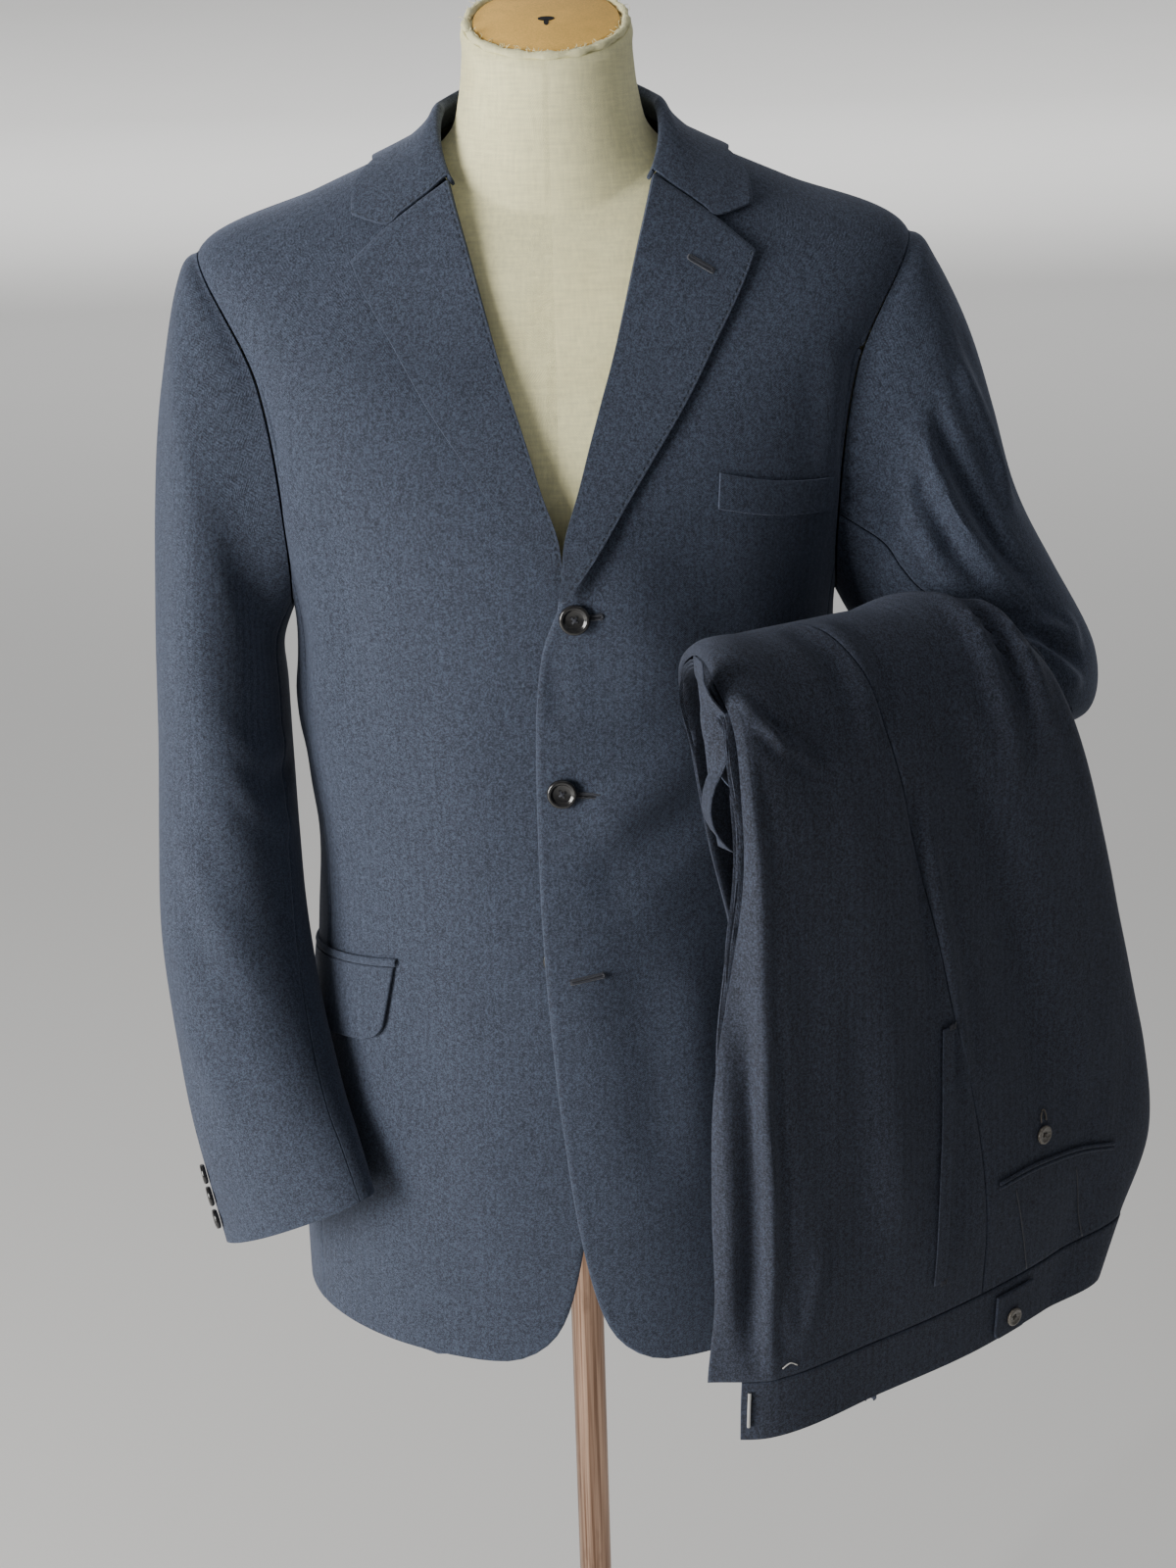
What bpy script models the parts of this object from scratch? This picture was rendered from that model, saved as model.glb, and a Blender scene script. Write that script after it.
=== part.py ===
"""A two-piece suit on a limbless dress form: a single-breasted jacket worn by the form, and trousers
folded lengthwise and hung over the bent left forearm of the jacket.

Metres, +Z up, origin on the floor under the pole. +X is the wearer's left, -Y is the wearer's front.
Every cloth panel is a closed wall that is cut from one of three surfaces: the body of the jacket, a
sleeve, or the drape of the trousers. Neighbouring panels stand SEAM_GAP apart.
"""
import math

import bpy
import numpy as np

# ---------------------------------------------------------------- walls
CLOTH = 0.0020            # wall of one panel, cloth and facing together
SEAM_GAP = 0.0003         # air left between two panels at a seam
LAY = 0.0008              # air under a piece that lies on a panel
FLAP_WALL = 0.0020        # pocket flaps, welt, jets and tabs
LAPEL_WALL = 0.0022       # lapel and collar leaf
LAPEL_AIR = 0.0019        # air under a lapel or the collar leaf
OVERLAP_LIFT = 0.0030     # how far the left front stands off the right front where it laps over it
LAPEL_CLEARANCE = 0.0041  # more lift where it also laps over the foot of the right lapel
BUTTON_CLEARANCE = 0.0042 # more lift over the bottom button, which stays unbuttoned

# ---------------------------------------------------------------- body of the jacket
# One row for each ring from the hem to the neck. z_front, z_side and z_back are the ring's heights at
# the front, the side seam and the back; front and back are its depths from the axis of the form.
BODY_COLUMNS = ("z_front", "z_side", "z_back", "half_width", "front", "back", "power")
BODY_RINGS = {
    "hem":        (0.648, 0.652, 0.652, 0.204, 0.142, 0.128, 2.0),
    "skirt":      (0.720, 0.722, 0.722, 0.202, 0.141, 0.129, 2.0),
    "seat":       (0.800, 0.800, 0.800, 0.196, 0.139, 0.125, 2.0),
    "hip":        (0.900, 0.900, 0.900, 0.182, 0.133, 0.112, 2.0),
    "waist":      (1.000, 1.000, 1.000, 0.175, 0.127, 0.098, 2.05),
    "ribs":       (1.085, 1.085, 1.085, 0.183, 0.125, 0.104, 2.1),
    "chest":      (1.165, 1.160, 1.170, 0.181, 0.130, 0.114, 2.15),
    "upper":      (1.235, 1.240, 1.260, 0.196, 0.127, 0.120, 2.2),
    "blade":      (1.290, 1.322, 1.340, 0.213, 0.110, 0.116, 2.15),
    "shoulder":   (1.335, 1.394, 1.402, 0.226, 0.088, 0.094, 2.05),
    "collarbone": (1.380, 1.429, 1.444, 0.150, 0.080, 0.080, 2.0),
    "neck":       (1.418, 1.458, 1.478, 0.079, 0.070, 0.066, 2.0),
}
RING_OF = {name: float(index) for index, name in enumerate(BODY_RINGS)}

# ---------------------------------------------------------------- armhole: degrees of turn, and rings
ARMHOLE_TURN = 91.0       # turn of its middle, measured from the front
ARMHOLE_FRONT = 20.0      # degrees to its front edge
ARMHOLE_BACK = 22.0       # degrees to its back edge
ARMHOLE_TOP = RING_OF["shoulder"]
ARMHOLE_BOTTOM = RING_OF["chest"]
FRONT_JOIN = 140.0        # where the front seam meets the armhole, degrees round it from its top
BACK_JOIN = 225.0         # where the back seam meets it
HEM_FRONT_TURN = 74.0     # turn of the front seam at the hem
HEM_BACK_TURN = 120.0     # turn of the back seam at the hem
SHOULDER_TURN = 91.0      # turn of the shoulder seam

# ---------------------------------------------------------------- fronts, seen from the front: x and z
# Edge of the left front from the rounded corner at the hem to the foot of the lapel, then the roll line
# from there to the neck, and the free edge of the lapel. The right side mirrors them.
FRONT_EDGE = ((0.1050, 0.6480), (0.0700, 0.6485), (0.0470, 0.6510), (0.0290, 0.6610), (0.0160, 0.6780),
              (0.0060, 0.7080), (-0.0030, 0.7560), (-0.0100, 0.8150), (-0.0150, 0.8700), (-0.0190, 0.9500),
              (-0.0210, 1.0200), (-0.0203, 1.0900), (-0.0180, 1.1300), (-0.0125, 1.1630),
              (-0.0040, 1.1850))
ROLL_LINE = ((-0.0040, 1.1850), (-0.0008, 1.2060), (0.0022, 1.2300), (0.0110, 1.2560), (0.0190, 1.2827),
             (0.0262, 1.3050), (0.0340, 1.3290), (0.0418, 1.3590), (0.0503, 1.3930), (0.0585, 1.4230),
             (0.0620, 1.4360))
LAPEL_EDGE = ((0.0010, 1.1930), (0.0185, 1.2160), (0.0390, 1.2463), (0.0615, 1.2793), (0.0820, 1.3100),
              (0.0990, 1.3400), (0.1150, 1.3700), (0.1240, 1.3905))
NOTCH = (0.1005, 1.4100)          # where lapel and collar part
COLLAR_CORNER = (0.1225, 1.4160)  # corner of the collar leaf
COLLAR_FALL_RING = 10.48          # ring that the collar leaf reaches from the shoulders to the back
COLLAR_STAND = 0.022              # height of the stand above the neck seam
COLLAR_LEAN = 0.010               # how far the stand leans in

BUTTON_RADIUS = 0.0098
BUTTON_THICK = 0.0038
CUFF_BUTTON_RADIUS = 0.0072
TROUSER_BUTTON_RADIUS = 0.0066
FRONT_BUTTONS = {"top": (0.0066, 1.1810), "middle": (-0.0045, 1.0640), "bottom": (-0.0110, 0.9490)}

# ---------------------------------------------------------------- pockets, x and z on the wearer's left
FLAP_FRONT_TURN = 51.0    # front end of a flap
FLAP_BACK_TURN = 98.0     # back end of a flap
FLAP_TOP_FRONT = 0.9330   # height of the flap's seam at its front end
FLAP_TOP_BACK = 0.9080    # and at its back end
FLAP_DEPTH = 0.0550
FLAP_SLANT = 3.5          # degrees of turn that the free edge lies behind the seam
JET_HEIGHT = 0.0060
WELT_FRONT = (0.0965, 1.2420)
WELT_BACK = (0.1700, 1.2290)
WELT_HEIGHT = 0.0215

# ---------------------------------------------------------------- sleeves, x outward from the axis
# One row for each ring below the armhole: its outer point, its inner point, its half width across
# them, and the direction of that half width, forward at the shoulder.
SLEEVE_COLUMNS = ("outer_x", "outer_y", "outer_z", "inner_x", "inner_y", "inner_z", "half_fore",
                  "fore_x", "fore_y", "fore_z")
RIGHT_SLEEVE = {
    "cap":      (0.2430, 0.002, 1.370, 0.1905, 0.000, 1.132, 0.066, 0.0, -1.0, 0.0),
    "head":     (0.2575, 0.000, 1.305, 0.1905, 0.000, 1.095, 0.071, 0.0, -1.0, 0.0),
    "biceps":   (0.2665, -0.003, 1.232, 0.1900, -0.005, 1.062, 0.072, 0.0, -1.0, 0.0),
    "arm":      (0.2722, -0.010, 1.155, 0.1885, -0.015, 1.035, 0.069, 0.0, -1.0, 0.0),
    "above":    (0.2762, -0.018, 1.080, 0.1870, -0.027, 1.003, 0.062, 0.0, -1.0, 0.05),
    "elbow":    (0.2805, -0.028, 1.010, 0.1850, -0.040, 0.962, 0.055, 0.0, -1.0, 0.1),
    "below":    (0.2820, -0.038, 0.945, 0.1805, -0.056, 0.922, 0.049, 0.1, -1.0, 0.1),
    "forearm":  (0.2775, -0.048, 0.885, 0.1735, -0.076, 0.882, 0.043, 0.2, -1.0, 0.1),
    "low":      (0.2695, -0.058, 0.822, 0.1630, -0.098, 0.842, 0.037, 0.3, -1.0, 0.1),
    "wrist":    (0.2600, -0.069, 0.770, 0.1520, -0.114, 0.811, 0.031, 0.3, -1.0, 0.1),
    "cuff":     (0.2505, -0.078, 0.719, 0.1420, -0.125, 0.777, 0.026, 0.3, -1.0, 0.1),
}
LEFT_SLEEVE = {
    "cap":      (0.2450, 0.002, 1.374, 0.1910, 0.000, 1.142, 0.065, 0.0, -1.0, 0.0),
    "head":     (0.2660, 0.001, 1.332, 0.2000, -0.001, 1.134, 0.067, 0.0, -1.0, 0.0),
    "biceps":   (0.2835, 0.001, 1.280, 0.2110, -0.006, 1.130, 0.066, 0.0, -1.0, 0.0),
    "arm":      (0.2965, 0.002, 1.228, 0.2230, -0.018, 1.133, 0.062, 0.15, -1.0, 0.0),
    "above":    (0.3180, 0.006, 1.178, 0.2340, -0.034, 1.140, 0.056, 0.35, -0.9, 0.0),
    "elbow":    (0.3490, 0.002, 1.118, 0.2400, -0.052, 1.148, 0.050, 0.50, -0.85, 0.0),
    "below":    (0.3440, -0.022, 1.077, 0.2400, -0.070, 1.154, 0.046, 0.56, -0.83, 0.0),
    "forearm":  (0.3050, -0.048, 1.070, 0.2280, -0.090, 1.158, 0.042, 0.56, -0.83, 0.0),
    "low":      (0.2400, -0.092, 1.071, 0.1950, -0.120, 1.160, 0.040, 0.56, -0.83, 0.0),
    "wrist":    (0.1700, -0.138, 1.073, 0.1500, -0.152, 1.160, 0.038, 0.56, -0.83, 0.0),
    "cuff":     (0.1050, -0.182, 1.078, 0.1000, -0.186, 1.160, 0.037, 0.56, -0.83, 0.0),
}
SLEEVE_FRONT_SEAM = {"left": 118.0, "right": 158.2}   # degrees round the sleeve from its outer line
SLEEVE_BACK_SEAM = 262.0
CUFF_BUTTON_COLUMNS = ("degrees_round", "rings_up", "ring_step")
CUFF_BUTTONS = {
    "left":  (322.0, 0.42, 0.40),
    "right": (22.0, 0.434, 0.29),
}

# ---------------------------------------------------------------- drape of the trousers
# The drape has axes of its own: along (from the free end of the fold to the elbow), out (to the front)
# and up. One row for each level from the waist in front, over the forearm, to the hem behind.
DRAPE_ORIGIN = (0.100, -0.200)
DRAPE_ANGLE = 34.0
UNDER_AIR = 0.0012         # air between the outer leg and the layers under it
DRAPE_COLUMNS = ("up", "out", "crease", "seam", "right", "tuck_left", "tuck_right", "bow", "under", "flank")
DRAPE_ROWS = {
    "waist":     (0.6600, 0.0490, -0.012, 0.166, 0.302, 0.022, 0.026, 0.006, 0.040, 0.034),
    "band seam": (0.7030, 0.0495, -0.010, 0.166, 0.325, 0.022, 0.034, 0.007, 0.041, 0.036),
    "hip":       (0.7600, 0.0505, -0.004, 0.165, 0.352, 0.022, 0.040, 0.009, 0.042, 0.037),
    "seat":      (0.8300, 0.0500, -0.013, 0.157, 0.341, 0.022, 0.036, 0.008, 0.040, 0.029),
    "crotch":    (0.9000, 0.0500, -0.019, 0.139, 0.316, 0.022, 0.030, 0.005, 0.036, 0.021),
    "thigh":     (0.9800, 0.0500, -0.018, 0.119, 0.288, 0.018, 0.022, 0.003, 0.028, 0.012),
    "lower":     (1.0500, 0.0495, -0.019, 0.100, 0.261, 0.010, 0.012, 0.002, 0.017, 0.005),
    "knee":      (1.1050, 0.0470, -0.023, 0.085, 0.237, 0.006, 0.006, 0.001, 0.013, 0.004),
    "rise":      (1.1450, 0.0370, -0.022, 0.075, 0.215, 0.005, 0.005, 0.001, 0.012, 0.004),
    "shoulder":  (1.1700, 0.0180, -0.022, 0.067, 0.193, 0.005, 0.005, 0.001, 0.012, 0.004),
    "crest":     (1.1780, -0.0060, -0.014, 0.063, 0.176, 0.005, 0.005, 0.001, 0.011, 0.004),
    "far side":  (1.1715, -0.0365, -0.003, 0.062, 0.166, 0.005, 0.005, 0.001, 0.010, 0.004),
    "turn down": (1.1475, -0.0625, 0.007, 0.064, 0.163, 0.005, 0.005, 0.001, 0.009, 0.004),
    "behind":    (1.1000, -0.0715, 0.020, 0.070, 0.158, 0.005, 0.005, 0.001, 0.009, 0.004),
    "back knee": (1.0300, -0.0640, 0.028, 0.077, 0.162, 0.006, 0.006, 0.003, 0.011, 0.004),
    "shin":      (0.9500, -0.0540, 0.040, 0.082, 0.162, 0.008, 0.008, 0.006, 0.013, 0.004),
    "calf":      (0.8500, -0.0470, 0.037, 0.084, 0.159, 0.010, 0.010, 0.008, 0.014, 0.004),
    "ankle":     (0.7200, -0.0430, 0.034, 0.080, 0.155, 0.012, 0.012, 0.009, 0.015, 0.004),
    "leg hem":   (0.5760, -0.0410, 0.032, 0.078, 0.151, 0.012, 0.012, 0.009, 0.015, 0.004),
}
DRAPE_OF = {name: float(index) for index, name in enumerate(DRAPE_ROWS)}
DRAPE_FOLD_COLUMNS = ("across_low", "across_high", "level_low", "level_high", "width", "height")
DRAPE_FOLDS = {
    "hollow beside the crease": (1.75, 1.22, 1.1, 7.6, 0.24, -0.0032),
    "swell of the front":       (2.15, 2.20, 1.8, 7.4, 0.42, 0.0030),
    "hollow of the back":       (3.68, 3.72, 2.4, 8.2, 0.24, -0.0036),
    "long fold of the back":    (4.18, 4.08, 1.6, 7.8, 0.25, 0.0042),
}
HEM_SLOPE = 0.075           # rise of the leg hem from its right corner to its left

# ---------------------------------------------------------------- dress form
FORM_BOTTOM = 0.800
FORM_CLEARANCE = {"seat": 0.030, "hip": 0.024, "waist": 0.020, "ribs": 0.018, "chest": 0.014,
                  "upper": 0.010, "blade": 0.005, "shoulder": 0.0026, "collarbone": 0.0024,
                  "neck": 0.0070}
NECK_ROWS = (  # height, half width, half depth, y of the middle, forward lean in degrees
    (1.462, 0.0620, 0.0590, -0.004, 17.0),
    (1.484, 0.0560, 0.0555, -0.005, 18.0),
    (1.504, 0.0535, 0.0540, -0.005, 20.0),
    (1.514, 0.0530, 0.0540, -0.005, 21.0),
    (1.520, 0.0535, 0.0545, -0.005, 21.0),
    (1.525, 0.0520, 0.0530, -0.005, 21.0),
)
NECK_CAP_RADIUS = (0.0455, 0.0465)
NECK_CAP_THICK = 0.0030
POLE_RADIUS = 0.01225
BASE_RADIUS = 0.200
BASE_THICK = 0.030
BASE_EDGE = 0.010

# ---------------------------------------------------------------- small pieces on the trousers
# Places on the drape are (along, up) in metres.
SIDE_TAB = ((3.17, 0.10), (3.63, 0.86))       # stations and levels of its two corners
TAB_BUTTON = (3.40, 0.44)
HIP_JET_LINE = ((0.1740, 0.7850), (0.2050, 0.7860), (0.2350, 0.7830), (0.2650, 0.7780), (0.2960, 0.7700))
HIP_JET_HEIGHT = 0.0032
HIP_BUTTON = (0.2200, 0.8060)
POCKET_EDGE_LINE = ((0.1270, 0.7300), (0.1290, 0.7900), (0.1310, 0.8500), (0.1330, 0.9140))
POCKET_EDGE_WIDTH = 0.0100
BAR_EYE_LEVELS = (0.35, 0.88)
BAR_EYE_RADIUS = 0.0012


# ================================================================ curves and tables
def through_rows(rows, place):
    """Read a table of rows at a fractional row number, on a smooth curve through the rows."""
    rows = np.asarray(rows, float)
    last = len(rows) - 1
    place = np.clip(np.asarray(place, float), 0.0, last)
    low = np.minimum(place.astype(int), last - 1)
    t = (place - low)[..., None]
    before = rows[np.maximum(low - 1, 0)]
    start = rows[low]
    end = rows[low + 1]
    after = rows[np.minimum(low + 2, last)]
    pull_start = (end - before) * 0.5
    pull_end = (after - start) * 0.5
    cube = t * t * t
    square = t * t
    return ((2 * cube - 3 * square + 1) * start + (cube - 2 * square + t) * pull_start
            + (3 * square - 2 * cube) * end + (cube - square) * pull_end)


def along(points, count, smooth=True, start=0.0, end=1.0):
    """Place a number of points at even spacing along a curve through the given points."""
    points = np.asarray(points, float)
    fine = through_rows(points, np.linspace(0, len(points) - 1, 24 * len(points))) if smooth else points
    steps = np.linalg.norm(np.diff(fine, axis=0), axis=1)
    length = np.concatenate(([0.0], np.cumsum(steps)))
    wanted = np.linspace(start, end, count) * length[-1]
    return np.stack([np.interp(wanted, length, fine[:, k]) for k in range(fine.shape[1])], axis=1)


def ease(value, low, high):
    """Rise smoothly from 0 at low to 1 at high."""
    t = np.clip((np.asarray(value, float) - low) / (high - low), 0.0, 1.0)
    return t * t * (3.0 - 2.0 * t)


def unit(vectors):
    vectors = np.asarray(vectors, float)
    return vectors / np.maximum(np.linalg.norm(vectors, axis=-1, keepdims=True), 1e-12)


def fill_between(bottom, top, left, right):
    """Fill four border curves with a net of points (rows run from bottom to top)."""
    rows, columns = len(left), len(bottom)
    v = np.linspace(0, 1, rows)[:, None, None]
    u = np.linspace(0, 1, columns)[None, :, None]
    across = (1 - u) * left[:, None, :] + u * right[:, None, :]
    upward = (1 - v) * bottom[None, :, :] + v * top[None, :, :]
    corners = ((1 - u) * (1 - v) * bottom[0] + u * (1 - v) * bottom[-1]
               + (1 - u) * v * top[0] + u * v * top[-1])
    return across + upward - corners


# ================================================================ the three surfaces
BODY_TABLE = np.array(list(BODY_RINGS.values()))
DRAPE_TABLE = np.array(list(DRAPE_ROWS.values()))
DRAPE_ALONG = np.array([math.cos(math.radians(DRAPE_ANGLE)), math.sin(math.radians(DRAPE_ANGLE)), 0.0])
DRAPE_OUT = np.array([DRAPE_ALONG[1], -DRAPE_ALONG[0], 0.0])
UP = np.array([0.0, 0.0, 1.0])


def body_point(turn, ring):
    """A point of the jacket's outer face: turn in degrees from the front, ring along BODY_RINGS."""
    turn, ring = np.broadcast_arrays(np.asarray(turn, float), np.asarray(ring, float))
    row = through_rows(BODY_TABLE, ring)
    angle = np.radians(turn)
    sine, cosine = np.abs(np.sin(angle)), np.abs(np.cos(angle))
    depth = np.where(np.cos(angle) > 0, row[..., 4], row[..., 5])
    power = row[..., 6]
    reach = ((sine / row[..., 3]) ** power + (cosine / depth) ** power) ** (-1.0 / power)
    side = (sine * reach / row[..., 3]) ** 2
    height = np.where(np.cos(angle) > 0, row[..., 0], row[..., 2])
    z = height + (row[..., 1] - height) * side
    return np.stack([reach * np.sin(angle), -reach * np.cos(angle), z], axis=-1)


def surface_normals(surface, first, second, step_first, step_second):
    """Outward normals of a surface, from small steps along its two parameters."""
    along_first = surface(first + step_first, second) - surface(first - step_first, second)
    along_second = surface(first, second + step_second) - surface(first, second - step_second)
    return unit(np.cross(along_first, along_second))


def body_normal(turn, ring):
    ring = np.clip(ring, 0.002, len(BODY_TABLE) - 1.002)
    return surface_normals(body_point, np.asarray(turn, float), ring, 0.2, 0.002)


def body_spot(points):
    """Turn and ring of the body's front face at places given by x and z."""
    points = np.asarray(points, float)
    turn = np.degrees(np.arctan2(points[:, 0], 0.12))
    ring = np.interp(points[:, 1], BODY_TABLE[:, 0], np.arange(len(BODY_TABLE)))
    for _ in range(60):
        here = body_point(turn, ring)
        miss = points - here[:, (0, 2)]
        step = np.where(ring > 1.0, -0.001, 0.001)
        by_turn = (body_point(turn + 0.1, ring) - here)[:, (0, 2)] / 0.1
        by_ring = (body_point(turn, ring + step) - here)[:, (0, 2)] / step[:, None]
        area = by_turn[:, 0] * by_ring[:, 1] - by_turn[:, 1] * by_ring[:, 0]
        area = np.where(np.abs(area) < 1e-9, 1e-9, area)
        turn = turn + 0.7 * np.clip((miss[:, 0] * by_ring[:, 1] - miss[:, 1] * by_ring[:, 0]) / area, -8, 8)
        ring = ring + 0.7 * np.clip((by_turn[:, 0] * miss[:, 1] - by_turn[:, 1] * miss[:, 0]) / area, -1, 1)
        ring = np.clip(ring, 0.0, len(BODY_TABLE) - 1.0)
    return np.stack([turn, ring], axis=1)


def armhole_spot(angle):
    """Turn and ring round the armhole: 0 degrees at its top, 90 at the front, 180 under the arm."""
    angle = np.radians(np.asarray(angle, float))
    reach = np.where(np.sin(angle) > 0, ARMHOLE_FRONT, ARMHOLE_BACK)
    middle = (ARMHOLE_TOP + ARMHOLE_BOTTOM) / 2
    half = (ARMHOLE_TOP - ARMHOLE_BOTTOM) / 2
    turn = ARMHOLE_TURN - reach * np.sin(angle) * (1.0 - 0.16 * np.cos(angle))
    return np.stack([turn, middle + half * np.cos(angle)], axis=-1)


# ================================================================ solids
def link(name, vertices, faces, material):
    """Make one smooth-shaded object from a list of points and faces."""
    mesh = bpy.data.meshes.new(name)
    mesh.from_pydata([tuple(float(value) for value in vertex) for vertex in vertices], [], faces)
    mesh.materials.append(material)
    mesh.validate()
    mesh.shade_smooth()
    body = bpy.data.objects.new(name, mesh)
    bpy.context.collection.objects.link(body)
    mesh.set_sharp_from_angle(angle=math.radians(50))
    return body


def wall(name, outer, normals, thickness, material, gaps=(0, 0, 0, 0)):
    """A closed wall under a net of outer points; gaps draw in its bottom, top, left and right edge."""
    outer = np.array(outer, float)
    bottom, top, left, right = gaps
    draw_in = ((0, 1, bottom, 0), (-1, -2, top, 0), (0, 1, left, 1), (-1, -2, right, 1))
    for edge, inner_row, gap, axis in draw_in:
        if gap:
            edge_points = outer[edge] if axis == 0 else outer[:, edge]
            next_points = outer[inner_row] if axis == 0 else outer[:, inner_row]
            edge_points += unit(next_points - edge_points) * gap
    inner = outer - normals * thickness
    rows, columns = outer.shape[:2]
    count = rows * columns
    vertices = np.concatenate([outer.reshape(-1, 3), inner.reshape(-1, 3)])
    faces = []
    for r in range(rows - 1):
        for c in range(columns - 1):
            a = r * columns + c
            b, d, e = a + 1, a + columns, a + columns + 1
            faces.append((a, b, e, d))
            faces.append((a + count, d + count, e + count, b + count))
    rim = [c for c in range(columns)]
    rim += [r * columns + columns - 1 for r in range(1, rows)]
    rim += [(rows - 1) * columns + c for c in range(columns - 2, -1, -1)]
    rim += [r * columns for r in range(rows - 2, 0, -1)]
    for first, second in zip(rim, rim[1:] + rim[:1]):
        faces.append((first, first + count, second + count, second))
    return link(name, vertices, faces, material)


def turned(name, profile, material, sides=32, squash=1.0, centre=(0.0, 0.0)):
    """A closed solid turned round a vertical axis from its profile of radius and height."""
    vertices, faces = [], []
    rings = []
    for radius, z in profile:
        if radius < 1e-6:
            rings.append([len(vertices)])
            vertices.append((centre[0], centre[1], z))
            continue
        rings.append(list(range(len(vertices), len(vertices) + sides)))
        for k in range(sides):
            angle = 2 * math.pi * k / sides
            vertices.append((centre[0] + radius * math.cos(angle),
                             centre[1] + radius * squash * math.sin(angle), z))
    for low, high in zip(rings, rings[1:]):
        for k in range(sides):
            n = (k + 1) % sides
            if len(low) == 1:
                faces.append((low[0], high[n], high[k]))
            elif len(high) == 1:
                faces.append((low[k], low[n], high[0]))
            else:
                faces.append((low[k], low[n], high[n], high[k]))
    return link(name, vertices, faces, material)


def stack(name, rings, material, close_bottom=True, close_top=True):
    """A closed solid through rings of equal point counts, each ring anticlockwise seen from above."""
    rings = [np.asarray(ring, float) for ring in rings]
    sides = len(rings[0])
    vertices = np.concatenate(rings)
    faces = []
    for level in range(len(rings) - 1):
        low, high = level * sides, (level + 1) * sides
        for k in range(sides):
            n = (k + 1) % sides
            faces.append((low + k, low + n, high + n, high + k))
    if close_bottom:
        faces.append(tuple(range(sides - 1, -1, -1)))
    if close_top:
        start = (len(rings) - 1) * sides
        faces.append(tuple(range(start, start + sides)))
    return link(name, vertices, faces, material)


def material(name, colour, roughness, metallic=0.0):
    """A Principled material with the colour of the piece."""
    made = bpy.data.materials.new(name)
    made.use_nodes = True
    shader = made.node_tree.nodes["Principled BSDF"]
    shader.inputs["Base Color"].default_value = (*colour, 1.0)
    shader.inputs["Roughness"].default_value = roughness
    shader.inputs["Metallic"].default_value = metallic
    made.diffuse_color = (*colour, 1.0)
    return made


def armhole_point(angle):
    turn, ring = armhole_spot(angle)[..., 0], armhole_spot(angle)[..., 1]
    return body_point(turn, ring)


def sleeve_table(rows):
    """Rings of a sleeve as centres and two half axes, at full size."""
    rows = np.array(list(rows.values()))
    outer, inner = rows[:, 0:3], rows[:, 3:6]
    centre = (outer + inner) / 2
    side = (outer - inner) / 2
    fore = rows[:, 7:10]
    fore = fore - side * (np.sum(fore * side, axis=1) / np.sum(side * side, axis=1))[:, None]
    return centre, side, unit(fore) * rows[:, 6:7]


def sleeve_point(rows, angle, place):
    """A point of a sleeve's outer face: degrees round it from its outer line, place along its rings.

    Place 0 is the armhole and place 1 the first ring of the table.
    """
    angle, place = np.broadcast_arrays(np.asarray(angle, float), np.asarray(place, float))
    centre, side, fore = sleeve_table(rows)
    cosine = np.cos(np.radians(angle))[..., None]
    sine = np.sin(np.radians(angle))[..., None]
    loop = armhole_point(angle)
    rings = [loop]
    for index in range(len(centre)):
        rings.append(centre[index] + side[index] * cosine + fore[index] * sine)
    rings = np.stack(rings)
    last = len(rings) - 1
    low = np.clip(place.astype(int), 0, last - 1)
    t = (np.clip(place, 0, last) - low)[..., None]
    pick = lambda number: np.take_along_axis(rings, np.clip(number, 0, last)[None, ..., None], axis=0)[0]
    before, start, end, after = pick(low - 1), pick(low), pick(low + 1), pick(low + 2)
    pull_start, pull_end = (end - before) * 0.5, (after - start) * 0.5
    pull_start = np.where((low == 0)[..., None], (end - start) * 0.9, pull_start)
    cube, square = t ** 3, t ** 2
    return ((2 * cube - 3 * square + 1) * start + (cube - 2 * square + t) * pull_start
            + (3 * square - 2 * cube) * end + (cube - square) * pull_end)


def sleeve_normal(rows, angle, place):
    place = np.clip(place, 0.01, len(rows) - 0.01)
    surface = lambda first, second: sleeve_point(rows, first, second)
    return surface_normals(surface, np.asarray(angle, float), place, 1.0, 0.01)


def drape_path(level):
    """Row of the drape at a level, and the outward direction of the path as (out, up)."""
    row = through_rows(DRAPE_TABLE, level)
    step = 0.02
    last = len(DRAPE_TABLE) - 1
    ahead = through_rows(DRAPE_TABLE, np.clip(level + step, 0, last))
    back = through_rows(DRAPE_TABLE, np.clip(level - step, 0, last))
    rise = unit(np.stack([ahead[..., 1] - back[..., 1], ahead[..., 0] - back[..., 0]], axis=-1))
    return row, np.stack([rise[..., 1], -rise[..., 0]], axis=-1)


def drape_place(row, out, along_it, depth, level):
    """World point of the drape from its place along the fold and its depth under the outer face."""
    out_place = row[..., 1] - depth * out[..., 0]
    up_place = row[..., 0] - depth * out[..., 1]
    from_left = np.clip((along_it - row[..., 2]) / np.maximum(row[..., 4] - row[..., 2], 1e-6), 0, 1)
    up_place = up_place + HEM_SLOPE * ease(level, DRAPE_OF["ankle"], DRAPE_OF["leg hem"]) * (1 - from_left)
    return (np.array([DRAPE_ORIGIN[0], DRAPE_ORIGIN[1], 0.0]) + along_it[..., None] * DRAPE_ALONG
            + out_place[..., None] * DRAPE_OUT + up_place[..., None] * UP)


def drape_relief(across, level):
    """Height of the main folds over the drape's smooth face."""
    total = np.zeros(np.broadcast(across, level).shape)
    for across_low, across_high, level_low, level_high, width, height in DRAPE_FOLDS.values():
        share = np.clip((level - level_low) / (level_high - level_low), 0.0, 1.0)
        middle = across_low + (across_high - across_low) * share
        fade = ease(share, 0.0, 0.3) * (1.0 - ease(share, 0.7, 1.0))
        total += height * fade * np.exp(-((across - middle) / width) ** 2)
    return total


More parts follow.
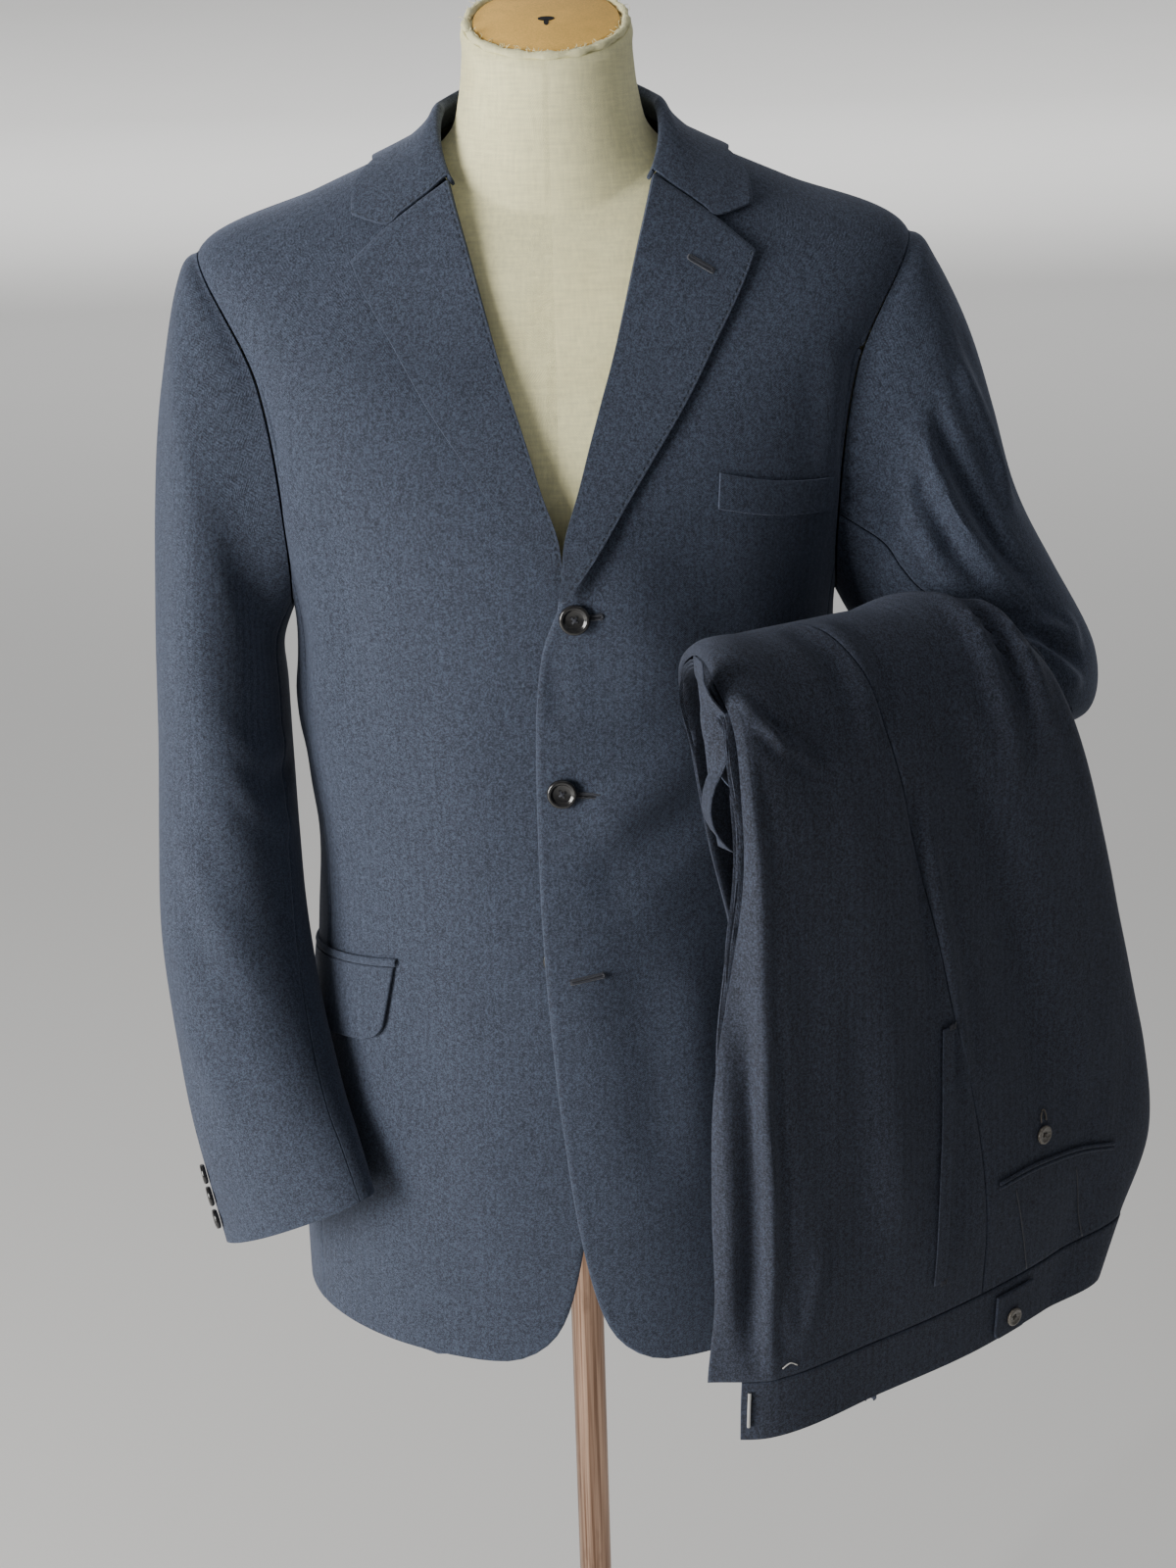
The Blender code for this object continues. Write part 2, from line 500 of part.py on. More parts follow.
def drape_point(across, level, inward=0.0):
    """A point of the drape's outer face: across runs 0 to 6, from the left tuck over the crease (1), the
    side seam (3) and the right edge (5) to the right tuck (6)."""
    across, level = np.broadcast_arrays(np.asarray(across, float), np.asarray(level, float))
    row, out = drape_path(level)
    crease, seam, right = row[..., 2], row[..., 3], row[..., 4]
    left_depth, right_depth, bow = row[..., 5], row[..., 6], row[..., 7]
    stations = np.stack([
        np.stack([crease - row[..., 9], left_depth], axis=-1),
        np.stack([crease, 0.0 * crease], axis=-1),
        np.stack([(crease + seam) / 2, -bow], axis=-1),
        np.stack([seam, -bow], axis=-1),
        np.stack([(seam + right) / 2, -0.4 * bow + 0.15 * right_depth], axis=-1),
        np.stack([right, 0.62 * right_depth], axis=-1),
        np.stack([right - 0.35 * right_depth, right_depth], axis=-1)])
    last = len(stations) - 1
    low = np.clip(across.astype(int), 0, last - 1)
    t = (across - low)[..., None]
    pick = lambda number: np.take_along_axis(stations, np.clip(number, 0, last)[None, ..., None], axis=0)[0]
    before, start, end, after = pick(low - 1), pick(low), pick(low + 1), pick(low + 2)
    chord = np.linalg.norm(end - start, axis=-1, keepdims=True)
    pull_start = unit(unit(end - start) + unit(start - before)) * chord * 0.9
    pull_end = unit(unit(end - start) + unit(after - end)) * chord * 0.9
    pull_start = np.where((low == 0)[..., None], end - start, pull_start)
    pull_end = np.where((low == last - 1)[..., None], end - start, pull_end)
    cube, square = t ** 3, t ** 2
    spot = ((2 * cube - 3 * square + 1) * start + (cube - 2 * square + t) * pull_start
            + (3 * square - 2 * cube) * end + (cube - square) * pull_end)
    depth = spot[..., 1] + inward - drape_relief(across, level) * (1.0 - ease(inward, 0.002, 0.006))
    return drape_place(row, out, spot[..., 0], depth, level)


def drape_normal(across, level):
    level = np.clip(level, 0.03, len(DRAPE_TABLE) - 1.03)
    across = np.clip(across, 0.03, 5.97)
    return surface_normals(drape_point, np.asarray(across, float), level, 0.02, 0.02)


def drape_spot(points):
    """Station and level of the drape's front face at places given by (along, up)."""
    points = np.asarray(points, float)
    flat = lambda spot: np.stack([spot @ DRAPE_ALONG - np.dot(DRAPE_ALONG[:2], DRAPE_ORIGIN), spot[..., 2]],
                                 axis=-1)
    level = np.interp(points[:, 1], DRAPE_TABLE[:9, 0], np.arange(9))
    row = through_rows(DRAPE_TABLE, level)
    across = 1.0 + 2.0 * (points[:, 0] - row[:, 2]) / (row[:, 3] - row[:, 2])
    beyond = 3.0 + 2.0 * (points[:, 0] - row[:, 3]) / (row[:, 4] - row[:, 3])
    across = np.clip(np.where(across > 3.0, beyond, across), 0.5, 5.5)
    for _ in range(40):
        here = flat(drape_point(across, level))
        miss = points - here
        by_across = (flat(drape_point(across + 0.01, level)) - here) / 0.01
        by_level = (flat(drape_point(across, level + 0.01)) - here) / 0.01
        area = by_across[:, 0] * by_level[:, 1] - by_across[:, 1] * by_level[:, 0]
        area = np.where(np.abs(area) < 1e-9, 1e-9, area)
        across = across + 0.7 * np.clip((miss[:, 0] * by_level[:, 1] - miss[:, 1] * by_level[:, 0]) / area,
                                        -0.4, 0.4)
        level = level + 0.7 * np.clip((by_across[:, 0] * miss[:, 1] - by_across[:, 1] * miss[:, 0]) / area,
                                      -0.4, 0.4)
        across, level = np.clip(across, 0.05, 5.95), np.clip(level, 0.0, 9.0)
    return np.stack([across, level], axis=1)


# ================================================================ dress form
def ring_of_body(ring, clearance, sides):
    """A ring inside the jacket, anticlockwise seen from above."""
    turn = np.arange(sides) * 360.0 / sides
    level = np.full(sides, float(ring))
    return body_point(turn, level) - body_normal(turn, level) * (CLOTH + clearance)


def neck_ring(height, half_width, half_depth, middle_y, lean, sides):
    angle = np.radians(np.arange(sides) * 360.0 / sides)
    y = -half_depth * np.cos(angle)
    return np.stack([half_width * np.sin(angle),
                     middle_y + y * math.cos(math.radians(lean)),
                     height + y * math.sin(math.radians(lean))], axis=1)


def make_form(linen, card, metal, iron):
    sides = 28
    names = list(FORM_CLEARANCE)
    clearance = np.array([[value] for value in FORM_CLEARANCE.values()])
    levels = np.linspace(0, len(names) - 1, 17)
    rings = []
    for level in levels:
        ring = ring_of_body(RING_OF["seat"] + level, through_rows(clearance, level)[0], sides)
        rings.append(ring)
    rings[0][:, 2] = FORM_BOTTOM
    for row in NECK_ROWS:
        rings.append(neck_ring(*row, sides))
    stack("form_torso", rings, linen)

    top = NECK_ROWS[-1]
    cap_rings = []
    for rise, shrink in ((SEAM_GAP, 1.0), (NECK_CAP_THICK, 1.0), (NECK_CAP_THICK + 0.0004, 0.985)):
        ring = neck_ring(top[0], NECK_CAP_RADIUS[0] * shrink, NECK_CAP_RADIUS[1] * shrink,
                         top[3], top[4], sides)
        lean = math.radians(top[4])
        cap_rings.append(ring + np.array([0.0, -math.sin(lean), math.cos(lean)]) * rise)
    stack("form_neck_cap", cap_rings, card)

    pole_bottom = BASE_THICK + SEAM_GAP
    pole_top = FORM_BOTTOM - SEAM_GAP
    turned("form_pole", ((0.0, pole_bottom), (POLE_RADIUS, pole_bottom), (POLE_RADIUS, pole_top),
                         (0.0, pole_top)), metal, sides=20)
    turned("form_base", ((0.0, 0.0), (BASE_RADIUS, 0.0), (BASE_RADIUS, BASE_EDGE),
                         (BASE_RADIUS * 0.96, BASE_EDGE + 0.005), (BASE_RADIUS * 0.5, BASE_THICK - 0.006),
                         (0.030, BASE_THICK), (0.0, BASE_THICK)), iron, sides=32)


# ================================================================ jacket
def front_lift(x, z, is_left):
    """How far a front stands off the body; the left front clears the right one that it covers."""
    if not is_left:
        return np.zeros_like(x)
    near_edge = 1.0 - ease(x, 0.035, 0.105)
    near_lapel = ease(z, 1.150, 1.180) * (1.0 - ease(z, 1.215, 1.260)) * (1.0 - ease(x, 0.010, 0.070))
    button_x, button_z = FRONT_BUTTONS["bottom"]
    from_button = np.hypot(x - button_x, 0.8 * (z - button_z))
    over_button = BUTTON_CLEARANCE * (1.0 - ease(from_button, 0.012, 0.060))
    return (OVERLAP_LIFT * near_edge * (1.0 - ease(z, 1.225, 1.300)) + LAPEL_CLEARANCE * near_lapel
            + over_button)


def lifted(spots, lift):
    """Points and normals over the body at spots of turn and ring, moved out by lift."""
    normals = body_normal(spots[..., 0], spots[..., 1])
    return body_point(spots[..., 0], spots[..., 1]) + normals * np.asarray(lift)[..., None], normals


def to_side(points, normals, is_left):
    """Mirror a net that was made on the wearer's left to the right, and keep it facing out."""
    if is_left:
        return points, normals
    flip = np.array([-1.0, 1.0, 1.0])
    return (points * flip)[:, ::-1], (normals * flip)[:, ::-1]


def body_panel(name, spots, lift, is_left, cloth, gaps=None):
    gap = SEAM_GAP / 2
    gaps = gaps or (0, gap, gap, gap)
    points, normals = lifted(spots, lift)
    points, normals = to_side(points, normals, is_left)
    if not is_left:
        gaps = (gaps[0], gaps[1], gaps[3], gaps[2])
    return wall(name, points, normals, CLOTH, cloth, gaps)


def seam_curve(hem_turn, join_angle, join_to, count_seam, count_hole):
    """Turn and ring along a seam from the hem to the armhole and on round the armhole."""
    join = armhole_spot(join_angle)
    seam = np.stack([np.linspace(hem_turn, join[0], count_seam), np.linspace(0, join[1], count_seam)], axis=1)
    angles = np.linspace(join_angle, join_to, count_hole)[1:]
    return np.concatenate([seam, armhole_spot(angles)])


FRONT_ROWS_SEAM, FRONT_ROWS_HOLE = 15, 9
BACK_ROWS_HOLE = 9


def front_spots(columns=9):
    """Net of the front panel in turn and ring: rows from hem to shoulder, columns from edge to side."""
    rows = FRONT_ROWS_SEAM + FRONT_ROWS_HOLE - 1
    neck_rows = 4
    edge = along(FRONT_EDGE, FRONT_ROWS_SEAM - 4)
    roll = along(ROLL_LINE, rows - len(edge) - neck_rows + 1)[1:]
    inner = body_spot(np.concatenate([edge, roll]))
    neck_point = np.array([SHOULDER_TURN, RING_OF["neck"]])
    neckline = [inner[-1] + (neck_point - inner[-1]) * share for share in np.linspace(0, 1, neck_rows + 1)[1:]]
    inner = np.concatenate([inner, neckline])
    outer = seam_curve(HEM_FRONT_TURN, FRONT_JOIN, 0.0, FRONT_ROWS_SEAM, FRONT_ROWS_HOLE)
    hem = along((inner[0], (inner[0] + outer[0]) / 2, outer[0]), columns)
    hem[:, 1] = np.interp(np.linspace(0, 1, columns), (0, 1), (inner[0][1], outer[0][1]))
    shoulder = np.linspace(inner[-1], outer[-1], columns)
    return fill_between(hem, shoulder, inner, outer)


def back_spots(columns=8):
    """Net of the back panel: columns from the side seam to the centre back, rows from the hem up."""
    outer = seam_curve(HEM_BACK_TURN, BACK_JOIN, 360.0, FRONT_ROWS_SEAM, BACK_ROWS_HOLE)
    rows = len(outer)
    neck_rows = 5
    centre = np.stack([np.full(rows - neck_rows, 180.0),
                       np.linspace(0, RING_OF["neck"], rows - neck_rows)], axis=1)
    neckline = np.stack([np.linspace(180.0, SHOULDER_TURN, neck_rows + 1)[1:],
                         np.full(neck_rows, RING_OF["neck"])], axis=1)
    centre = np.concatenate([centre, neckline])
    hem = np.linspace(outer[0], centre[0], columns)
    shoulder = np.linspace(outer[-1], centre[-1], columns)
    return fill_between(hem, shoulder, outer, centre)


def side_spots(columns=5):
    """Net of the side body: from the hem to the lower part of the armhole."""
    front = seam_curve(HEM_FRONT_TURN, FRONT_JOIN, FRONT_JOIN, FRONT_ROWS_SEAM, 1)
    back = seam_curve(HEM_BACK_TURN, BACK_JOIN, BACK_JOIN, FRONT_ROWS_SEAM, 1)
    hem = np.linspace(front[0], back[0], columns)
    hole = armhole_spot(np.linspace(FRONT_JOIN, BACK_JOIN, columns))
    return fill_between(hem, hole, front, back)


def make_body(cloth):
    for side, is_left in (("left", True), ("right", False)):
        spots = front_spots()
        points = body_point(spots[..., 0], spots[..., 1])
        lift = front_lift(points[..., 0], points[..., 2], is_left)
        gap = SEAM_GAP / 2
        body_panel("jacket_front_" + side, spots, lift, is_left, cloth, (0, gap, gap, gap))
        spots = side_spots()
        body_panel("jacket_side_" + side, spots, np.zeros(spots.shape[:2]), is_left, cloth)
        spots = back_spots()
        body_panel("jacket_back_" + side, spots, np.zeros(spots.shape[:2]), is_left, cloth)


# ---------------------------------------------------------------- lapels and collar
def lapel_lift(z, is_left, x):
    """Height of a lapel's outer face over the body: it rests on its front and swells at its foot."""
    swell = 0.0046 * (1.0 - ease(z, 1.195, 1.255)) if is_left else 0.0
    return front_lift(x, z, is_left) + LAPEL_AIR + LAPEL_WALL + swell


def make_lapels(cloth):
    columns, rows = 7, 13
    for side, is_left in (("left", True), ("right", False)):
        roll = along(ROLL_LINE, rows, start=0.035)
        edge = along(LAPEL_EDGE, rows)
        gorge = along((roll[-1], (roll[-1] + NOTCH) / 2 + (0.0, 0.0006), NOTCH,
                       np.array((NOTCH, LAPEL_EDGE[-1])).mean(axis=0), LAPEL_EDGE[-1]), columns)
        foot = np.linspace(roll[0], edge[0], columns)
        net = fill_between(foot, gorge, roll, edge)
        shape = net.shape[:2]
        spots = body_spot(net.reshape(-1, 2)).reshape(*shape, 2)
        lift = lapel_lift(net[..., 1], is_left, net[..., 0])
        curl = np.linspace(0, 1, columns)[None, :]
        fold = unit(net[:, 1] - net[:, 0])
        points, normals = lifted(spots, lift)
        inward = unit(points[:, 0] - points[:, 1])
        points[:, 0] = points[:, 1] + inward * np.minimum(np.linalg.norm(points[:, 0] - points[:, 1],
                                                                         axis=1), 1.0)[:, None]
        points, normals = to_side(points, normals, is_left)
        wall("jacket_lapel_" + side, points, normals, LAPEL_WALL, cloth, (0, SEAM_GAP, 0, 0))


def collar_section(turn):
    """Collar at a turn beyond the shoulder, from the stand over the fold to the edge of its leaf: the
    places on the body (turn and ring) and how far each point stands off them."""
    neck = body_point(turn, RING_OF["neck"])
    radial = unit(neck * np.array([1.0, 1.0, 0.0]))
    rise = COLLAR_STAND * (1.0 - 0.12 * abs(math.cos(math.radians(turn))))
    lean = COLLAR_LEAN * (0.85 + 0.15 * math.sin(math.radians(turn)))
    fold = UP * rise - radial * lean
    offsets = [UP * 0.0006 - radial * 0.0027,
               UP * 0.45 * rise - radial * (0.5 * lean + 0.0030),
               fold - radial * 0.0032 - UP * 0.0050,
               fold,
               fold + radial * 0.0038 - UP * 0.0030,
               fold + radial * 0.0085 - UP * 0.0105]
    spots = [(turn, RING_OF["neck"])] * len(offsets)
    for share, extra in ((0.30, 0.0014), (0.65, 0.0004), (1.0, 0.0)):
        ring = RING_OF["neck"] + (COLLAR_FALL_RING - RING_OF["neck"]) * share
        spots.append((turn, ring))
        offsets.append(body_normal(turn, ring) * (LAPEL_AIR + LAPEL_WALL + extra))
    return np.array(spots), np.array(offsets)


def collar_end():
    """Collar along its front end, in the same way: the fold, the gorge seam, the notch and the corner."""
    start = np.array(ROLL_LINE[-1])
    notch, corner = np.array(NOTCH), np.array(COLLAR_CORNER)
    places = [start + (-0.0026, 0.0002), start + (-0.0026, 0.0008), start + (-0.0014, 0.0014),
              start + (0.0010, 0.0018), start + (notch - start) * 0.28 + (0, 0.0012),
              start + (notch - start) * 0.52 + (0, 0.0012), start + (notch - start) * 0.78 + (0, 0.0010),
              notch + (0.0004, 0.0008), corner]
    spots = body_spot(np.array(places))
    leaf = LAPEL_AIR + LAPEL_WALL
    depth = np.array([-0.0030, -0.0004, 0.0022, 0.0037, leaf, leaf, leaf, leaf, leaf])
    return spots, body_normal(spots[:, 0], spots[:, 1]) * depth[:, None]


def collar_net(steps=8):
    """Net of the whole collar: columns run round the neck from the left end to the right end."""
    full_from = 84.0
    end_spots, end_offsets = collar_end()
    whole_spots, whole_offsets = collar_section(full_from)
    columns = []
    for share in np.linspace(0, 1, 6)[:-1]:
        blend = ease(share, 0.0, 1.0) * 0.35 + share * 0.65
        spots = end_spots * (1 - blend) + whole_spots * blend
        offsets = end_offsets * (1 - blend) + whole_offsets * blend
        columns.append(body_point(spots[:, 0], spots[:, 1]) + offsets)
    for turn in np.linspace(full_from, 180.0, steps):
        spots, offsets = collar_section(turn)
        columns.append(body_point(spots[:, 0], spots[:, 1]) + offsets)
    half = np.stack(columns, axis=1)
    other = half[:, :-1][:, ::-1] * np.array([-1.0, 1.0, 1.0])
    return np.concatenate([half, other], axis=1)


def net_normals(net):
    """Outward normals of a net of points, from its own rows and columns."""
    down = np.gradient(net, axis=0)
    over = np.gradient(net, axis=1)
    return unit(np.cross(over, down))


def make_collar(cloth):
    net = collar_net()
    normals = -net_normals(net)
    middle = np.array([0.0, 0.0, 1.40])
    if np.mean(np.sum(normals[-1] * (net[-1] - middle), axis=-1)) < 0:
        normals = -normals
    wall("jacket_collar", net[::-1], normals[::-1], LAPEL_WALL, cloth)


# ---------------------------------------------------------------- sleeves
def make_sleeves(cloth):
    for side, rows, is_left in (("left", LEFT_SLEEVE, True), ("right", RIGHT_SLEEVE, False)):
        levels = np.concatenate([np.linspace(0.03, 1.0, 4), np.linspace(1, len(rows), 17)[1:]])
        front_seam = SLEEVE_FRONT_SEAM[side]
        parts = {"top": (SLEEVE_BACK_SEAM - 360.0, front_seam), "under": (front_seam, SLEEVE_BACK_SEAM)}
        for part, (start, end) in parts.items():
            count = round((end - start) / 20.0) + 1
            angle, place = np.meshgrid(np.linspace(start + 0.45, end - 0.45, count), levels)
            points = sleeve_point(rows, angle % 360.0, place)
            normals = sleeve_normal(rows, angle % 360.0, place)
            points = points[::-1, ::-1]
            normals = normals[::-1, ::-1]
            points, normals = to_side(points, normals, is_left)
            wall("jacket_sleeve_%s_%s" % (side, part), points, normals, CLOTH, cloth, (0, SEAM_GAP, 0, 0))


# ---------------------------------------------------------------- pockets of the jacket
def ring_at(turn, height):
    """Ring of the body at a height, for each turn."""
    rings = np.linspace(0, RING_OF["upper"], 200)
    turn, height = np.broadcast_arrays(np.asarray(turn, float), np.asarray(height, float))
    found = np.empty(turn.shape)
    for index in np.ndindex(turn.shape):
        found[index] = np.interp(height[index], body_point(turn[index], rings)[:, 2], rings)
    return found


def make_pockets(cloth):
    columns, rows = 9, 4
    across = np.linspace(0, 1, columns)[None, :]
    down = np.linspace(1, 0, rows)[:, None]
    top = FLAP_TOP_FRONT + (FLAP_TOP_BACK - FLAP_TOP_FRONT) * across
    rounding = 0.007 * (1 - ease(across, 0.0, 0.10)) * down
    for side, is_left in (("left", True), ("right", False)):
        turn = FLAP_FRONT_TURN + (FLAP_BACK_TURN - FLAP_FRONT_TURN) * across + FLAP_SLANT * down * (1 - across)
        height = top - FLAP_DEPTH * down + rounding
        spots = np.stack([turn, ring_at(turn, height)], axis=-1)
        x = body_point(spots[..., 0], spots[..., 1])[..., 0]
        lift = front_lift(x, height, is_left) + LAY + FLAP_WALL + 0.0010 * down
        points, normals = lifted(spots, lift)
        points, normals = to_side(points, normals, is_left)
        wall("jacket_flap_" + side, points, normals, FLAP_WALL, cloth, (0, 0, 0, 0))

        turn = FLAP_FRONT_TURN - 0.6 + (FLAP_BACK_TURN + 0.6 - FLAP_FRONT_TURN) * across
        edge = np.array([0.0, 1.0])[:, None]
        height = top + 0.0006 + JET_HEIGHT * edge
        turn = turn + 0.0 * edge
        spots = np.stack([turn, ring_at(turn, height)], axis=-1)
        x = body_point(spots[..., 0], spots[..., 1])[..., 0]
        points, normals = lifted(spots, front_lift(x, height, is_left) + LAY + 0.0013)
        points, normals = to_side(points, normals, is_left)
        wall("jacket_jet_" + side, points, normals, 0.0013, cloth, (0, 0, 0, 0))

    foot = np.linspace(WELT_FRONT, WELT_BACK, 9)
    foot[:, 1] -= 0.0020 * np.sin(np.linspace(0, math.pi, 9))
    rise = np.linspace(0, 1, 3)[:, None, None]
    net = foot[None] + rise * np.array([0.0015, WELT_HEIGHT])
    spots = body_spot(net.reshape(-1, 2)).reshape(3, 9, 2)
    points, normals = lifted(spots, LAY + FLAP_WALL + front_lift(net[..., 0], net[..., 1], True))
    wall("jacket_breast_welt", points, normals, FLAP_WALL, cloth, (0, 0, 0, 0))


# ---------------------------------------------------------------- buttons
def button_profile(radius, thick):
    """Half section of a button with a raised rim, from its back to the middle of its face."""
    return ((0.0, 0.0), (radius * 0.80, 0.0), (radius, thick * 0.35), (radius * 0.99, thick * 0.75),
            (radius * 0.90, thick), (radius * 0.72, thick * 0.92), (radius * 0.62, thick * 0.66),
            (0.0, thick * 0.58))


def make_button(name, place, facing, radius, thick, horn):
    """A turned button whose back lies at place and whose face looks along facing."""
    body = turned(name, button_profile(radius, thick), horn, sides=12)
    facing = unit(facing)
    side = unit(np.cross(UP if abs(facing[2]) < 0.9 else np.array([0.0, 1.0, 0.0]), facing))
    up = np.cross(facing, side)
    turn = np.stack([side, up, facing], axis=1)
    for vertex in body.data.vertices:
        vertex.co = tuple(turn @ np.array(vertex.co))
    body.location = tuple(place)
    return body


def make_jacket_buttons(horn):
    for name, (x, z) in FRONT_BUTTONS.items():
        spot = body_spot([(x, z)])[0]
        normal = body_normal(spot[0], spot[1])
        covered = name == "bottom"
        lift = SEAM_GAP if covered else float(front_lift(np.array(x), np.array(z), True)) + SEAM_GAP + 0.0002
        place = body_point(spot[0], spot[1]) + normal * lift
        make_button("jacket_button_" + name, place, normal, BUTTON_RADIUS, BUTTON_THICK, horn)
    for side, rows, is_left in (("left", LEFT_SLEEVE, True), ("right", RIGHT_SLEEVE, False)):
        angle, rings_up, ring_step = CUFF_BUTTONS[side]
        for number in range(3):
            place = len(rows) - rings_up - ring_step * number
            point = sleeve_point(rows, angle, place)
            normal = sleeve_normal(rows, angle, place)
            if not is_left:
                point, normal = point * (-1, 1, 1), normal * (-1, 1, 1)
            make_button("jacket_cuff_button_%s_%d" % (side, number + 1), point + normal * 0.0006, normal,
                        CUFF_BUTTON_RADIUS, 0.0034, horn)


# ================================================================ trousers
def drape_patch(name, across, levels, cloth, out=0.0, thickness=CLOTH, gaps=(0, 0, 0, 0)):
    """A wall of the drape over ranges of across and level, moved out from it."""
    over, level = np.meshgrid(across, levels)
    normals = drape_normal(over, level)
    points = drape_point(over, level) + normals * out
    return wall(name, points, normals, thickness, cloth, gaps)


LEVELS_OF_LEG = np.concatenate([np.linspace(1.0, 5.0, 7), np.linspace(5.0, 13.0, 15)[1:],
                                np.linspace(13.0, 18.0, 6)[1:]])
FRONT_STATIONS = np.array([0.0, 0.35, 0.7, 1.0, 1.25, 1.5, 1.8, 2.2, 2.6, 3.0])
BACK_STATIONS = np.array([3.0, 3.35, 3.7, 4.1, 4.5, 5.0, 5.5, 6.0])
UNDER_STATIONS = np.array([1.5, 1.8, 2.2, 2.6, 3.0, 3.35, 3.7, 4.1, 4.45])


# Left ends of the hidden layers: how deep each point lies between the tuck and the back, and how far it
# stands out past the crease. Where the side strip of the front covers them they draw back behind it.
LAYER_COLUMNS = ("share", "reach")
LAYERS = ((0.00, -0.0030), (0.08, 0.0050), (0.24, 0.0062), (0.34, 0.0000), (0.42, 0.0040), (0.58, 0.0055),
          (0.68, -0.0005), (0.78, 0.0060), (0.92, 0.0050))
LAYER_INSET = 0.0100      # how far the outermost layer stays inside the strip's edge
LAYER_LEAN = 0.81         # how much further for each unit of depth behind it


def layer_end(level, depth, tuck_left, flank):
    """How far past the crease the layers end at a depth under the outer face."""
    shown = float(ease(level, 0.9, 1.1))
    cover = flank * (0.5 + 0.5 * shown)
    cover_depth = tuck_left * (0.35 + 0.65 * shown)
    open_end = 0.7 * (flank - 0.004)
    covered_end = min(open_end, cover - LAYER_INSET - LAYER_LEAN * (depth - cover_depth))
    return open_end + (covered_end - open_end) * float(ease(flank, 0.006, 0.025))


def under_ring(level):
    """Closed ring of the hidden layers at a level: it follows the drape, and is layered at its left."""
    row, out = drape_path(np.array(float(level)))
    crease, tuck_left, thick, flank = float(row[2]), float(row[5]), float(row[8]), float(row[9])
    skin = CLOTH + UNDER_AIR
    level = np.array(float(level))
    levels = np.full(UNDER_STATIONS.shape, level)
    face = drape_point(UNDER_STATIONS, levels) - drape_normal(UNDER_STATIONS, levels) * skin
    back = drape_point(UNDER_STATIONS, levels, skin + thick)
    place = lambda along_it, depth: drape_place(row, out, np.array(along_it), np.array(depth), level)
    start = tuck_left + 0.0022
    end = skin + thick
    left = [place(crease + skin + 0.0010, skin + 0.0022), place(crease + skin, 0.92 * tuck_left + 0.001)]
    for share, reach in LAYERS:
        depth = start + (end - start) * share
        left.append(place(crease - layer_end(level, depth, tuck_left, flank) - reach, depth))
    bulge = DRAPE_ALONG * 0.30 * thick
    right = [face[-1] * (1 - share) + back[-1] * share + bulge * amount
             for share, amount in ((0.2, 0.55), (0.5, 0.8), (0.8, 0.55))]
    return np.concatenate([face, np.array(right), back[::-1], np.array(left)[::-1]])


def make_trousers(cloth, horn, metal):
    gap = SEAM_GAP / 2
    band_top = DRAPE_OF["band seam"]
    drape_patch("trouser_right_front", FRONT_STATIONS, LEVELS_OF_LEG, cloth, gaps=(gap, 0, 0, gap))
    drape_patch("trouser_right_back", BACK_STATIONS, LEVELS_OF_LEG, cloth, gaps=(gap, 0, gap, 0))
    rings = [under_ring(level) for level in LEVELS_OF_LEG]
    rings[0] = rings[0] + UP * gap
    stack("trouser_left_leg", rings, cloth)
    band_levels = np.linspace(0.0, band_top, 3)
    rings = [under_ring(level) for level in band_levels]
    rings[-1] = rings[-1] - UP * gap
    stack("trouser_waistband_left", rings, cloth)
    across = np.concatenate([[0.5, 0.75], FRONT_STATIONS[3:], BACK_STATIONS[1:]])
    drape_patch("trouser_waistband_right", across, band_levels, cloth, out=0.0005, thickness=0.0025,
                gaps=(0, gap, 0, 0))
    make_trouser_details(cloth, horn, metal)


def spot_patch(name, spots, out, thickness, cloth):
    """A wall over a net of stations and levels, with its outer face lifted off the drape by out."""
    normals = drape_normal(spots[..., 0], spots[..., 1])
    points = drape_point(spots[..., 0], spots[..., 1]) + normals * out
    return wall(name, points, normals, thickness, cloth)


def line_patch(name, line, shift, count, out, thickness, cloth):
    """A narrow strip beside a line of (along, up) points: shift moves its two long edges."""
    line = along(line, count)
    near, far = (line + np.array(move) for move in shift)
    spots = np.stack([drape_spot(near), drape_spot(far)])
    spot_patch(name, spots, out, thickness, cloth)


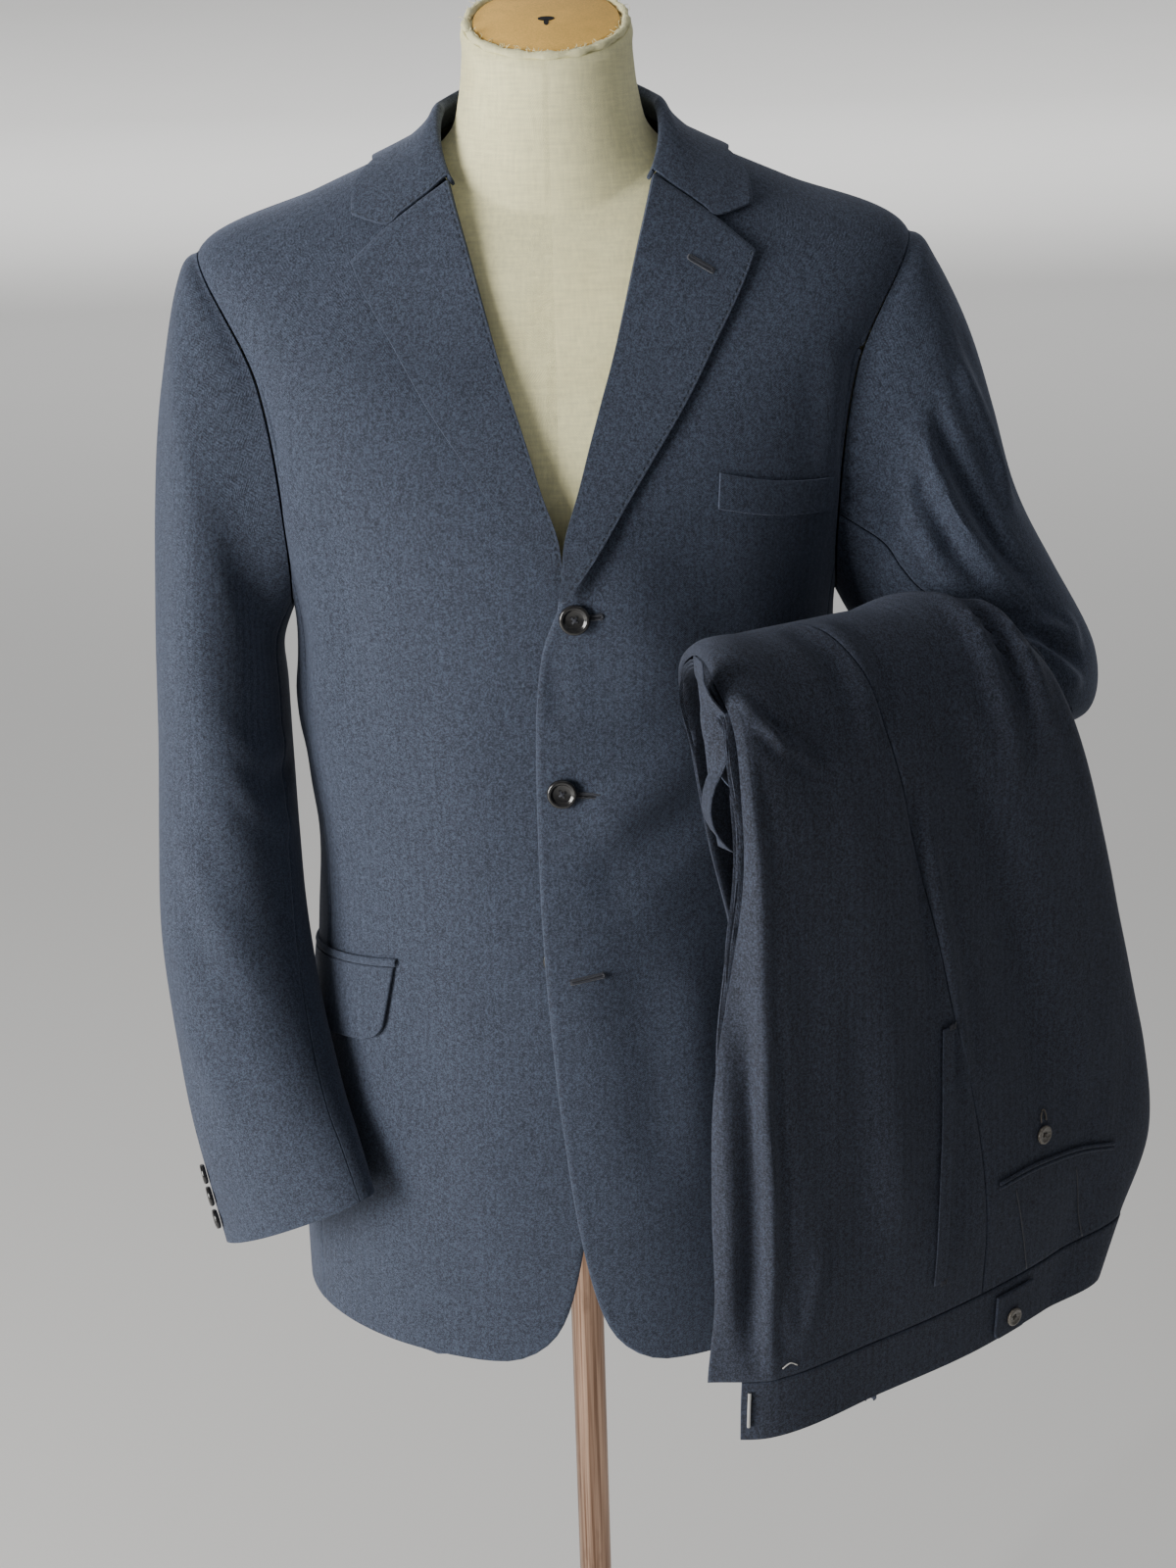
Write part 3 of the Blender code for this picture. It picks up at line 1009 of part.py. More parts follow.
def make_trouser_details(cloth, horn, metal):
    band_out = 0.0005
    (first_station, low), (last_station, high) = SIDE_TAB
    station, level = np.meshgrid(np.linspace(first_station, last_station, 5), np.linspace(low, high, 5))
    corner = np.abs(level - (low + high) / 2) / ((high - low) / 2)
    middle = (first_station + last_station) / 2
    station = middle + (station - middle) * (1.0 - 0.16 * ease(corner, 0.55, 1.0))
    tab_out = band_out + LAY + FLAP_WALL
    spot_patch("trouser_side_tab", np.stack([station, level], axis=-1), tab_out, FLAP_WALL, cloth)
    place, facing = drape_point(*TAB_BUTTON), drape_normal(*TAB_BUTTON)
    make_button("trouser_tab_button", place + facing * (tab_out + SEAM_GAP), facing,
                TROUSER_BUTTON_RADIUS, 0.0028, horn)

    half = SEAM_GAP / 2
    line_patch("trouser_hip_jet_lower", HIP_JET_LINE, ((0.0, -HIP_JET_HEIGHT), (0.0, -half)), 9,
               LAY + 0.0012, 0.0012, cloth)
    line_patch("trouser_hip_jet_upper", HIP_JET_LINE, ((0.0, half), (0.0, HIP_JET_HEIGHT)), 9,
               LAY + 0.0012, 0.0012, cloth)
    spot = drape_spot([HIP_BUTTON])[0]
    place, facing = drape_point(*spot), drape_normal(*spot)
    make_button("trouser_hip_button", place + facing * 0.0006, facing, TROUSER_BUTTON_RADIUS, 0.0028, horn)

    line = along(POCKET_EDGE_LINE, 10)
    spots = np.stack([drape_spot(line - (POCKET_EDGE_WIDTH, 0.0)), drape_spot(line)], axis=1)
    spot_patch("trouser_pocket_edge", spots, LAY + 0.0012, 0.0012, cloth)

    rings = []
    for level in np.linspace(*BAR_EYE_LEVELS, 5):
        place, facing = drape_point(0.62, level), drape_normal(0.62, level)
        centre = place + facing * (band_out + BAR_EYE_RADIUS + 0.0004)
        turn = np.radians(np.arange(8) * 45.0)[:, None]
        rings.append(centre + BAR_EYE_RADIUS * (np.cos(turn) * DRAPE_ALONG + np.sin(turn) * -DRAPE_OUT))
    stack("trouser_bar_eye", rings, metal)




# ================================================================ build
def main():
    for old in list(bpy.data.objects):
        bpy.data.objects.remove(old)
    cloth = material("navy_wool", (0.020, 0.026, 0.044), 0.85)
    trouser_cloth = material("navy_wool_trousers", (0.018, 0.023, 0.038), 0.85)
    horn = material("black_horn", (0.010, 0.010, 0.011), 0.30)
    trouser_horn = material("grey_horn", (0.130, 0.115, 0.100), 0.45)
    steel = material("steel", (0.600, 0.600, 0.590), 0.35, 1.0)
    linen = material("cream_linen", (0.640, 0.600, 0.500), 0.80)
    card = material("brown_card", (0.330, 0.220, 0.140), 0.80)
    bronze = material("bronze_pole", (0.330, 0.200, 0.140), 0.40, 0.8)
    iron = material("dark_iron", (0.040, 0.038, 0.036), 0.55, 0.6)
    make_form(linen, card, bronze, iron)
    make_body(cloth)
    make_lapels(cloth)
    make_collar(cloth)
    make_sleeves(cloth)
    make_pockets(cloth)
    make_jacket_buttons(horn)
    make_trousers(trouser_cloth, trouser_horn, steel)


main()
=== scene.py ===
"""Looks of the two-piece suit on its dress form: every panel again at a fine size, with its creases,
edges, stitching, buttons and cloth, on the same surfaces as the solids."""
import math

import bpy
import numpy as np
from mathutils import Matrix


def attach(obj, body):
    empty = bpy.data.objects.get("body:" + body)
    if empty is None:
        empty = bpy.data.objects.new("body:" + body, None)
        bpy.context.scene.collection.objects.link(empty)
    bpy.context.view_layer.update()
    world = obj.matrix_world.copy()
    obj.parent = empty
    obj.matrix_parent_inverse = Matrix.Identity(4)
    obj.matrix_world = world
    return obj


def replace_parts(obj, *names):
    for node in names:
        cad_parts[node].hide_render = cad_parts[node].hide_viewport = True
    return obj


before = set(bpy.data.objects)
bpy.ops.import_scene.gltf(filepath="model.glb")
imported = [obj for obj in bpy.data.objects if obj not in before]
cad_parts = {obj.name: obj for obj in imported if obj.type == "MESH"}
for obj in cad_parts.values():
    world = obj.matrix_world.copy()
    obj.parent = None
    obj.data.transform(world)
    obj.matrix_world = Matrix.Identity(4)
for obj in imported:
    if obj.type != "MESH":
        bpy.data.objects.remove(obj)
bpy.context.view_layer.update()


# ---------------------------------------------------------------- walls
CLOTH = 0.0020            # wall of one panel, cloth and facing together
SEAM_GAP = 0.0003         # how far two panels are drawn apart at a seam
HALF_GAP = SEAM_GAP / 2
LAY = 0.0008              # air under a piece that lies on a panel
FLAP_WALL = 0.0020        # pocket flaps, welt and side tab
JET_WALL = 0.0013         # jets of the jacket
TRIM_WALL = 0.0012        # hip jets, edge of the side pocket, and buckled layer
BAND_WALL = 0.0025        # waistband
BAND_OUT = 0.0005         # how far the waistband stands off the drape
LAPEL_WALL = 0.0022       # lapel and collar leaf
LAPEL_AIR = 0.0019        # air under a lapel or the collar leaf
OVERLAP_LIFT = 0.0030     # how far the left front stands off the right front where it laps over it
LAPEL_CLEARANCE = 0.0041  # more lift where it also laps over the foot of the right lapel
BUTTON_CLEARANCE = 0.0042  # more lift over the bottom button, which stays unbuttoned

# ---------------------------------------------------------------- body of the jacket
# One row for each ring from the hem to the neck. z_front, z_side and z_back are the ring's heights at
# the front, the side seam and the back; front and back are its depths from the axis of the form.
# Columns: z_front, z_side, z_back, half_width, front, back, power.
BODY_RINGS = {
    "hem":        (0.648, 0.652, 0.652, 0.204, 0.142, 0.128, 2.0),
    "skirt":      (0.720, 0.722, 0.722, 0.202, 0.141, 0.129, 2.0),
    "seat":       (0.800, 0.800, 0.800, 0.196, 0.139, 0.125, 2.0),
    "hip":        (0.900, 0.900, 0.900, 0.182, 0.133, 0.112, 2.0),
    "waist":      (1.000, 1.000, 1.000, 0.175, 0.127, 0.098, 2.05),
    "ribs":       (1.085, 1.085, 1.085, 0.183, 0.125, 0.104, 2.1),
    "chest":      (1.165, 1.160, 1.170, 0.181, 0.130, 0.114, 2.15),
    "upper":      (1.235, 1.240, 1.260, 0.196, 0.127, 0.120, 2.2),
    "blade":      (1.290, 1.322, 1.340, 0.213, 0.110, 0.116, 2.15),
    "shoulder":   (1.335, 1.394, 1.402, 0.226, 0.088, 0.094, 2.05),
    "collarbone": (1.380, 1.429, 1.444, 0.150, 0.080, 0.080, 2.0),
    "neck":       (1.418, 1.458, 1.478, 0.079, 0.070, 0.066, 2.0),
}
RING_OF = {name: float(index) for index, name in enumerate(BODY_RINGS)}

# ---------------------------------------------------------------- armhole: degrees of turn, and rings
ARMHOLE_TURN = 91.0       # turn of its middle, measured from the front
ARMHOLE_FRONT = 20.0      # degrees to its front edge
ARMHOLE_BACK = 22.0       # degrees to its back edge
ARMHOLE_TOP = RING_OF["shoulder"]
ARMHOLE_BOTTOM = RING_OF["chest"]
FRONT_JOIN = 140.0        # where the front seam meets the armhole, degrees round it from its top
BACK_JOIN = 225.0         # where the back seam meets it
HEM_FRONT_TURN = 74.0     # turn of the front seam at the hem
HEM_BACK_TURN = 120.0     # turn of the back seam at the hem
SHOULDER_TURN = 91.0      # turn of the shoulder seam

# ---------------------------------------------------------------- fronts, seen from the front: x and z
# Edge of the left front from the rounded corner at the hem to the foot of the lapel, then the roll line
# from there to the neck, and the free edge of the lapel. The right side mirrors them.
FRONT_EDGE = ((0.1050, 0.6480), (0.0700, 0.6485), (0.0470, 0.6510), (0.0290, 0.6610), (0.0160, 0.6780),
              (0.0060, 0.7080), (-0.0030, 0.7560), (-0.0100, 0.8150), (-0.0150, 0.8700),
              (-0.0190, 0.9500),
              (-0.0210, 1.0200), (-0.0203, 1.0900), (-0.0180, 1.1300), (-0.0125, 1.1630),
              (-0.0040, 1.1850))
ROLL_LINE = ((-0.0040, 1.1850), (-0.0008, 1.2060), (0.0022, 1.2300), (0.0110, 1.2560), (0.0190, 1.2827),
             (0.0262, 1.3050), (0.0340, 1.3290), (0.0418, 1.3590), (0.0503, 1.3930), (0.0585, 1.4230),
             (0.0620, 1.4360))
LAPEL_EDGE = ((0.0010, 1.1930), (0.0185, 1.2160), (0.0390, 1.2463), (0.0615, 1.2793), (0.0820, 1.3100),
              (0.0990, 1.3400), (0.1150, 1.3700), (0.1240, 1.3905))
NOTCH = (0.1005, 1.4100)          # where lapel and collar part
COLLAR_CORNER = (0.1225, 1.4160)  # corner of the collar leaf
COLLAR_FULL_TURN = 84.0          # turn from which the collar has its whole section
COLLAR_FALL_RING = 10.48          # ring that the collar leaf reaches from the shoulders to the back
COLLAR_STAND = 0.022              # height of the stand above the neck seam
COLLAR_LEAN = 0.010               # how far the stand leans in

BUTTON_RADIUS = 0.0098
BUTTON_THICK = 0.0038
CUFF_BUTTON_RADIUS = 0.0072
CUFF_BUTTON_THICK = 0.0034
TROUSER_BUTTON_RADIUS = 0.0066
TROUSER_BUTTON_THICK = 0.0028
BUTTON_AIR = 0.0006       # air under a button that is sewn on a panel
FRONT_BUTTONS = {"top": (0.0066, 1.1810), "middle": (-0.0045, 1.0640), "bottom": (-0.0110, 0.9490)}

# ---------------------------------------------------------------- pockets, x and z on the wearer's left
FLAP_FRONT_TURN = 51.0    # front end of a flap
FLAP_BACK_TURN = 98.0     # back end of a flap
FLAP_TOP_FRONT = 0.9330   # height of the flap's seam at its front end
FLAP_TOP_BACK = 0.9080    # and at its back end
FLAP_DEPTH = 0.0550
FLAP_SLANT = 3.5          # degrees of turn that the free edge lies behind the seam
JET_HEIGHT = 0.0060
WELT_FRONT = (0.0965, 1.2420)
WELT_BACK = (0.1700, 1.2290)
WELT_HEIGHT = 0.0215

# ---------------------------------------------------------------- sleeves, x outward from the axis
# One row for each ring below the armhole: its outer point, its inner point, its half width across
# them, and the direction of that half width, forward at the shoulder.
# Columns: outer x, y and z, inner x, y and z, half_fore, fore x, y and z.
RIGHT_SLEEVE = {
    "cap":      (0.2430, 0.002, 1.370, 0.1905, 0.000, 1.132, 0.066, 0.0, -1.0, 0.0),
    "head":     (0.2575, 0.000, 1.305, 0.1905, 0.000, 1.095, 0.071, 0.0, -1.0, 0.0),
    "biceps":   (0.2665, -0.003, 1.232, 0.1900, -0.005, 1.062, 0.072, 0.0, -1.0, 0.0),
    "arm":      (0.2722, -0.010, 1.155, 0.1885, -0.015, 1.035, 0.069, 0.0, -1.0, 0.0),
    "above":    (0.2762, -0.018, 1.080, 0.1870, -0.027, 1.003, 0.062, 0.0, -1.0, 0.05),
    "elbow":    (0.2805, -0.028, 1.010, 0.1850, -0.040, 0.962, 0.055, 0.0, -1.0, 0.1),
    "below":    (0.2820, -0.038, 0.945, 0.1805, -0.056, 0.922, 0.049, 0.1, -1.0, 0.1),
    "forearm":  (0.2775, -0.048, 0.885, 0.1735, -0.076, 0.882, 0.043, 0.2, -1.0, 0.1),
    "low":      (0.2695, -0.058, 0.822, 0.1630, -0.098, 0.842, 0.037, 0.3, -1.0, 0.1),
    "wrist":    (0.2600, -0.069, 0.770, 0.1520, -0.114, 0.811, 0.031, 0.3, -1.0, 0.1),
    "cuff":     (0.2505, -0.078, 0.719, 0.1420, -0.125, 0.777, 0.026, 0.3, -1.0, 0.1),
}
LEFT_SLEEVE = {
    "cap":      (0.2450, 0.002, 1.374, 0.1910, 0.000, 1.142, 0.065, 0.0, -1.0, 0.0),
    "head":     (0.2660, 0.001, 1.332, 0.2000, -0.001, 1.134, 0.067, 0.0, -1.0, 0.0),
    "biceps":   (0.2835, 0.001, 1.280, 0.2110, -0.006, 1.130, 0.066, 0.0, -1.0, 0.0),
    "arm":      (0.2965, 0.002, 1.228, 0.2230, -0.018, 1.133, 0.062, 0.15, -1.0, 0.0),
    "above":    (0.3180, 0.006, 1.178, 0.2340, -0.034, 1.140, 0.056, 0.35, -0.9, 0.0),
    "elbow":    (0.3490, 0.002, 1.118, 0.2400, -0.052, 1.148, 0.050, 0.50, -0.85, 0.0),
    "below":    (0.3440, -0.022, 1.077, 0.2400, -0.070, 1.154, 0.046, 0.56, -0.83, 0.0),
    "forearm":  (0.3050, -0.048, 1.070, 0.2280, -0.090, 1.158, 0.042, 0.56, -0.83, 0.0),
    "low":      (0.2400, -0.092, 1.071, 0.1950, -0.120, 1.160, 0.040, 0.56, -0.83, 0.0),
    "wrist":    (0.1700, -0.138, 1.073, 0.1500, -0.152, 1.160, 0.038, 0.56, -0.83, 0.0),
    "cuff":     (0.1050, -0.182, 1.078, 0.1000, -0.186, 1.160, 0.037, 0.56, -0.83, 0.0),
}
SLEEVE_FRONT_SEAM = {"left": 118.0, "right": 158.2}   # degrees round the sleeve from its outer line
SLEEVE_BACK_SEAM = 262.0
# Columns: degrees round the sleeve, rings up from the cuff, rings from one button to the next.
CUFF_BUTTONS = {
    "left":  (322.0, 0.42, 0.40),
    "right": (22.0, 0.434, 0.29),
}

# ---------------------------------------------------------------- drape of the trousers
# The drape has axes of its own: along (from the free end of the fold to the elbow), out (to the front)
# and up. One row for each level from the waist in front, over the forearm, to the hem behind.
DRAPE_ORIGIN = (0.100, -0.200)
DRAPE_ANGLE = 34.0
UNDER_AIR = 0.0012         # air between the outer leg and the layers under it
# Columns: up, out, crease, seam, right, tuck_left, tuck_right, bow, under, flank.
DRAPE_ROWS = {
    "waist":     (0.6600, 0.0490, -0.012, 0.166, 0.302, 0.022, 0.026, 0.006, 0.040, 0.034),
    "band seam": (0.7030, 0.0495, -0.010, 0.166, 0.325, 0.022, 0.034, 0.007, 0.041, 0.036),
    "hip":       (0.7600, 0.0505, -0.004, 0.165, 0.352, 0.022, 0.040, 0.009, 0.042, 0.037),
    "seat":      (0.8300, 0.0500, -0.013, 0.157, 0.341, 0.022, 0.036, 0.008, 0.040, 0.029),
    "crotch":    (0.9000, 0.0500, -0.019, 0.139, 0.316, 0.022, 0.030, 0.005, 0.036, 0.021),
    "thigh":     (0.9800, 0.0500, -0.018, 0.119, 0.288, 0.018, 0.022, 0.003, 0.028, 0.012),
    "lower":     (1.0500, 0.0495, -0.019, 0.100, 0.261, 0.010, 0.012, 0.002, 0.017, 0.005),
    "knee":      (1.1050, 0.0470, -0.023, 0.085, 0.237, 0.006, 0.006, 0.001, 0.013, 0.004),
    "rise":      (1.1450, 0.0370, -0.022, 0.075, 0.215, 0.005, 0.005, 0.001, 0.012, 0.004),
    "shoulder":  (1.1700, 0.0180, -0.022, 0.067, 0.193, 0.005, 0.005, 0.001, 0.012, 0.004),
    "crest":     (1.1780, -0.0060, -0.014, 0.063, 0.176, 0.005, 0.005, 0.001, 0.011, 0.004),
    "far side":  (1.1715, -0.0365, -0.003, 0.062, 0.166, 0.005, 0.005, 0.001, 0.010, 0.004),
    "turn down": (1.1475, -0.0625, 0.007, 0.064, 0.163, 0.005, 0.005, 0.001, 0.009, 0.004),
    "behind":    (1.1000, -0.0715, 0.020, 0.070, 0.158, 0.005, 0.005, 0.001, 0.009, 0.004),
    "back knee": (1.0300, -0.0640, 0.028, 0.077, 0.162, 0.006, 0.006, 0.003, 0.011, 0.004),
    "shin":      (0.9500, -0.0540, 0.040, 0.082, 0.162, 0.008, 0.008, 0.006, 0.013, 0.004),
    "calf":      (0.8500, -0.0470, 0.037, 0.084, 0.159, 0.010, 0.010, 0.008, 0.014, 0.004),
    "ankle":     (0.7200, -0.0430, 0.034, 0.080, 0.155, 0.012, 0.012, 0.009, 0.015, 0.004),
    "leg hem":   (0.5760, -0.0410, 0.032, 0.078, 0.151, 0.012, 0.012, 0.009, 0.015, 0.004),
}
DRAPE_OF = {name: float(index) for index, name in enumerate(DRAPE_ROWS)}
# Columns: across at its low and high end, level of its low and high end, width, height.
DRAPE_FOLDS = {
    "hollow beside the crease": (1.75, 1.22, 1.1, 7.6, 0.24, -0.0032),
    "swell of the front":       (2.15, 2.20, 1.8, 7.4, 0.42, 0.0030),
    "hollow of the back":       (3.68, 3.72, 2.4, 8.2, 0.24, -0.0036),
    "long fold of the back":    (4.18, 4.08, 1.6, 7.8, 0.25, 0.0042),
}
HEM_SLOPE = 0.075           # rise of the leg hem from its right corner to its left

# ---------------------------------------------------------------- dress form
FORM_BOTTOM = 0.800
FORM_CLEARANCE = {"seat": 0.030, "hip": 0.024, "waist": 0.020, "ribs": 0.018, "chest": 0.014,
                  "upper": 0.010, "blade": 0.005, "shoulder": 0.0026, "collarbone": 0.0024,
                  "neck": 0.0070}
NECK_ROWS = (  # height, half width, half depth, y of the middle, forward lean in degrees
    (1.462, 0.0620, 0.0590, -0.004, 17.0),
    (1.484, 0.0560, 0.0555, -0.005, 18.0),
    (1.504, 0.0535, 0.0540, -0.005, 20.0),
    (1.514, 0.0530, 0.0540, -0.005, 21.0),
    (1.520, 0.0535, 0.0545, -0.005, 21.0),
    (1.525, 0.0520, 0.0530, -0.005, 21.0),
)
NECK_CAP_RADIUS = (0.0455, 0.0465)
NECK_CAP_THICK = 0.0030
POLE_RADIUS = 0.01225
BASE_RADIUS = 0.200
BASE_THICK = 0.030
BASE_EDGE = 0.010

# ---------------------------------------------------------------- small pieces on the trousers
# Places on the drape are (along, up) in metres.
SIDE_TAB = ((3.17, 0.10), (3.63, 0.86))       # stations and levels of its two corners
TAB_BUTTON = (3.40, 0.44)
TAB_OUT = BAND_OUT + LAY + FLAP_WALL
HIP_JET_LINE = ((0.1740, 0.7850), (0.2050, 0.7860), (0.2350, 0.7830), (0.2650, 0.7780),
                (0.2960, 0.7700))
HIP_JET_HEIGHT = 0.0032
HIP_BUTTON = (0.2200, 0.8060)
POCKET_EDGE_LINE = ((0.1270, 0.7300), (0.1290, 0.7900), (0.1310, 0.8500), (0.1330, 0.9140))
POCKET_EDGE_WIDTH = 0.0100
BAR_EYE_LEVELS = (0.35, 0.88)
BAR_EYE_RADIUS = 0.0012

# ---------------------------------------------------------------- values that many steps share
SIDES = (("left", True), ("right", False))
SLEEVES = (("left", LEFT_SLEEVE, True), ("right", RIGHT_SLEEVE, False))
MIRROR = np.array([-1.0, 1.0, 1.0])
NO_GAPS = (0, 0, 0, 0)
BORDERS = ("from_bottom", "from_top", "from_left", "from_right")
SHARP_DEGREES = 58        # an edge that bends more than this is shaded sharp
EDGE_SHARE = 0.22         # how far into its first cell a panel's edge is rounded
LEAST_SIDE = 0.0101
LEAST_AREA_SHARE = 0.31   # and no area under 0.3 of width times length
NEWTON_SHARE = 0.7        # share of each step that is taken towards a place
FINE = 6                  # how finely the nets of the jacket's body are divided
LAPEL_NET = (73, 37)      # rows and columns of a lapel


# ================================================================ curves and tables
def cubic(t, start, end, pull_start, pull_end):
    """A smooth curve from start to end, which leaves and arrives along its two pulls."""
    cube, square = t * t * t, t * t
    return ((2 * cube - 3 * square + 1) * start + (cube - 2 * square + t) * pull_start
            + (3 * square - 2 * cube) * end + (cube - square) * pull_end)


def through_rows(rows, place):
    """Read a table of rows at a fractional row number, on a smooth curve through the rows."""
    rows = np.asarray(rows, float)
    last = len(rows) - 1
    place = np.clip(np.asarray(place, float), 0.0, last)
    low = np.minimum(place.astype(int), last - 1)
    before, start = rows[np.maximum(low - 1, 0)], rows[low]
    end, after = rows[low + 1], rows[np.minimum(low + 2, last)]
    return cubic((place - low)[..., None], start, end, (end - before) * 0.5, (after - start) * 0.5)


def step_of(stations, place):
    """The step of a stack of stations that each place lies in: its number, the way along it, and the
    stations before it, at its start, at its end and after it."""
    last = len(stations) - 1
    low = np.clip(place.astype(int), 0, last - 1)
    around = [np.take_along_axis(stations, np.clip(low + shift, 0, last)[None, ..., None], axis=0)[0]
              for shift in (-1, 0, 1, 2)]
    return low[..., None], (place - low)[..., None], around


def newton_step(miss, by_first, by_second):
    """Changes of two parameters that make up for a miss, from what each of them changes."""
    area = by_first[:, 0] * by_second[:, 1] - by_first[:, 1] * by_second[:, 0]
    area = np.where(np.abs(area) < 1e-9, 1e-9, area)
    return ((miss[:, 0] * by_second[:, 1] - miss[:, 1] * by_second[:, 0]) / area,
            (by_first[:, 0] * miss[:, 1] - by_first[:, 1] * miss[:, 0]) / area)


def along(points, count, smooth=True, start=0.0, end=1.0):
    """Place a number of points at even spacing along a curve through the given points."""
    points = np.asarray(points, float)
    fine = through_rows(points, np.linspace(0, len(points) - 1, 24 * len(points))) if smooth else points
    steps = np.linalg.norm(np.diff(fine, axis=0), axis=1)
    length = np.concatenate(([0.0], np.cumsum(steps)))
    wanted = np.linspace(start, end, count) * length[-1]
    return np.stack([np.interp(wanted, length, fine[:, k]) for k in range(fine.shape[1])], axis=1)


def ease(value, low, high):
    """Rise smoothly from 0 at low to 1 at high."""
    t = np.clip((np.asarray(value, float) - low) / (high - low), 0.0, 1.0)
    return t * t * (3.0 - 2.0 * t)


def unit(vectors):
    vectors = np.asarray(vectors, float)
    return vectors / np.maximum(np.linalg.norm(vectors, axis=-1, keepdims=True), 1e-12)


def fill_between(bottom, top, left, right):
    """Fill four border curves with a net of points (rows run from bottom to top)."""
    rows, columns = len(left), len(bottom)
    v = np.linspace(0, 1, rows)[:, None, None]
    u = np.linspace(0, 1, columns)[None, :, None]
    across = (1 - u) * left[:, None, :] + u * right[:, None, :]
    upward = (1 - v) * bottom[None, :, :] + v * top[None, :, :]
    corners = ((1 - u) * (1 - v) * bottom[0] + u * (1 - v) * bottom[-1]
               + (1 - u) * v * top[0] + u * v * top[-1])
    return across + upward - corners


# ================================================================ the three surfaces
BODY_TABLE = np.array(list(BODY_RINGS.values()))
DRAPE_TABLE = np.array(list(DRAPE_ROWS.values()))
DRAPE_ALONG = np.array([math.cos(math.radians(DRAPE_ANGLE)), math.sin(math.radians(DRAPE_ANGLE)), 0.0])
DRAPE_OUT = np.array([DRAPE_ALONG[1], -DRAPE_ALONG[0], 0.0])
DRAPE_START = np.array([*DRAPE_ORIGIN, 0.0])
UP = np.array([0.0, 0.0, 1.0])


def body_point(turn, ring):
    """A point of the jacket's outer face: turn in degrees from the front, ring along BODY_RINGS."""
    turn, ring = np.broadcast_arrays(np.asarray(turn, float), np.asarray(ring, float))
    row = through_rows(BODY_TABLE, ring)
    angle = np.radians(turn)
    sine, cosine = np.abs(np.sin(angle)), np.abs(np.cos(angle))
    depth = np.where(np.cos(angle) > 0, row[..., 4], row[..., 5])
    power = row[..., 6]
    reach = ((sine / row[..., 3]) ** power + (cosine / depth) ** power) ** (-1.0 / power)
    side = (sine * reach / row[..., 3]) ** 2
    height = np.where(np.cos(angle) > 0, row[..., 0], row[..., 2])
    z = height + (row[..., 1] - height) * side
    return np.stack([reach * np.sin(angle), -reach * np.cos(angle), z], axis=-1)


def surface_normals(surface, first, second, step_first, step_second):
    """Outward normals of a surface, from small steps along its two parameters."""
    along_first = surface(first + step_first, second) - surface(first - step_first, second)
    along_second = surface(first, second + step_second) - surface(first, second - step_second)
    return unit(np.cross(along_first, along_second))


def body_normal(turn, ring):
    ring = np.clip(ring, 0.002, len(BODY_TABLE) - 1.002)
    return surface_normals(body_point, np.asarray(turn, float), ring, 0.2, 0.002)


def on_body(spots):
    """Points of the jacket's outer face at spots of turn and ring."""
    return body_point(spots[..., 0], spots[..., 1])


def body_spot(points):
    """Turn and ring of the body's front face at places given by x and z."""
    points = np.asarray(points, float)
    turn = np.degrees(np.arctan2(points[:, 0], 0.12))
    ring = np.interp(points[:, 1], BODY_TABLE[:, 0], np.arange(len(BODY_TABLE)))
    for _ in range(60):
        here = body_point(turn, ring)
        step = np.where(ring > 1.0, -0.001, 0.001)
        by_turn = (body_point(turn + 0.1, ring) - here)[:, (0, 2)] / 0.1
        by_ring = (body_point(turn, ring + step) - here)[:, (0, 2)] / step[:, None]
        add_turn, add_ring = newton_step(points - here[:, (0, 2)], by_turn, by_ring)
        turn = turn + NEWTON_SHARE * np.clip(add_turn, -8, 8)
        ring = np.clip(ring + NEWTON_SHARE * np.clip(add_ring, -1, 1), 0.0, len(BODY_TABLE) - 1.0)
    return np.stack([turn, ring], axis=1)


def armhole_spot(angle):
    """Turn and ring round the armhole: 0 degrees at its top, 90 at the front, 180 under the arm."""
    angle = np.radians(np.asarray(angle, float))
    reach = np.where(np.sin(angle) > 0, ARMHOLE_FRONT, ARMHOLE_BACK)
    middle = (ARMHOLE_TOP + ARMHOLE_BOTTOM) / 2
    half = (ARMHOLE_TOP - ARMHOLE_BOTTOM) / 2
    turn = ARMHOLE_TURN - reach * np.sin(angle) * (1.0 - 0.16 * np.cos(angle))
    return np.stack([turn, middle + half * np.cos(angle)], axis=-1)


def sleeve_table(rows):
    """Rings of a sleeve as centres and two half axes, at full size."""
    rows = np.array(list(rows.values()))
    outer, inner = rows[:, 0:3], rows[:, 3:6]
    centre = (outer + inner) / 2
    side = (outer - inner) / 2
    fore = rows[:, 7:10]
    fore = fore - side * (np.sum(fore * side, axis=1) / np.sum(side * side, axis=1))[:, None]
    return centre, side, unit(fore) * rows[:, 6:7]


def sleeve_point(rows, angle, place):
    """A point of a sleeve's outer face: degrees round it from its outer line, place along its rings.

    Place 0 is the armhole and place 1 the first ring of the table.
    """
    angle, place = np.broadcast_arrays(np.asarray(angle, float), np.asarray(place, float))
    centre, side, fore = sleeve_table(rows)
    cosine = np.cos(np.radians(angle))[..., None]
    sine = np.sin(np.radians(angle))[..., None]
    rings = np.stack([on_body(armhole_spot(angle))]
                     + [centre[k] + side[k] * cosine + fore[k] * sine for k in range(len(centre))])
    low, t, (before, start, end, after) = step_of(rings, np.clip(place, 0, len(rings) - 1))
    pull_start = np.where(low == 0, (end - start) * 0.9, (end - before) * 0.5)
    return cubic(t, start, end, pull_start, (after - start) * 0.5)


def sleeve_normal(rows, angle, place):
    place = np.clip(place, 0.01, len(rows) - 0.01)
    surface = lambda first, second: sleeve_point(rows, first, second)
    return surface_normals(surface, np.asarray(angle, float), place, 1.0, 0.01)


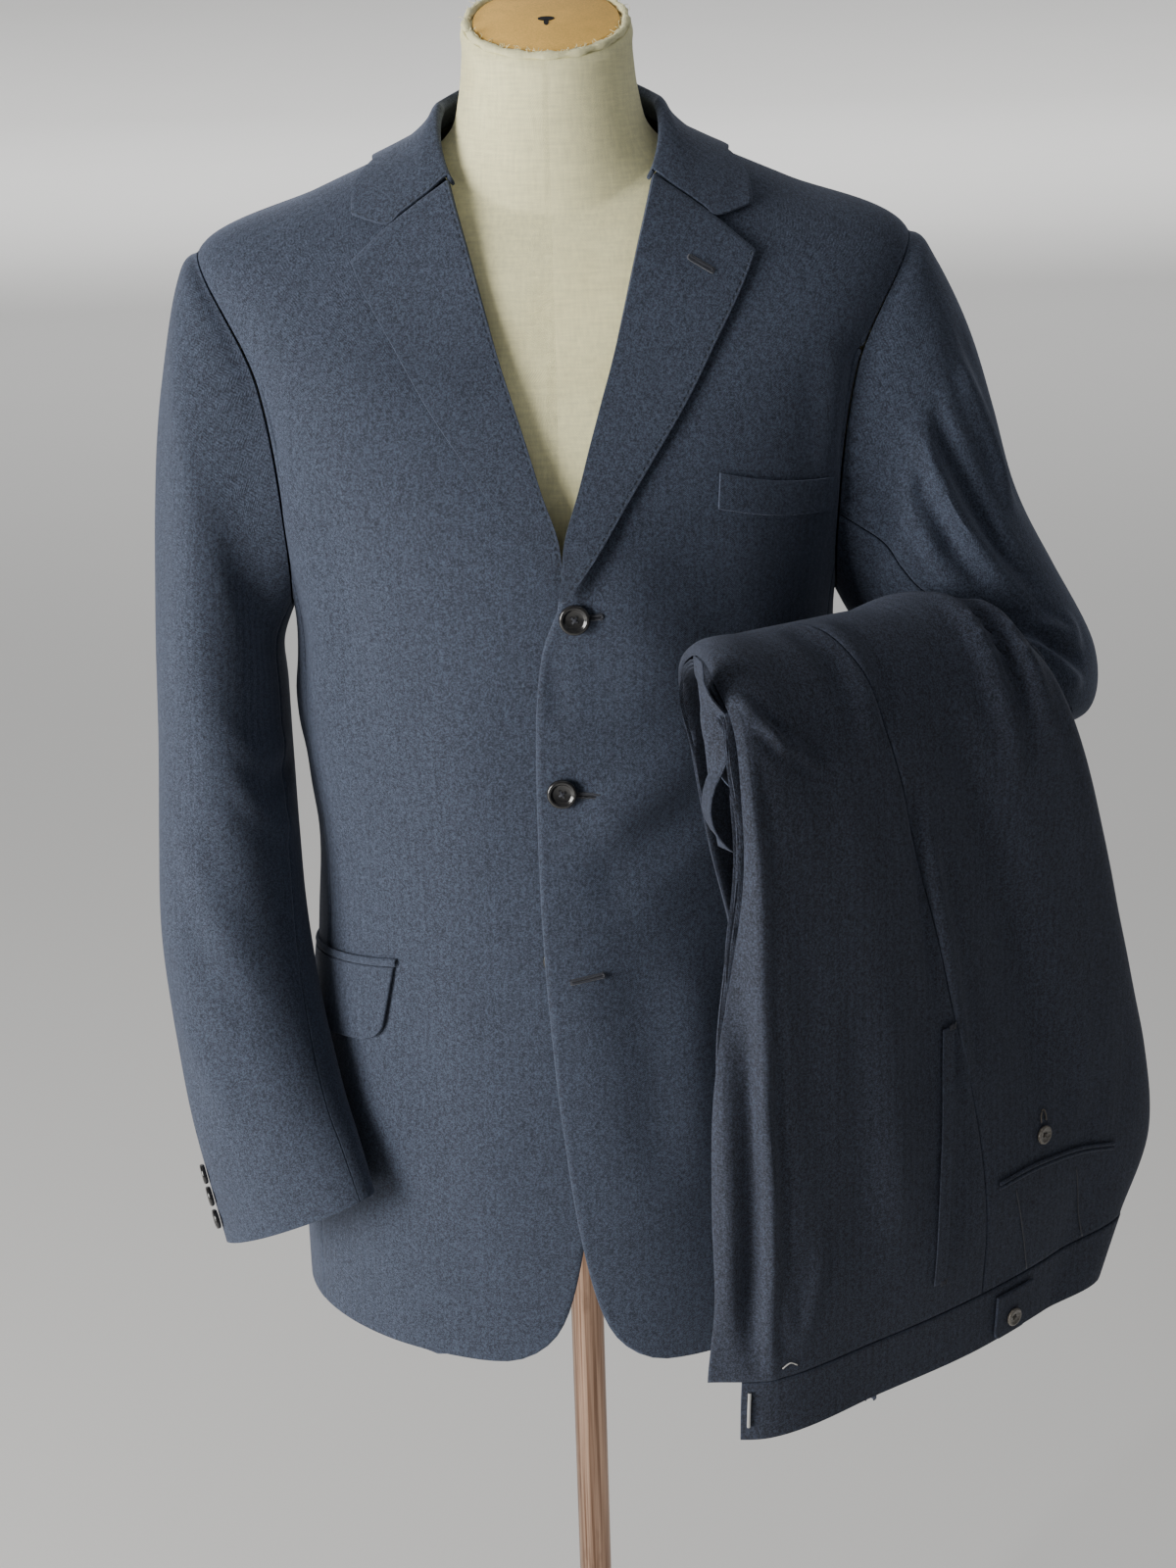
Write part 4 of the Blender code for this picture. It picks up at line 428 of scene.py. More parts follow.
def drape_path(level):
    """Row of the drape at a level, and the outward direction of the path as (out, up)."""
    row = through_rows(DRAPE_TABLE, level)
    step = 0.02
    last = len(DRAPE_TABLE) - 1
    ahead = through_rows(DRAPE_TABLE, np.clip(level + step, 0, last))
    back = through_rows(DRAPE_TABLE, np.clip(level - step, 0, last))
    rise = unit(np.stack([ahead[..., 1] - back[..., 1], ahead[..., 0] - back[..., 0]], axis=-1))
    return row, np.stack([rise[..., 1], -rise[..., 0]], axis=-1)


def drape_world(along_it, out, up):
    """World point from its place along the fold, how far out it lies and its height."""
    return (DRAPE_START + along_it[..., None] * DRAPE_ALONG + out[..., None] * DRAPE_OUT
            + up[..., None] * UP)


def fold_place(points):
    """How far along the fold world points lie."""
    return points @ DRAPE_ALONG - np.dot(DRAPE_ALONG[:2], DRAPE_ORIGIN)


def drape_place(row, out, along_it, depth, level):
    """World point of the drape from its place along the fold and its depth under the outer face."""
    up = row[..., 0] - depth * out[..., 1]
    from_left = np.clip((along_it - row[..., 2]) / np.maximum(row[..., 4] - row[..., 2], 1e-6), 0, 1)
    up = up + HEM_SLOPE * ease(level, DRAPE_OF["ankle"], DRAPE_OF["leg hem"]) * (1 - from_left)
    return drape_world(along_it, row[..., 1] - depth * out[..., 0], up)


def drape_relief(across, level):
    """Height of the main folds over the drape's smooth face."""
    total = np.zeros(np.broadcast(across, level).shape)
    for across_low, across_high, level_low, level_high, width, height in DRAPE_FOLDS.values():
        share = np.clip((level - level_low) / (level_high - level_low), 0.0, 1.0)
        middle = across_low + (across_high - across_low) * share
        fade = ease(share, 0.0, 0.3) * (1.0 - ease(share, 0.7, 1.0))
        total += height * fade * np.exp(-((across - middle) / width) ** 2)
    return total


def drape_point(across, level, inward=0.0):
    """A point of the drape's outer face: across runs 0 to 6, from the left tuck over the crease (1), the
    side seam (3) and the right edge (5) to the right tuck (6)."""
    across, level = np.broadcast_arrays(np.asarray(across, float), np.asarray(level, float))
    row, out = drape_path(level)
    crease, seam, right = row[..., 2], row[..., 3], row[..., 4]
    left_depth, right_depth, bow = row[..., 5], row[..., 6], row[..., 7]
    stations = np.stack([np.stack(pair, axis=-1) for pair in (
        (crease - row[..., 9], left_depth), (crease, 0.0 * crease), ((crease + seam) / 2, -bow),
        (seam, -bow), ((seam + right) / 2, -0.4 * bow + 0.15 * right_depth),
        (right, 0.62 * right_depth), (right - 0.35 * right_depth, right_depth))])
    low, t, (before, start, end, after) = step_of(stations, across)
    step = end - start
    chord = np.linalg.norm(step, axis=-1, keepdims=True)
    pull_start = np.where(low == 0, step, unit(unit(step) + unit(start - before)) * chord * 0.9)
    pull_end = np.where(low == len(stations) - 2, step,
                        unit(unit(step) + unit(after - end)) * chord * 0.9)
    spot = cubic(t, start, end, pull_start, pull_end)
    depth = spot[..., 1] + inward - drape_relief(across, level) * (1.0 - ease(inward, 0.002, 0.006))
    return drape_place(row, out, spot[..., 0], depth, level)


def drape_normal(across, level):
    level = np.clip(level, 0.03, len(DRAPE_TABLE) - 1.03)
    across = np.clip(across, 0.03, 5.97)
    return surface_normals(drape_point, np.asarray(across, float), level, 0.02, 0.02)


def drape_frame(across, level):
    """A place on the drape and the direction that it faces."""
    return drape_point(across, level), drape_normal(across, level)


def drape_spot(points):
    """Station and level of the drape's front face at places given by (along, up)."""
    points = np.asarray(points, float)
    flat = lambda spot: np.stack([fold_place(spot), spot[..., 2]], axis=-1)
    level = np.interp(points[:, 1], DRAPE_TABLE[:9, 0], np.arange(9))
    row = through_rows(DRAPE_TABLE, level)
    across = 1.0 + 2.0 * (points[:, 0] - row[:, 2]) / (row[:, 3] - row[:, 2])
    beyond = 3.0 + 2.0 * (points[:, 0] - row[:, 3]) / (row[:, 4] - row[:, 3])
    across = np.clip(np.where(across > 3.0, beyond, across), 0.5, 5.5)
    for _ in range(40):
        here = flat(drape_point(across, level))
        by_across = (flat(drape_point(across + 0.01, level)) - here) / 0.01
        by_level = (flat(drape_point(across, level + 0.01)) - here) / 0.01
        add_across, add_level = newton_step(points - here, by_across, by_level)
        across = np.clip(across + NEWTON_SHARE * np.clip(add_across, -0.4, 0.4), 0.05, 5.95)
        level = np.clip(level + NEWTON_SHARE * np.clip(add_level, -0.4, 0.4), 0.0, 9.0)
    return np.stack([across, level], axis=1)


def front_lift(x, z, is_left):
    """How far a front stands off the body; the left front clears the right one that it covers."""
    if not is_left:
        return np.zeros_like(x)
    near_edge = 1.0 - ease(x, 0.035, 0.105)
    near_lapel = ease(z, 1.150, 1.180) * (1.0 - ease(z, 1.215, 1.260)) * (1.0 - ease(x, 0.010, 0.070))
    button_x, button_z = FRONT_BUTTONS["bottom"]
    from_button = np.hypot(x - button_x, 0.8 * (z - button_z))
    over_button = BUTTON_CLEARANCE * (1.0 - ease(from_button, 0.012, 0.060))
    return (OVERLAP_LIFT * near_edge * (1.0 - ease(z, 1.225, 1.300)) + LAPEL_CLEARANCE * near_lapel
            + over_button)


def lifted(spots, lift):
    """Points and normals over the body at spots of turn and ring, moved out by lift."""
    normals = body_normal(spots[..., 0], spots[..., 1])
    return on_body(spots) + normals * np.asarray(lift)[..., None], normals


def to_side(points, normals, is_left):
    """Mirror a net that was made on the wearer's left to the right, and keep it facing out."""
    if is_left:
        return points, normals
    return (points * MIRROR)[:, ::-1], (normals * MIRROR)[:, ::-1]


def lapel_lift(z, is_left, x):
    """Height of a lapel's outer face over the body: it rests on its front and swells at its foot."""
    swell = 0.0046 * (1.0 - ease(z, 1.195, 1.255)) if is_left else 0.0
    return front_lift(x, z, is_left) + LAPEL_AIR + LAPEL_WALL + swell


def collar_section(turn):
    """Collar at a turn beyond the shoulder, from the stand over the fold to the edge of its leaf: the
    places on the body (turn and ring) and how far each point stands off them."""
    neck = body_point(turn, RING_OF["neck"])
    radial = unit(neck * np.array([1.0, 1.0, 0.0]))
    rise = COLLAR_STAND * (1.0 - 0.12 * abs(math.cos(math.radians(turn))))
    lean = COLLAR_LEAN * (0.85 + 0.15 * math.sin(math.radians(turn)))
    fold = UP * rise - radial * lean
    offsets = [UP * 0.0006 - radial * 0.0027,
               UP * 0.45 * rise - radial * (0.5 * lean + 0.0030),
               fold - radial * 0.0032 - UP * 0.0050,
               fold,
               fold + radial * 0.0038 - UP * 0.0030,
               fold + radial * 0.0085 - UP * 0.0105]
    spots = [(turn, RING_OF["neck"])] * len(offsets)
    for share, extra in ((0.30, 0.0014), (0.65, 0.0004), (1.0, 0.0)):
        ring = RING_OF["neck"] + (COLLAR_FALL_RING - RING_OF["neck"]) * share
        spots.append((turn, ring))
        offsets.append(body_normal(turn, ring) * (LAPEL_AIR + LAPEL_WALL + extra))
    return np.array(spots), np.array(offsets)


def collar_end():
    """Collar along its front end, in the same way: the fold, the gorge seam, the notch and the corner."""
    start = np.array(ROLL_LINE[-1])
    notch, corner = np.array(NOTCH), np.array(COLLAR_CORNER)
    places = [start + (-0.0026, 0.0002), start + (-0.0026, 0.0008), start + (-0.0014, 0.0014),
              start + (0.0010, 0.0018), start + (notch - start) * 0.28 + (0, 0.0012),
              start + (notch - start) * 0.52 + (0, 0.0012), start + (notch - start) * 0.78 + (0, 0.0010),
              notch + (0.0004, 0.0008), corner]
    spots = body_spot(np.array(places))
    leaf = LAPEL_AIR + LAPEL_WALL
    depth = np.array([-0.0030, -0.0004, 0.0022, 0.0037, leaf, leaf, leaf, leaf, leaf])
    return spots, body_normal(spots[:, 0], spots[:, 1]) * depth[:, None]


def ring_at(turn, height):
    """Ring of the body at a height, for each turn."""
    rings = np.linspace(0, RING_OF["upper"], 200)
    turn, height = np.broadcast_arrays(np.asarray(turn, float), np.asarray(height, float))
    found = np.empty(turn.shape)
    for index in np.ndindex(turn.shape):
        found[index] = np.interp(height[index], body_point(turn[index], rings)[:, 2], rings)
    return found


def seam_curve(hem_turn, join_angle, join_to, count_seam, count_hole):
    """Turn and ring along a seam from the hem to the armhole and on round the armhole."""
    join = armhole_spot(join_angle)
    seam = np.linspace((hem_turn, 0.0), join, count_seam)
    angles = np.linspace(join_angle, join_to, count_hole)[1:]
    return np.concatenate([seam, armhole_spot(angles)])


# ================================================================ fine nets of the panels
def front_net(fine, is_left):
    """Spots of a front panel and how far it stands off them; rows run from the hem up, columns from
    the front edge to the side."""
    edge = along(FRONT_EDGE, 10 * fine + 1)
    roll = along(ROLL_LINE, 8 * fine + 1)[1:]
    inner = body_spot(np.concatenate([edge, roll]))
    neck_point = np.array([SHOULDER_TURN, RING_OF["neck"]])
    share = np.linspace(0, 1, 4 * fine + 1)[1:, None]
    inner = np.concatenate([inner, inner[-1] + (neck_point - inner[-1]) * share])
    outer = seam_curve(HEM_FRONT_TURN, FRONT_JOIN, 0.0, 14 * fine + 1, 8 * fine + 1)
    columns = 8 * fine + 1
    hem = inner[0] + (outer[0] - inner[0]) * np.linspace(0, 1, columns)[:, None]
    spots = fill_between(hem, np.linspace(inner[-1], outer[-1], columns), inner, outer)
    points = on_body(spots)
    return spots, front_lift(points[..., 0], points[..., 2], is_left)


def back_net(fine):
    outer = seam_curve(HEM_BACK_TURN, BACK_JOIN, 360.0, 14 * fine + 1, 8 * fine + 1)
    rows, neck_rows = len(outer), 5 * fine
    centre = np.stack([np.full(rows - neck_rows, 180.0),
                       np.linspace(0, RING_OF["neck"], rows - neck_rows)], axis=1)
    neckline = np.stack([np.linspace(180.0, SHOULDER_TURN, neck_rows + 1)[1:],
                         np.full(neck_rows, RING_OF["neck"])], axis=1)
    centre = np.concatenate([centre, neckline])
    columns = 7 * fine + 1
    spots = fill_between(np.linspace(outer[0], centre[0], columns),
                         np.linspace(outer[-1], centre[-1], columns), outer, centre)
    return spots, np.zeros(spots.shape[:2])


def side_net(fine):
    front = seam_curve(HEM_FRONT_TURN, FRONT_JOIN, FRONT_JOIN, 14 * fine + 1, 1)
    back = seam_curve(HEM_BACK_TURN, BACK_JOIN, BACK_JOIN, 14 * fine + 1, 1)
    columns = 4 * fine + 1
    hem = np.linspace(front[0], back[0], columns)
    hole = armhole_spot(np.linspace(FRONT_JOIN, BACK_JOIN, columns))
    spots = fill_between(hem, hole, front, back)
    return spots, np.zeros(spots.shape[:2])


def lapel_net(is_left):
    """Spots of a lapel and how far its face stands off them; rows run up the roll line."""
    rows, columns = LAPEL_NET
    roll = along(ROLL_LINE, rows, start=0.035)
    edge = along(LAPEL_EDGE, rows)
    gorge = along((roll[-1], (roll[-1] + NOTCH) / 2 + (0.0, 0.0006), NOTCH,
                   np.array((NOTCH, LAPEL_EDGE[-1])).mean(axis=0), LAPEL_EDGE[-1]), columns)
    net = fill_between(np.linspace(roll[0], edge[0], columns), gorge, roll, edge)
    spots = body_spot(net.reshape(-1, 2)).reshape(*net.shape[:2], 2)
    return spots, lapel_lift(net[..., 1], is_left, net[..., 0])


def collar_net(per_step):
    """Fine net of the collar: rows run from inside the stand over the fold to the edge of the leaf."""
    end_spots, end_offsets = collar_end()
    whole_spots, whole_offsets = collar_section(COLLAR_FULL_TURN)
    columns = []
    for share in np.linspace(0, 1, 5 * per_step + 1)[:-1]:
        blend = ease(share, 0.0, 1.0) * 0.35 + share * 0.65
        columns.append(on_body(end_spots * (1 - blend) + whole_spots * blend)
                       + (end_offsets * (1 - blend) + whole_offsets * blend))
    for turn in np.linspace(COLLAR_FULL_TURN, 180.0, 7 * per_step + 1):
        spots, offsets = collar_section(turn)
        columns.append(on_body(spots) + offsets)
    half = np.stack(columns, axis=1)
    net = np.concatenate([half, half[:, :-1][:, ::-1] * MIRROR], axis=1)
    places = np.linspace(0, len(net) - 1, (len(net) - 1) * per_step + 1)
    return through_rows(net.reshape(len(net), -1), places).reshape(len(places), -1, 3)


def net_normals(net):
    """Outward normals of a net of points, from its own rows and columns."""
    return unit(np.cross(np.gradient(net, axis=1), np.gradient(net, axis=0)))


def lengths(net, axis):
    """Length run along one axis of a net, from its start."""
    steps = np.linalg.norm(np.diff(net, axis=axis), axis=-1)
    start = np.zeros_like(np.take(steps, [0], axis=axis))
    return np.concatenate([start, np.cumsum(steps, axis=axis)], axis=axis)


# ================================================================ fine cloth
def soft_waves(points, seed, scale, strength):
    """Low uneven waves, the same each run."""
    chance = np.random.default_rng(seed)
    total = np.zeros(points.shape[:-1])
    for octave in range(5):
        way = unit(chance.normal(size=3)) * (2 * math.pi / scale) * (1.0 + 0.55 * octave)
        total += np.sin(points @ way + chance.uniform(0, 6.28)) / (1.0 + 0.6 * octave)
    return strength * total / 2.2


def creased(points, creases):
    """Height of the creases at each point. A crease is (height, width, points of its line); its back is
    rounded, it fades towards both ends, and the cloth beside it dips a little."""
    total = np.zeros(points.shape[:-1])
    for height, width, line in creases:
        line = np.asarray(line, float)
        line = along(line, 5 * len(line))
        best = np.full(points.shape[:-1], 1e9)
        place = np.zeros(points.shape[:-1])
        for number in range(len(line) - 1):
            start, way = line[number], line[number + 1] - line[number]
            t = np.clip(((points - start) @ way) / max(float(way @ way), 1e-12), 0, 1)
            gap = np.linalg.norm(points - (start + t[..., None] * way), axis=-1)
            nearer = gap < best
            best = np.where(nearer, gap, best)
            place = np.where(nearer, (number + t) / (len(line) - 1), place)
        fade = ease(place, 0.0, 0.22) * (1 - ease(place, 0.70, 1.0))
        fade = np.maximum(fade, 0.0)
        ratio = best / width
        total += height * fade * (np.exp(-ratio ** 2) - 0.35 * np.exp(-((ratio - 1.7) / 0.9) ** 2))
    return total


def edged(net, amount):
    """Insert a row or column close to each border, so that the border can be rounded."""
    def insert(block, axis):
        block = np.moveaxis(block, axis, 0)
        first = block[0] + (block[1] - block[0]) * amount
        last = block[-1] + (block[-2] - block[-1]) * amount
        block = np.concatenate([block[:1], first[None], block[1:-1], last[None], block[-1:]])
        return np.moveaxis(block, 0, axis)
    return insert(insert(net, 0), 1)


def new_mesh(name, vertices, faces, *finishes):
    mesh = bpy.data.meshes.new(name)
    mesh.from_pydata(vertices, [], faces)
    for finish in finishes:
        mesh.materials.append(finish)
    mesh.shade_smooth()
    return mesh


def set_grain(mesh, grain, borders):
    """Store each vertex's grain as UV, in metres, and its distance from each border of its panel."""
    corners = np.empty(len(mesh.loops), int)
    mesh.loops.foreach_get("vertex_index", corners)
    mesh.uv_layers.new(name="grain").data.foreach_set("uv", grain[corners].ravel())
    for key, value in zip(BORDERS, borders):
        mesh.attributes.new(key, "FLOAT", "POINT").data.foreach_set("value", value)


def link(name, data):
    """Put a mesh, a light or a camera in the scene as an object."""
    body = bpy.data.objects.new(name, data)
    bpy.context.collection.objects.link(body)
    return body


def add_piece(name, mesh, slot, sharp=False):
    """Put a mesh in the scene as one piece of the part."""
    body = link(name, mesh)
    if sharp:
        mesh.set_sharp_from_angle(angle=math.radians(SHARP_DEGREES))
    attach(body, "root")
    return body


def shell(name, points, grain, finish, thickness=CLOTH, gaps=NO_GAPS, lining=None, slot="jacket_wool",
          normals=None):
    """A closed wall of cloth under a net of outer points, with soft edges. Gaps draw in its bottom,
    top, left and right edge."""
    points = np.array(points, float)
    normals = net_normals(points) if normals is None else normals
    turned = points.swapaxes(0, 1)
    for rows, gap in zip((points, points[::-1], turned, turned[::-1]), gaps):
        if gap:
            rows[0] += unit(rows[1] - rows[0]) * gap
    points, normals, grain = (edged(block, EDGE_SHARE) for block in (points, normals, grain))
    normals = unit(normals)
    dip = np.zeros(points.shape[:2])
    dip[0], dip[-1], dip[:, 0], dip[:, -1] = 1, 1, 1, 1
    outer = points - normals * dip[..., None] * 0.40 * thickness
    inner = points - normals * (1 - 0.22 * dip[..., None]) * thickness
    count = dip.size
    number = np.arange(count).reshape(dip.shape)
    quads = np.stack([number[:-1, :-1], number[:-1, 1:], number[1:, 1:], number[1:, :-1]], axis=-1)
    quads = quads.reshape(-1, 4)
    rim = np.concatenate([number[0], number[1:, -1], number[-1, -2::-1], number[-2:0:-1, 0]])
    ring = np.stack([rim, rim + count, np.roll(rim, -1) + count, np.roll(rim, -1)], axis=-1)
    faces = np.concatenate([quads, quads[:, ::-1] + count, ring])
    vertices = np.concatenate([outer.reshape(-1, 3), inner.reshape(-1, 3)])
    mesh = new_mesh(name, vertices.tolist(), faces.tolist(), finish)
    if lining is not None:
        mesh.materials.append(lining)
        index = np.zeros(len(faces), int)
        index[len(quads):2 * len(quads)] = 1
        mesh.polygons.foreach_set("material_index", index)
    across, upward = lengths(points, 1), lengths(points, 0)
    borders = (upward, upward[-1:] - upward, across, across[:, -1:] - across)
    set_grain(mesh, np.concatenate([grain.reshape(-1, 2)] * 2),
              [np.tile(value.ravel(), 2).astype(np.float32) for value in borders])
    body = add_piece(name, mesh, slot, sharp=True)
    cells = 0.5 * np.linalg.norm(np.cross(points[1:, 1:] - points[:-1, :-1],
                                          points[1:, :-1] - points[:-1, 1:]), axis=-1)
    body["cut"] = (float(across[:, -1].max()), float(upward[-1].max()), float(cells.sum()))
    return body


def state_cut(piece):
    """Work out the cut of a panel, without keeping it: its width is the longest row of its net, its length
    the longest column and its area the sum of its cells."""
    width, length, area = piece["cut"]
    width, length = max(width, LEAST_SIDE), max(length, LEAST_SIDE)
    area = min(max(area, LEAST_AREA_SHARE * width * length), width * length)


def declare(piece):
    """Work out the cut of a panel that stands for a solid of the part, and hide that solid."""
    state_cut(piece)
    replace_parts(piece, piece.name.replace("cloth_", "", 1))


# ================================================================ materials
class Graph:
    """A node tree of one material, written as short calls."""

    def __init__(self, name, roughness, metallic=0.0, sheen=0.0, sheen_tint=(1.0, 1.0, 1.0), coat=0.0):
        self.material = bpy.data.materials.new(name)
        self.material.use_nodes = True
        self.nodes = self.material.node_tree.nodes
        self.links = self.material.node_tree.links
        self.shader = self.nodes["Principled BSDF"]
        for key, value in (("Roughness", roughness), ("Metallic", metallic), ("Sheen Weight", sheen),
                           ("Sheen Roughness", 0.45), ("Sheen Tint", (*sheen_tint, 1.0)),
                           ("Coat Weight", coat), ("Coat Roughness", 0.12)):
            self.shader.inputs[key].default_value = value

    def put(self, socket, value):
        if hasattr(value, "is_output"):
            self.links.new(value, socket)
        else:
            socket.default_value = value

    def math(self, kind, first, second=0.0):
        node = self.nodes.new("ShaderNodeMath")
        node.operation = kind
        for socket, value in zip(node.inputs, (first, second, 0.0)):
            self.put(socket, value)
        return node.outputs[0]

    def times(self, first, second):
        return self.math("MULTIPLY", first, second)

    def plus(self, first, second):
        return self.math("ADD", first, second)

    def minus(self, first, second):
        return self.math("SUBTRACT", first, second)

    def wave(self, value, length):
        return self.math("SINE", self.times(value, 2 * math.pi / length))

    def mix(self, factor, first, second):
        node = self.nodes.new("ShaderNodeMix")
        node.data_type = "RGBA"
        self.put(node.inputs[0], factor)
        for socket, value in ((node.inputs[6], first), (node.inputs[7], second)):
            self.put(socket, (*value, 1.0) if isinstance(value, tuple) and len(value) == 3 else value)
        return node.outputs[2]

    def grain(self):
        node = self.nodes.new("ShaderNodeUVMap")
        node.uv_map = "grain"
        split = self.nodes.new("ShaderNodeSeparateXYZ")
        self.links.new(node.outputs[0], split.inputs[0])
        return split.outputs[0], split.outputs[1]

    def place(self, stretch=(1.0, 1.0, 1.0)):
        node = self.nodes.new("ShaderNodeTexCoord")
        mapping = self.nodes.new("ShaderNodeMapping")
        mapping.inputs["Scale"].default_value = stretch
        self.links.new(node.outputs["Object"], mapping.inputs[0])
        return mapping.outputs[0]

    def noise(self, vector, scale, detail=2.0, rough=0.5):
        node = self.nodes.new("ShaderNodeTexNoise")
        node.inputs["Scale"].default_value = scale
        node.inputs["Detail"].default_value = detail
        node.inputs["Roughness"].default_value = rough
        self.links.new(vector, node.inputs["Vector"])
        return node.outputs[0]

    def band(self, value, low, high):
        """Rise from 0 to 1 between low and high."""
        node = self.nodes.new("ShaderNodeMapRange")
        node.inputs[1].default_value = low
        node.inputs[2].default_value = high
        self.put(node.inputs[0], value)
        return node.outputs[0]

    def attribute(self, name):
        node = self.nodes.new("ShaderNodeAttribute")
        node.attribute_name = name
        return node.outputs["Fac"]

    def bump(self, height, strength, distance, under=None):
        node = self.nodes.new("ShaderNodeBump")
        node.inputs["Strength"].default_value = strength
        node.inputs["Distance"].default_value = distance
        self.put(node.inputs["Height"], height)
        if under is not None:
            self.links.new(under, node.inputs["Normal"])
        return node.outputs[0]

    def finish(self, colour, normal=None, roughness=None):
        self.put(self.shader.inputs["Base Color"], (*colour, 1.0) if isinstance(colour, tuple) else colour)
        if normal is not None:
            self.links.new(normal, self.shader.inputs["Normal"])
        if roughness is not None:
            self.put(self.shader.inputs["Roughness"], roughness)
        return self.material


def shade(colour, share):
    return tuple(channel * share for channel in colour)


def wool(name, dark, light, stripe=0.0033, stitched=(), sheen=0.22, ridge_share=0.05):
    """Worsted wool: mixed light and dark fibres over a fine twill that turns its slant at each stripe."""
    g = Graph(name, 0.86, sheen=sheen, sheen_tint=(0.58, 0.66, 0.90))
    u, v = g.grain()
    turn = g.math("PINGPONG", u, stripe)
    slant = g.wave(g.plus(turn, v), 0.00135)
    across = g.math("ABSOLUTE", g.minus(g.math("FRACT", g.math("DIVIDE", u, 2 * stripe)), 0.5))
    ridge = g.band(across, 0.22, 0.28)
    fibres = g.noise(g.place(), 900.0, 2.0, 0.75)
    yarn = g.noise(g.place((1.0, 1.0, 0.8)), 430.0, 2.0, 0.6)
    patches = g.noise(g.place(), 22.0, 3.0, 0.55)
    tone = g.plus(g.times(g.band(fibres, 0.42, 0.61), 0.66),
                  g.times(g.band(yarn, 0.40, 0.62), 0.26))
    tone = g.plus(tone, g.times(slant, 0.04))
    tone = g.plus(tone, g.times(g.minus(ridge, 0.5), ridge_share))
    tone = g.plus(tone, g.times(g.minus(patches, 0.5), 0.14))
    colour = g.mix(tone, dark, light)
    plum = g.band(g.noise(g.place(), 640.0, 2.0, 0.6), 0.50, 0.68)
    colour = g.mix(g.times(plum, 0.30), colour, (light[0] * 0.62, light[1] * 0.44, light[2] * 0.52))
    border = None
    for key in BORDERS:
        near = g.minus(1.0, g.band(g.attribute(key), 0.0005, 0.0034))
        border = near if border is None else g.math("MAXIMUM", border, near)
    colour = g.mix(g.times(border, 0.12), colour, light)
    stitches = None
    for key, inset in stitched:
        away = g.math("ABSOLUTE", g.minus(g.attribute(key), inset))
        line = g.minus(1.0, g.band(away, 0.0003, 0.0009))
        dash = g.band(g.wave(v, 0.0050), -0.2, 0.3)
        line = g.times(line, dash)
        stitches = line if stitches is None else g.math("MAXIMUM", stitches, line)
    height = g.plus(g.times(slant, 0.30), g.times(fibres, 1.2))
    height = g.plus(height, g.times(yarn, 0.8))
    if stitches is not None:
        # The stitch lines are painted near black: painted shade in the pricks where the stitches sink into
        # the cloth.
        colour = g.mix(g.times(stitches, 0.62), colour, (0.003, 0.004, 0.006))
        height = g.minus(height, g.times(stitches, 2.2))
    normal = g.bump(height, 0.55, 0.00035)
    normal = g.bump(g.noise(g.place(), 75.0, 3.0, 0.5), 0.26, 0.0012, normal)
    return g.finish(colour, normal)


def satin(name, colour):
    """Lining: a smooth dark satin; its soft lengthwise sheen is painted into its colour as lighter streaks.
    """
    g = Graph(name, 0.36, sheen=0.15)
    streaks = g.noise(g.place((1.0, 1.0, 0.05)), 300.0, 2.0, 0.5)
    tone = g.mix(g.band(streaks, 0.3, 0.7), colour, shade(colour, 1.5))
    return g.finish(tone, g.bump(streaks, 0.20, 0.0003))


def linen_cloth(name, tint, thread=0.00095):
    """Plain-woven cover of the form: crossing threads, slubs and a little dust."""
    g = Graph(name, 0.88, sheen=0.25)
    u, v = g.grain()
    warp = g.wave(u, thread)
    weft = g.wave(v, thread)
    slubs = g.noise(g.place((1.0, 1.0, 9.0)), 60.0, 3.0, 0.6)
    slubs_up = g.noise(g.place((7.0, 7.0, 1.0)), 60.0, 3.0, 0.6)
    stains = g.noise(g.place(), 9.0, 4.0, 0.6)
    tone = g.plus(g.times(slubs, 0.5), g.times(slubs_up, 0.5))
    colour = g.mix(g.band(tone, 0.36, 0.64), shade(tint, 0.80), tint)
    colour = g.mix(g.times(g.band(stains, 0.48, 0.72), 0.22), colour,
                   (tint[0] * 0.72, tint[1] * 0.62, tint[2] * 0.46))
    weave = g.times(warp, weft)
    height = g.plus(g.times(weave, 0.5), tone)
    return g.finish(colour, g.bump(height, 0.50, 0.0004))


def board(name, tint):
    """Brown fibre board of the neck cap."""
    g = Graph(name, 0.78)
    flecks = g.noise(g.place(), 900.0, 3.0, 0.65)
    cloud = g.noise(g.place(), 45.0, 3.0, 0.6)
    scuffs = g.noise(g.place((1.0, 6.0, 1.0)), 120.0, 2.0, 0.6)
    colour = g.mix(g.band(flecks, 0.35, 0.65), shade(tint, 0.78), tint)
    colour = g.mix(g.times(g.band(cloud, 0.45, 0.70), 0.35), colour, shade(tint, 1.25))
    colour = g.mix(g.times(g.band(scuffs, 0.66, 0.72), 0.30), colour, shade(tint, 0.5))
    return g.finish(colour, g.bump(flecks, 0.35, 0.0003))


def bronze(name):
    """Coppery bronze tube with streaks drawn along it."""
    g = Graph(name, 0.34, metallic=1.0)
    streaks = g.noise(g.place((1.0, 1.0, 0.012)), 420.0, 3.0, 0.6)
    spots = g.noise(g.place((1.0, 1.0, 0.25)), 70.0, 4.0, 0.6)
    colour = g.mix(g.band(streaks, 0.34, 0.66), (0.20, 0.115, 0.075), (0.56, 0.38, 0.28))
    colour = g.mix(g.times(g.band(spots, 0.55, 0.72), 0.5), colour, (0.12, 0.07, 0.05))
    rough = g.plus(0.26, g.times(streaks, 0.22))
    return g.finish(colour, g.bump(streaks, 0.15, 0.0003), rough)


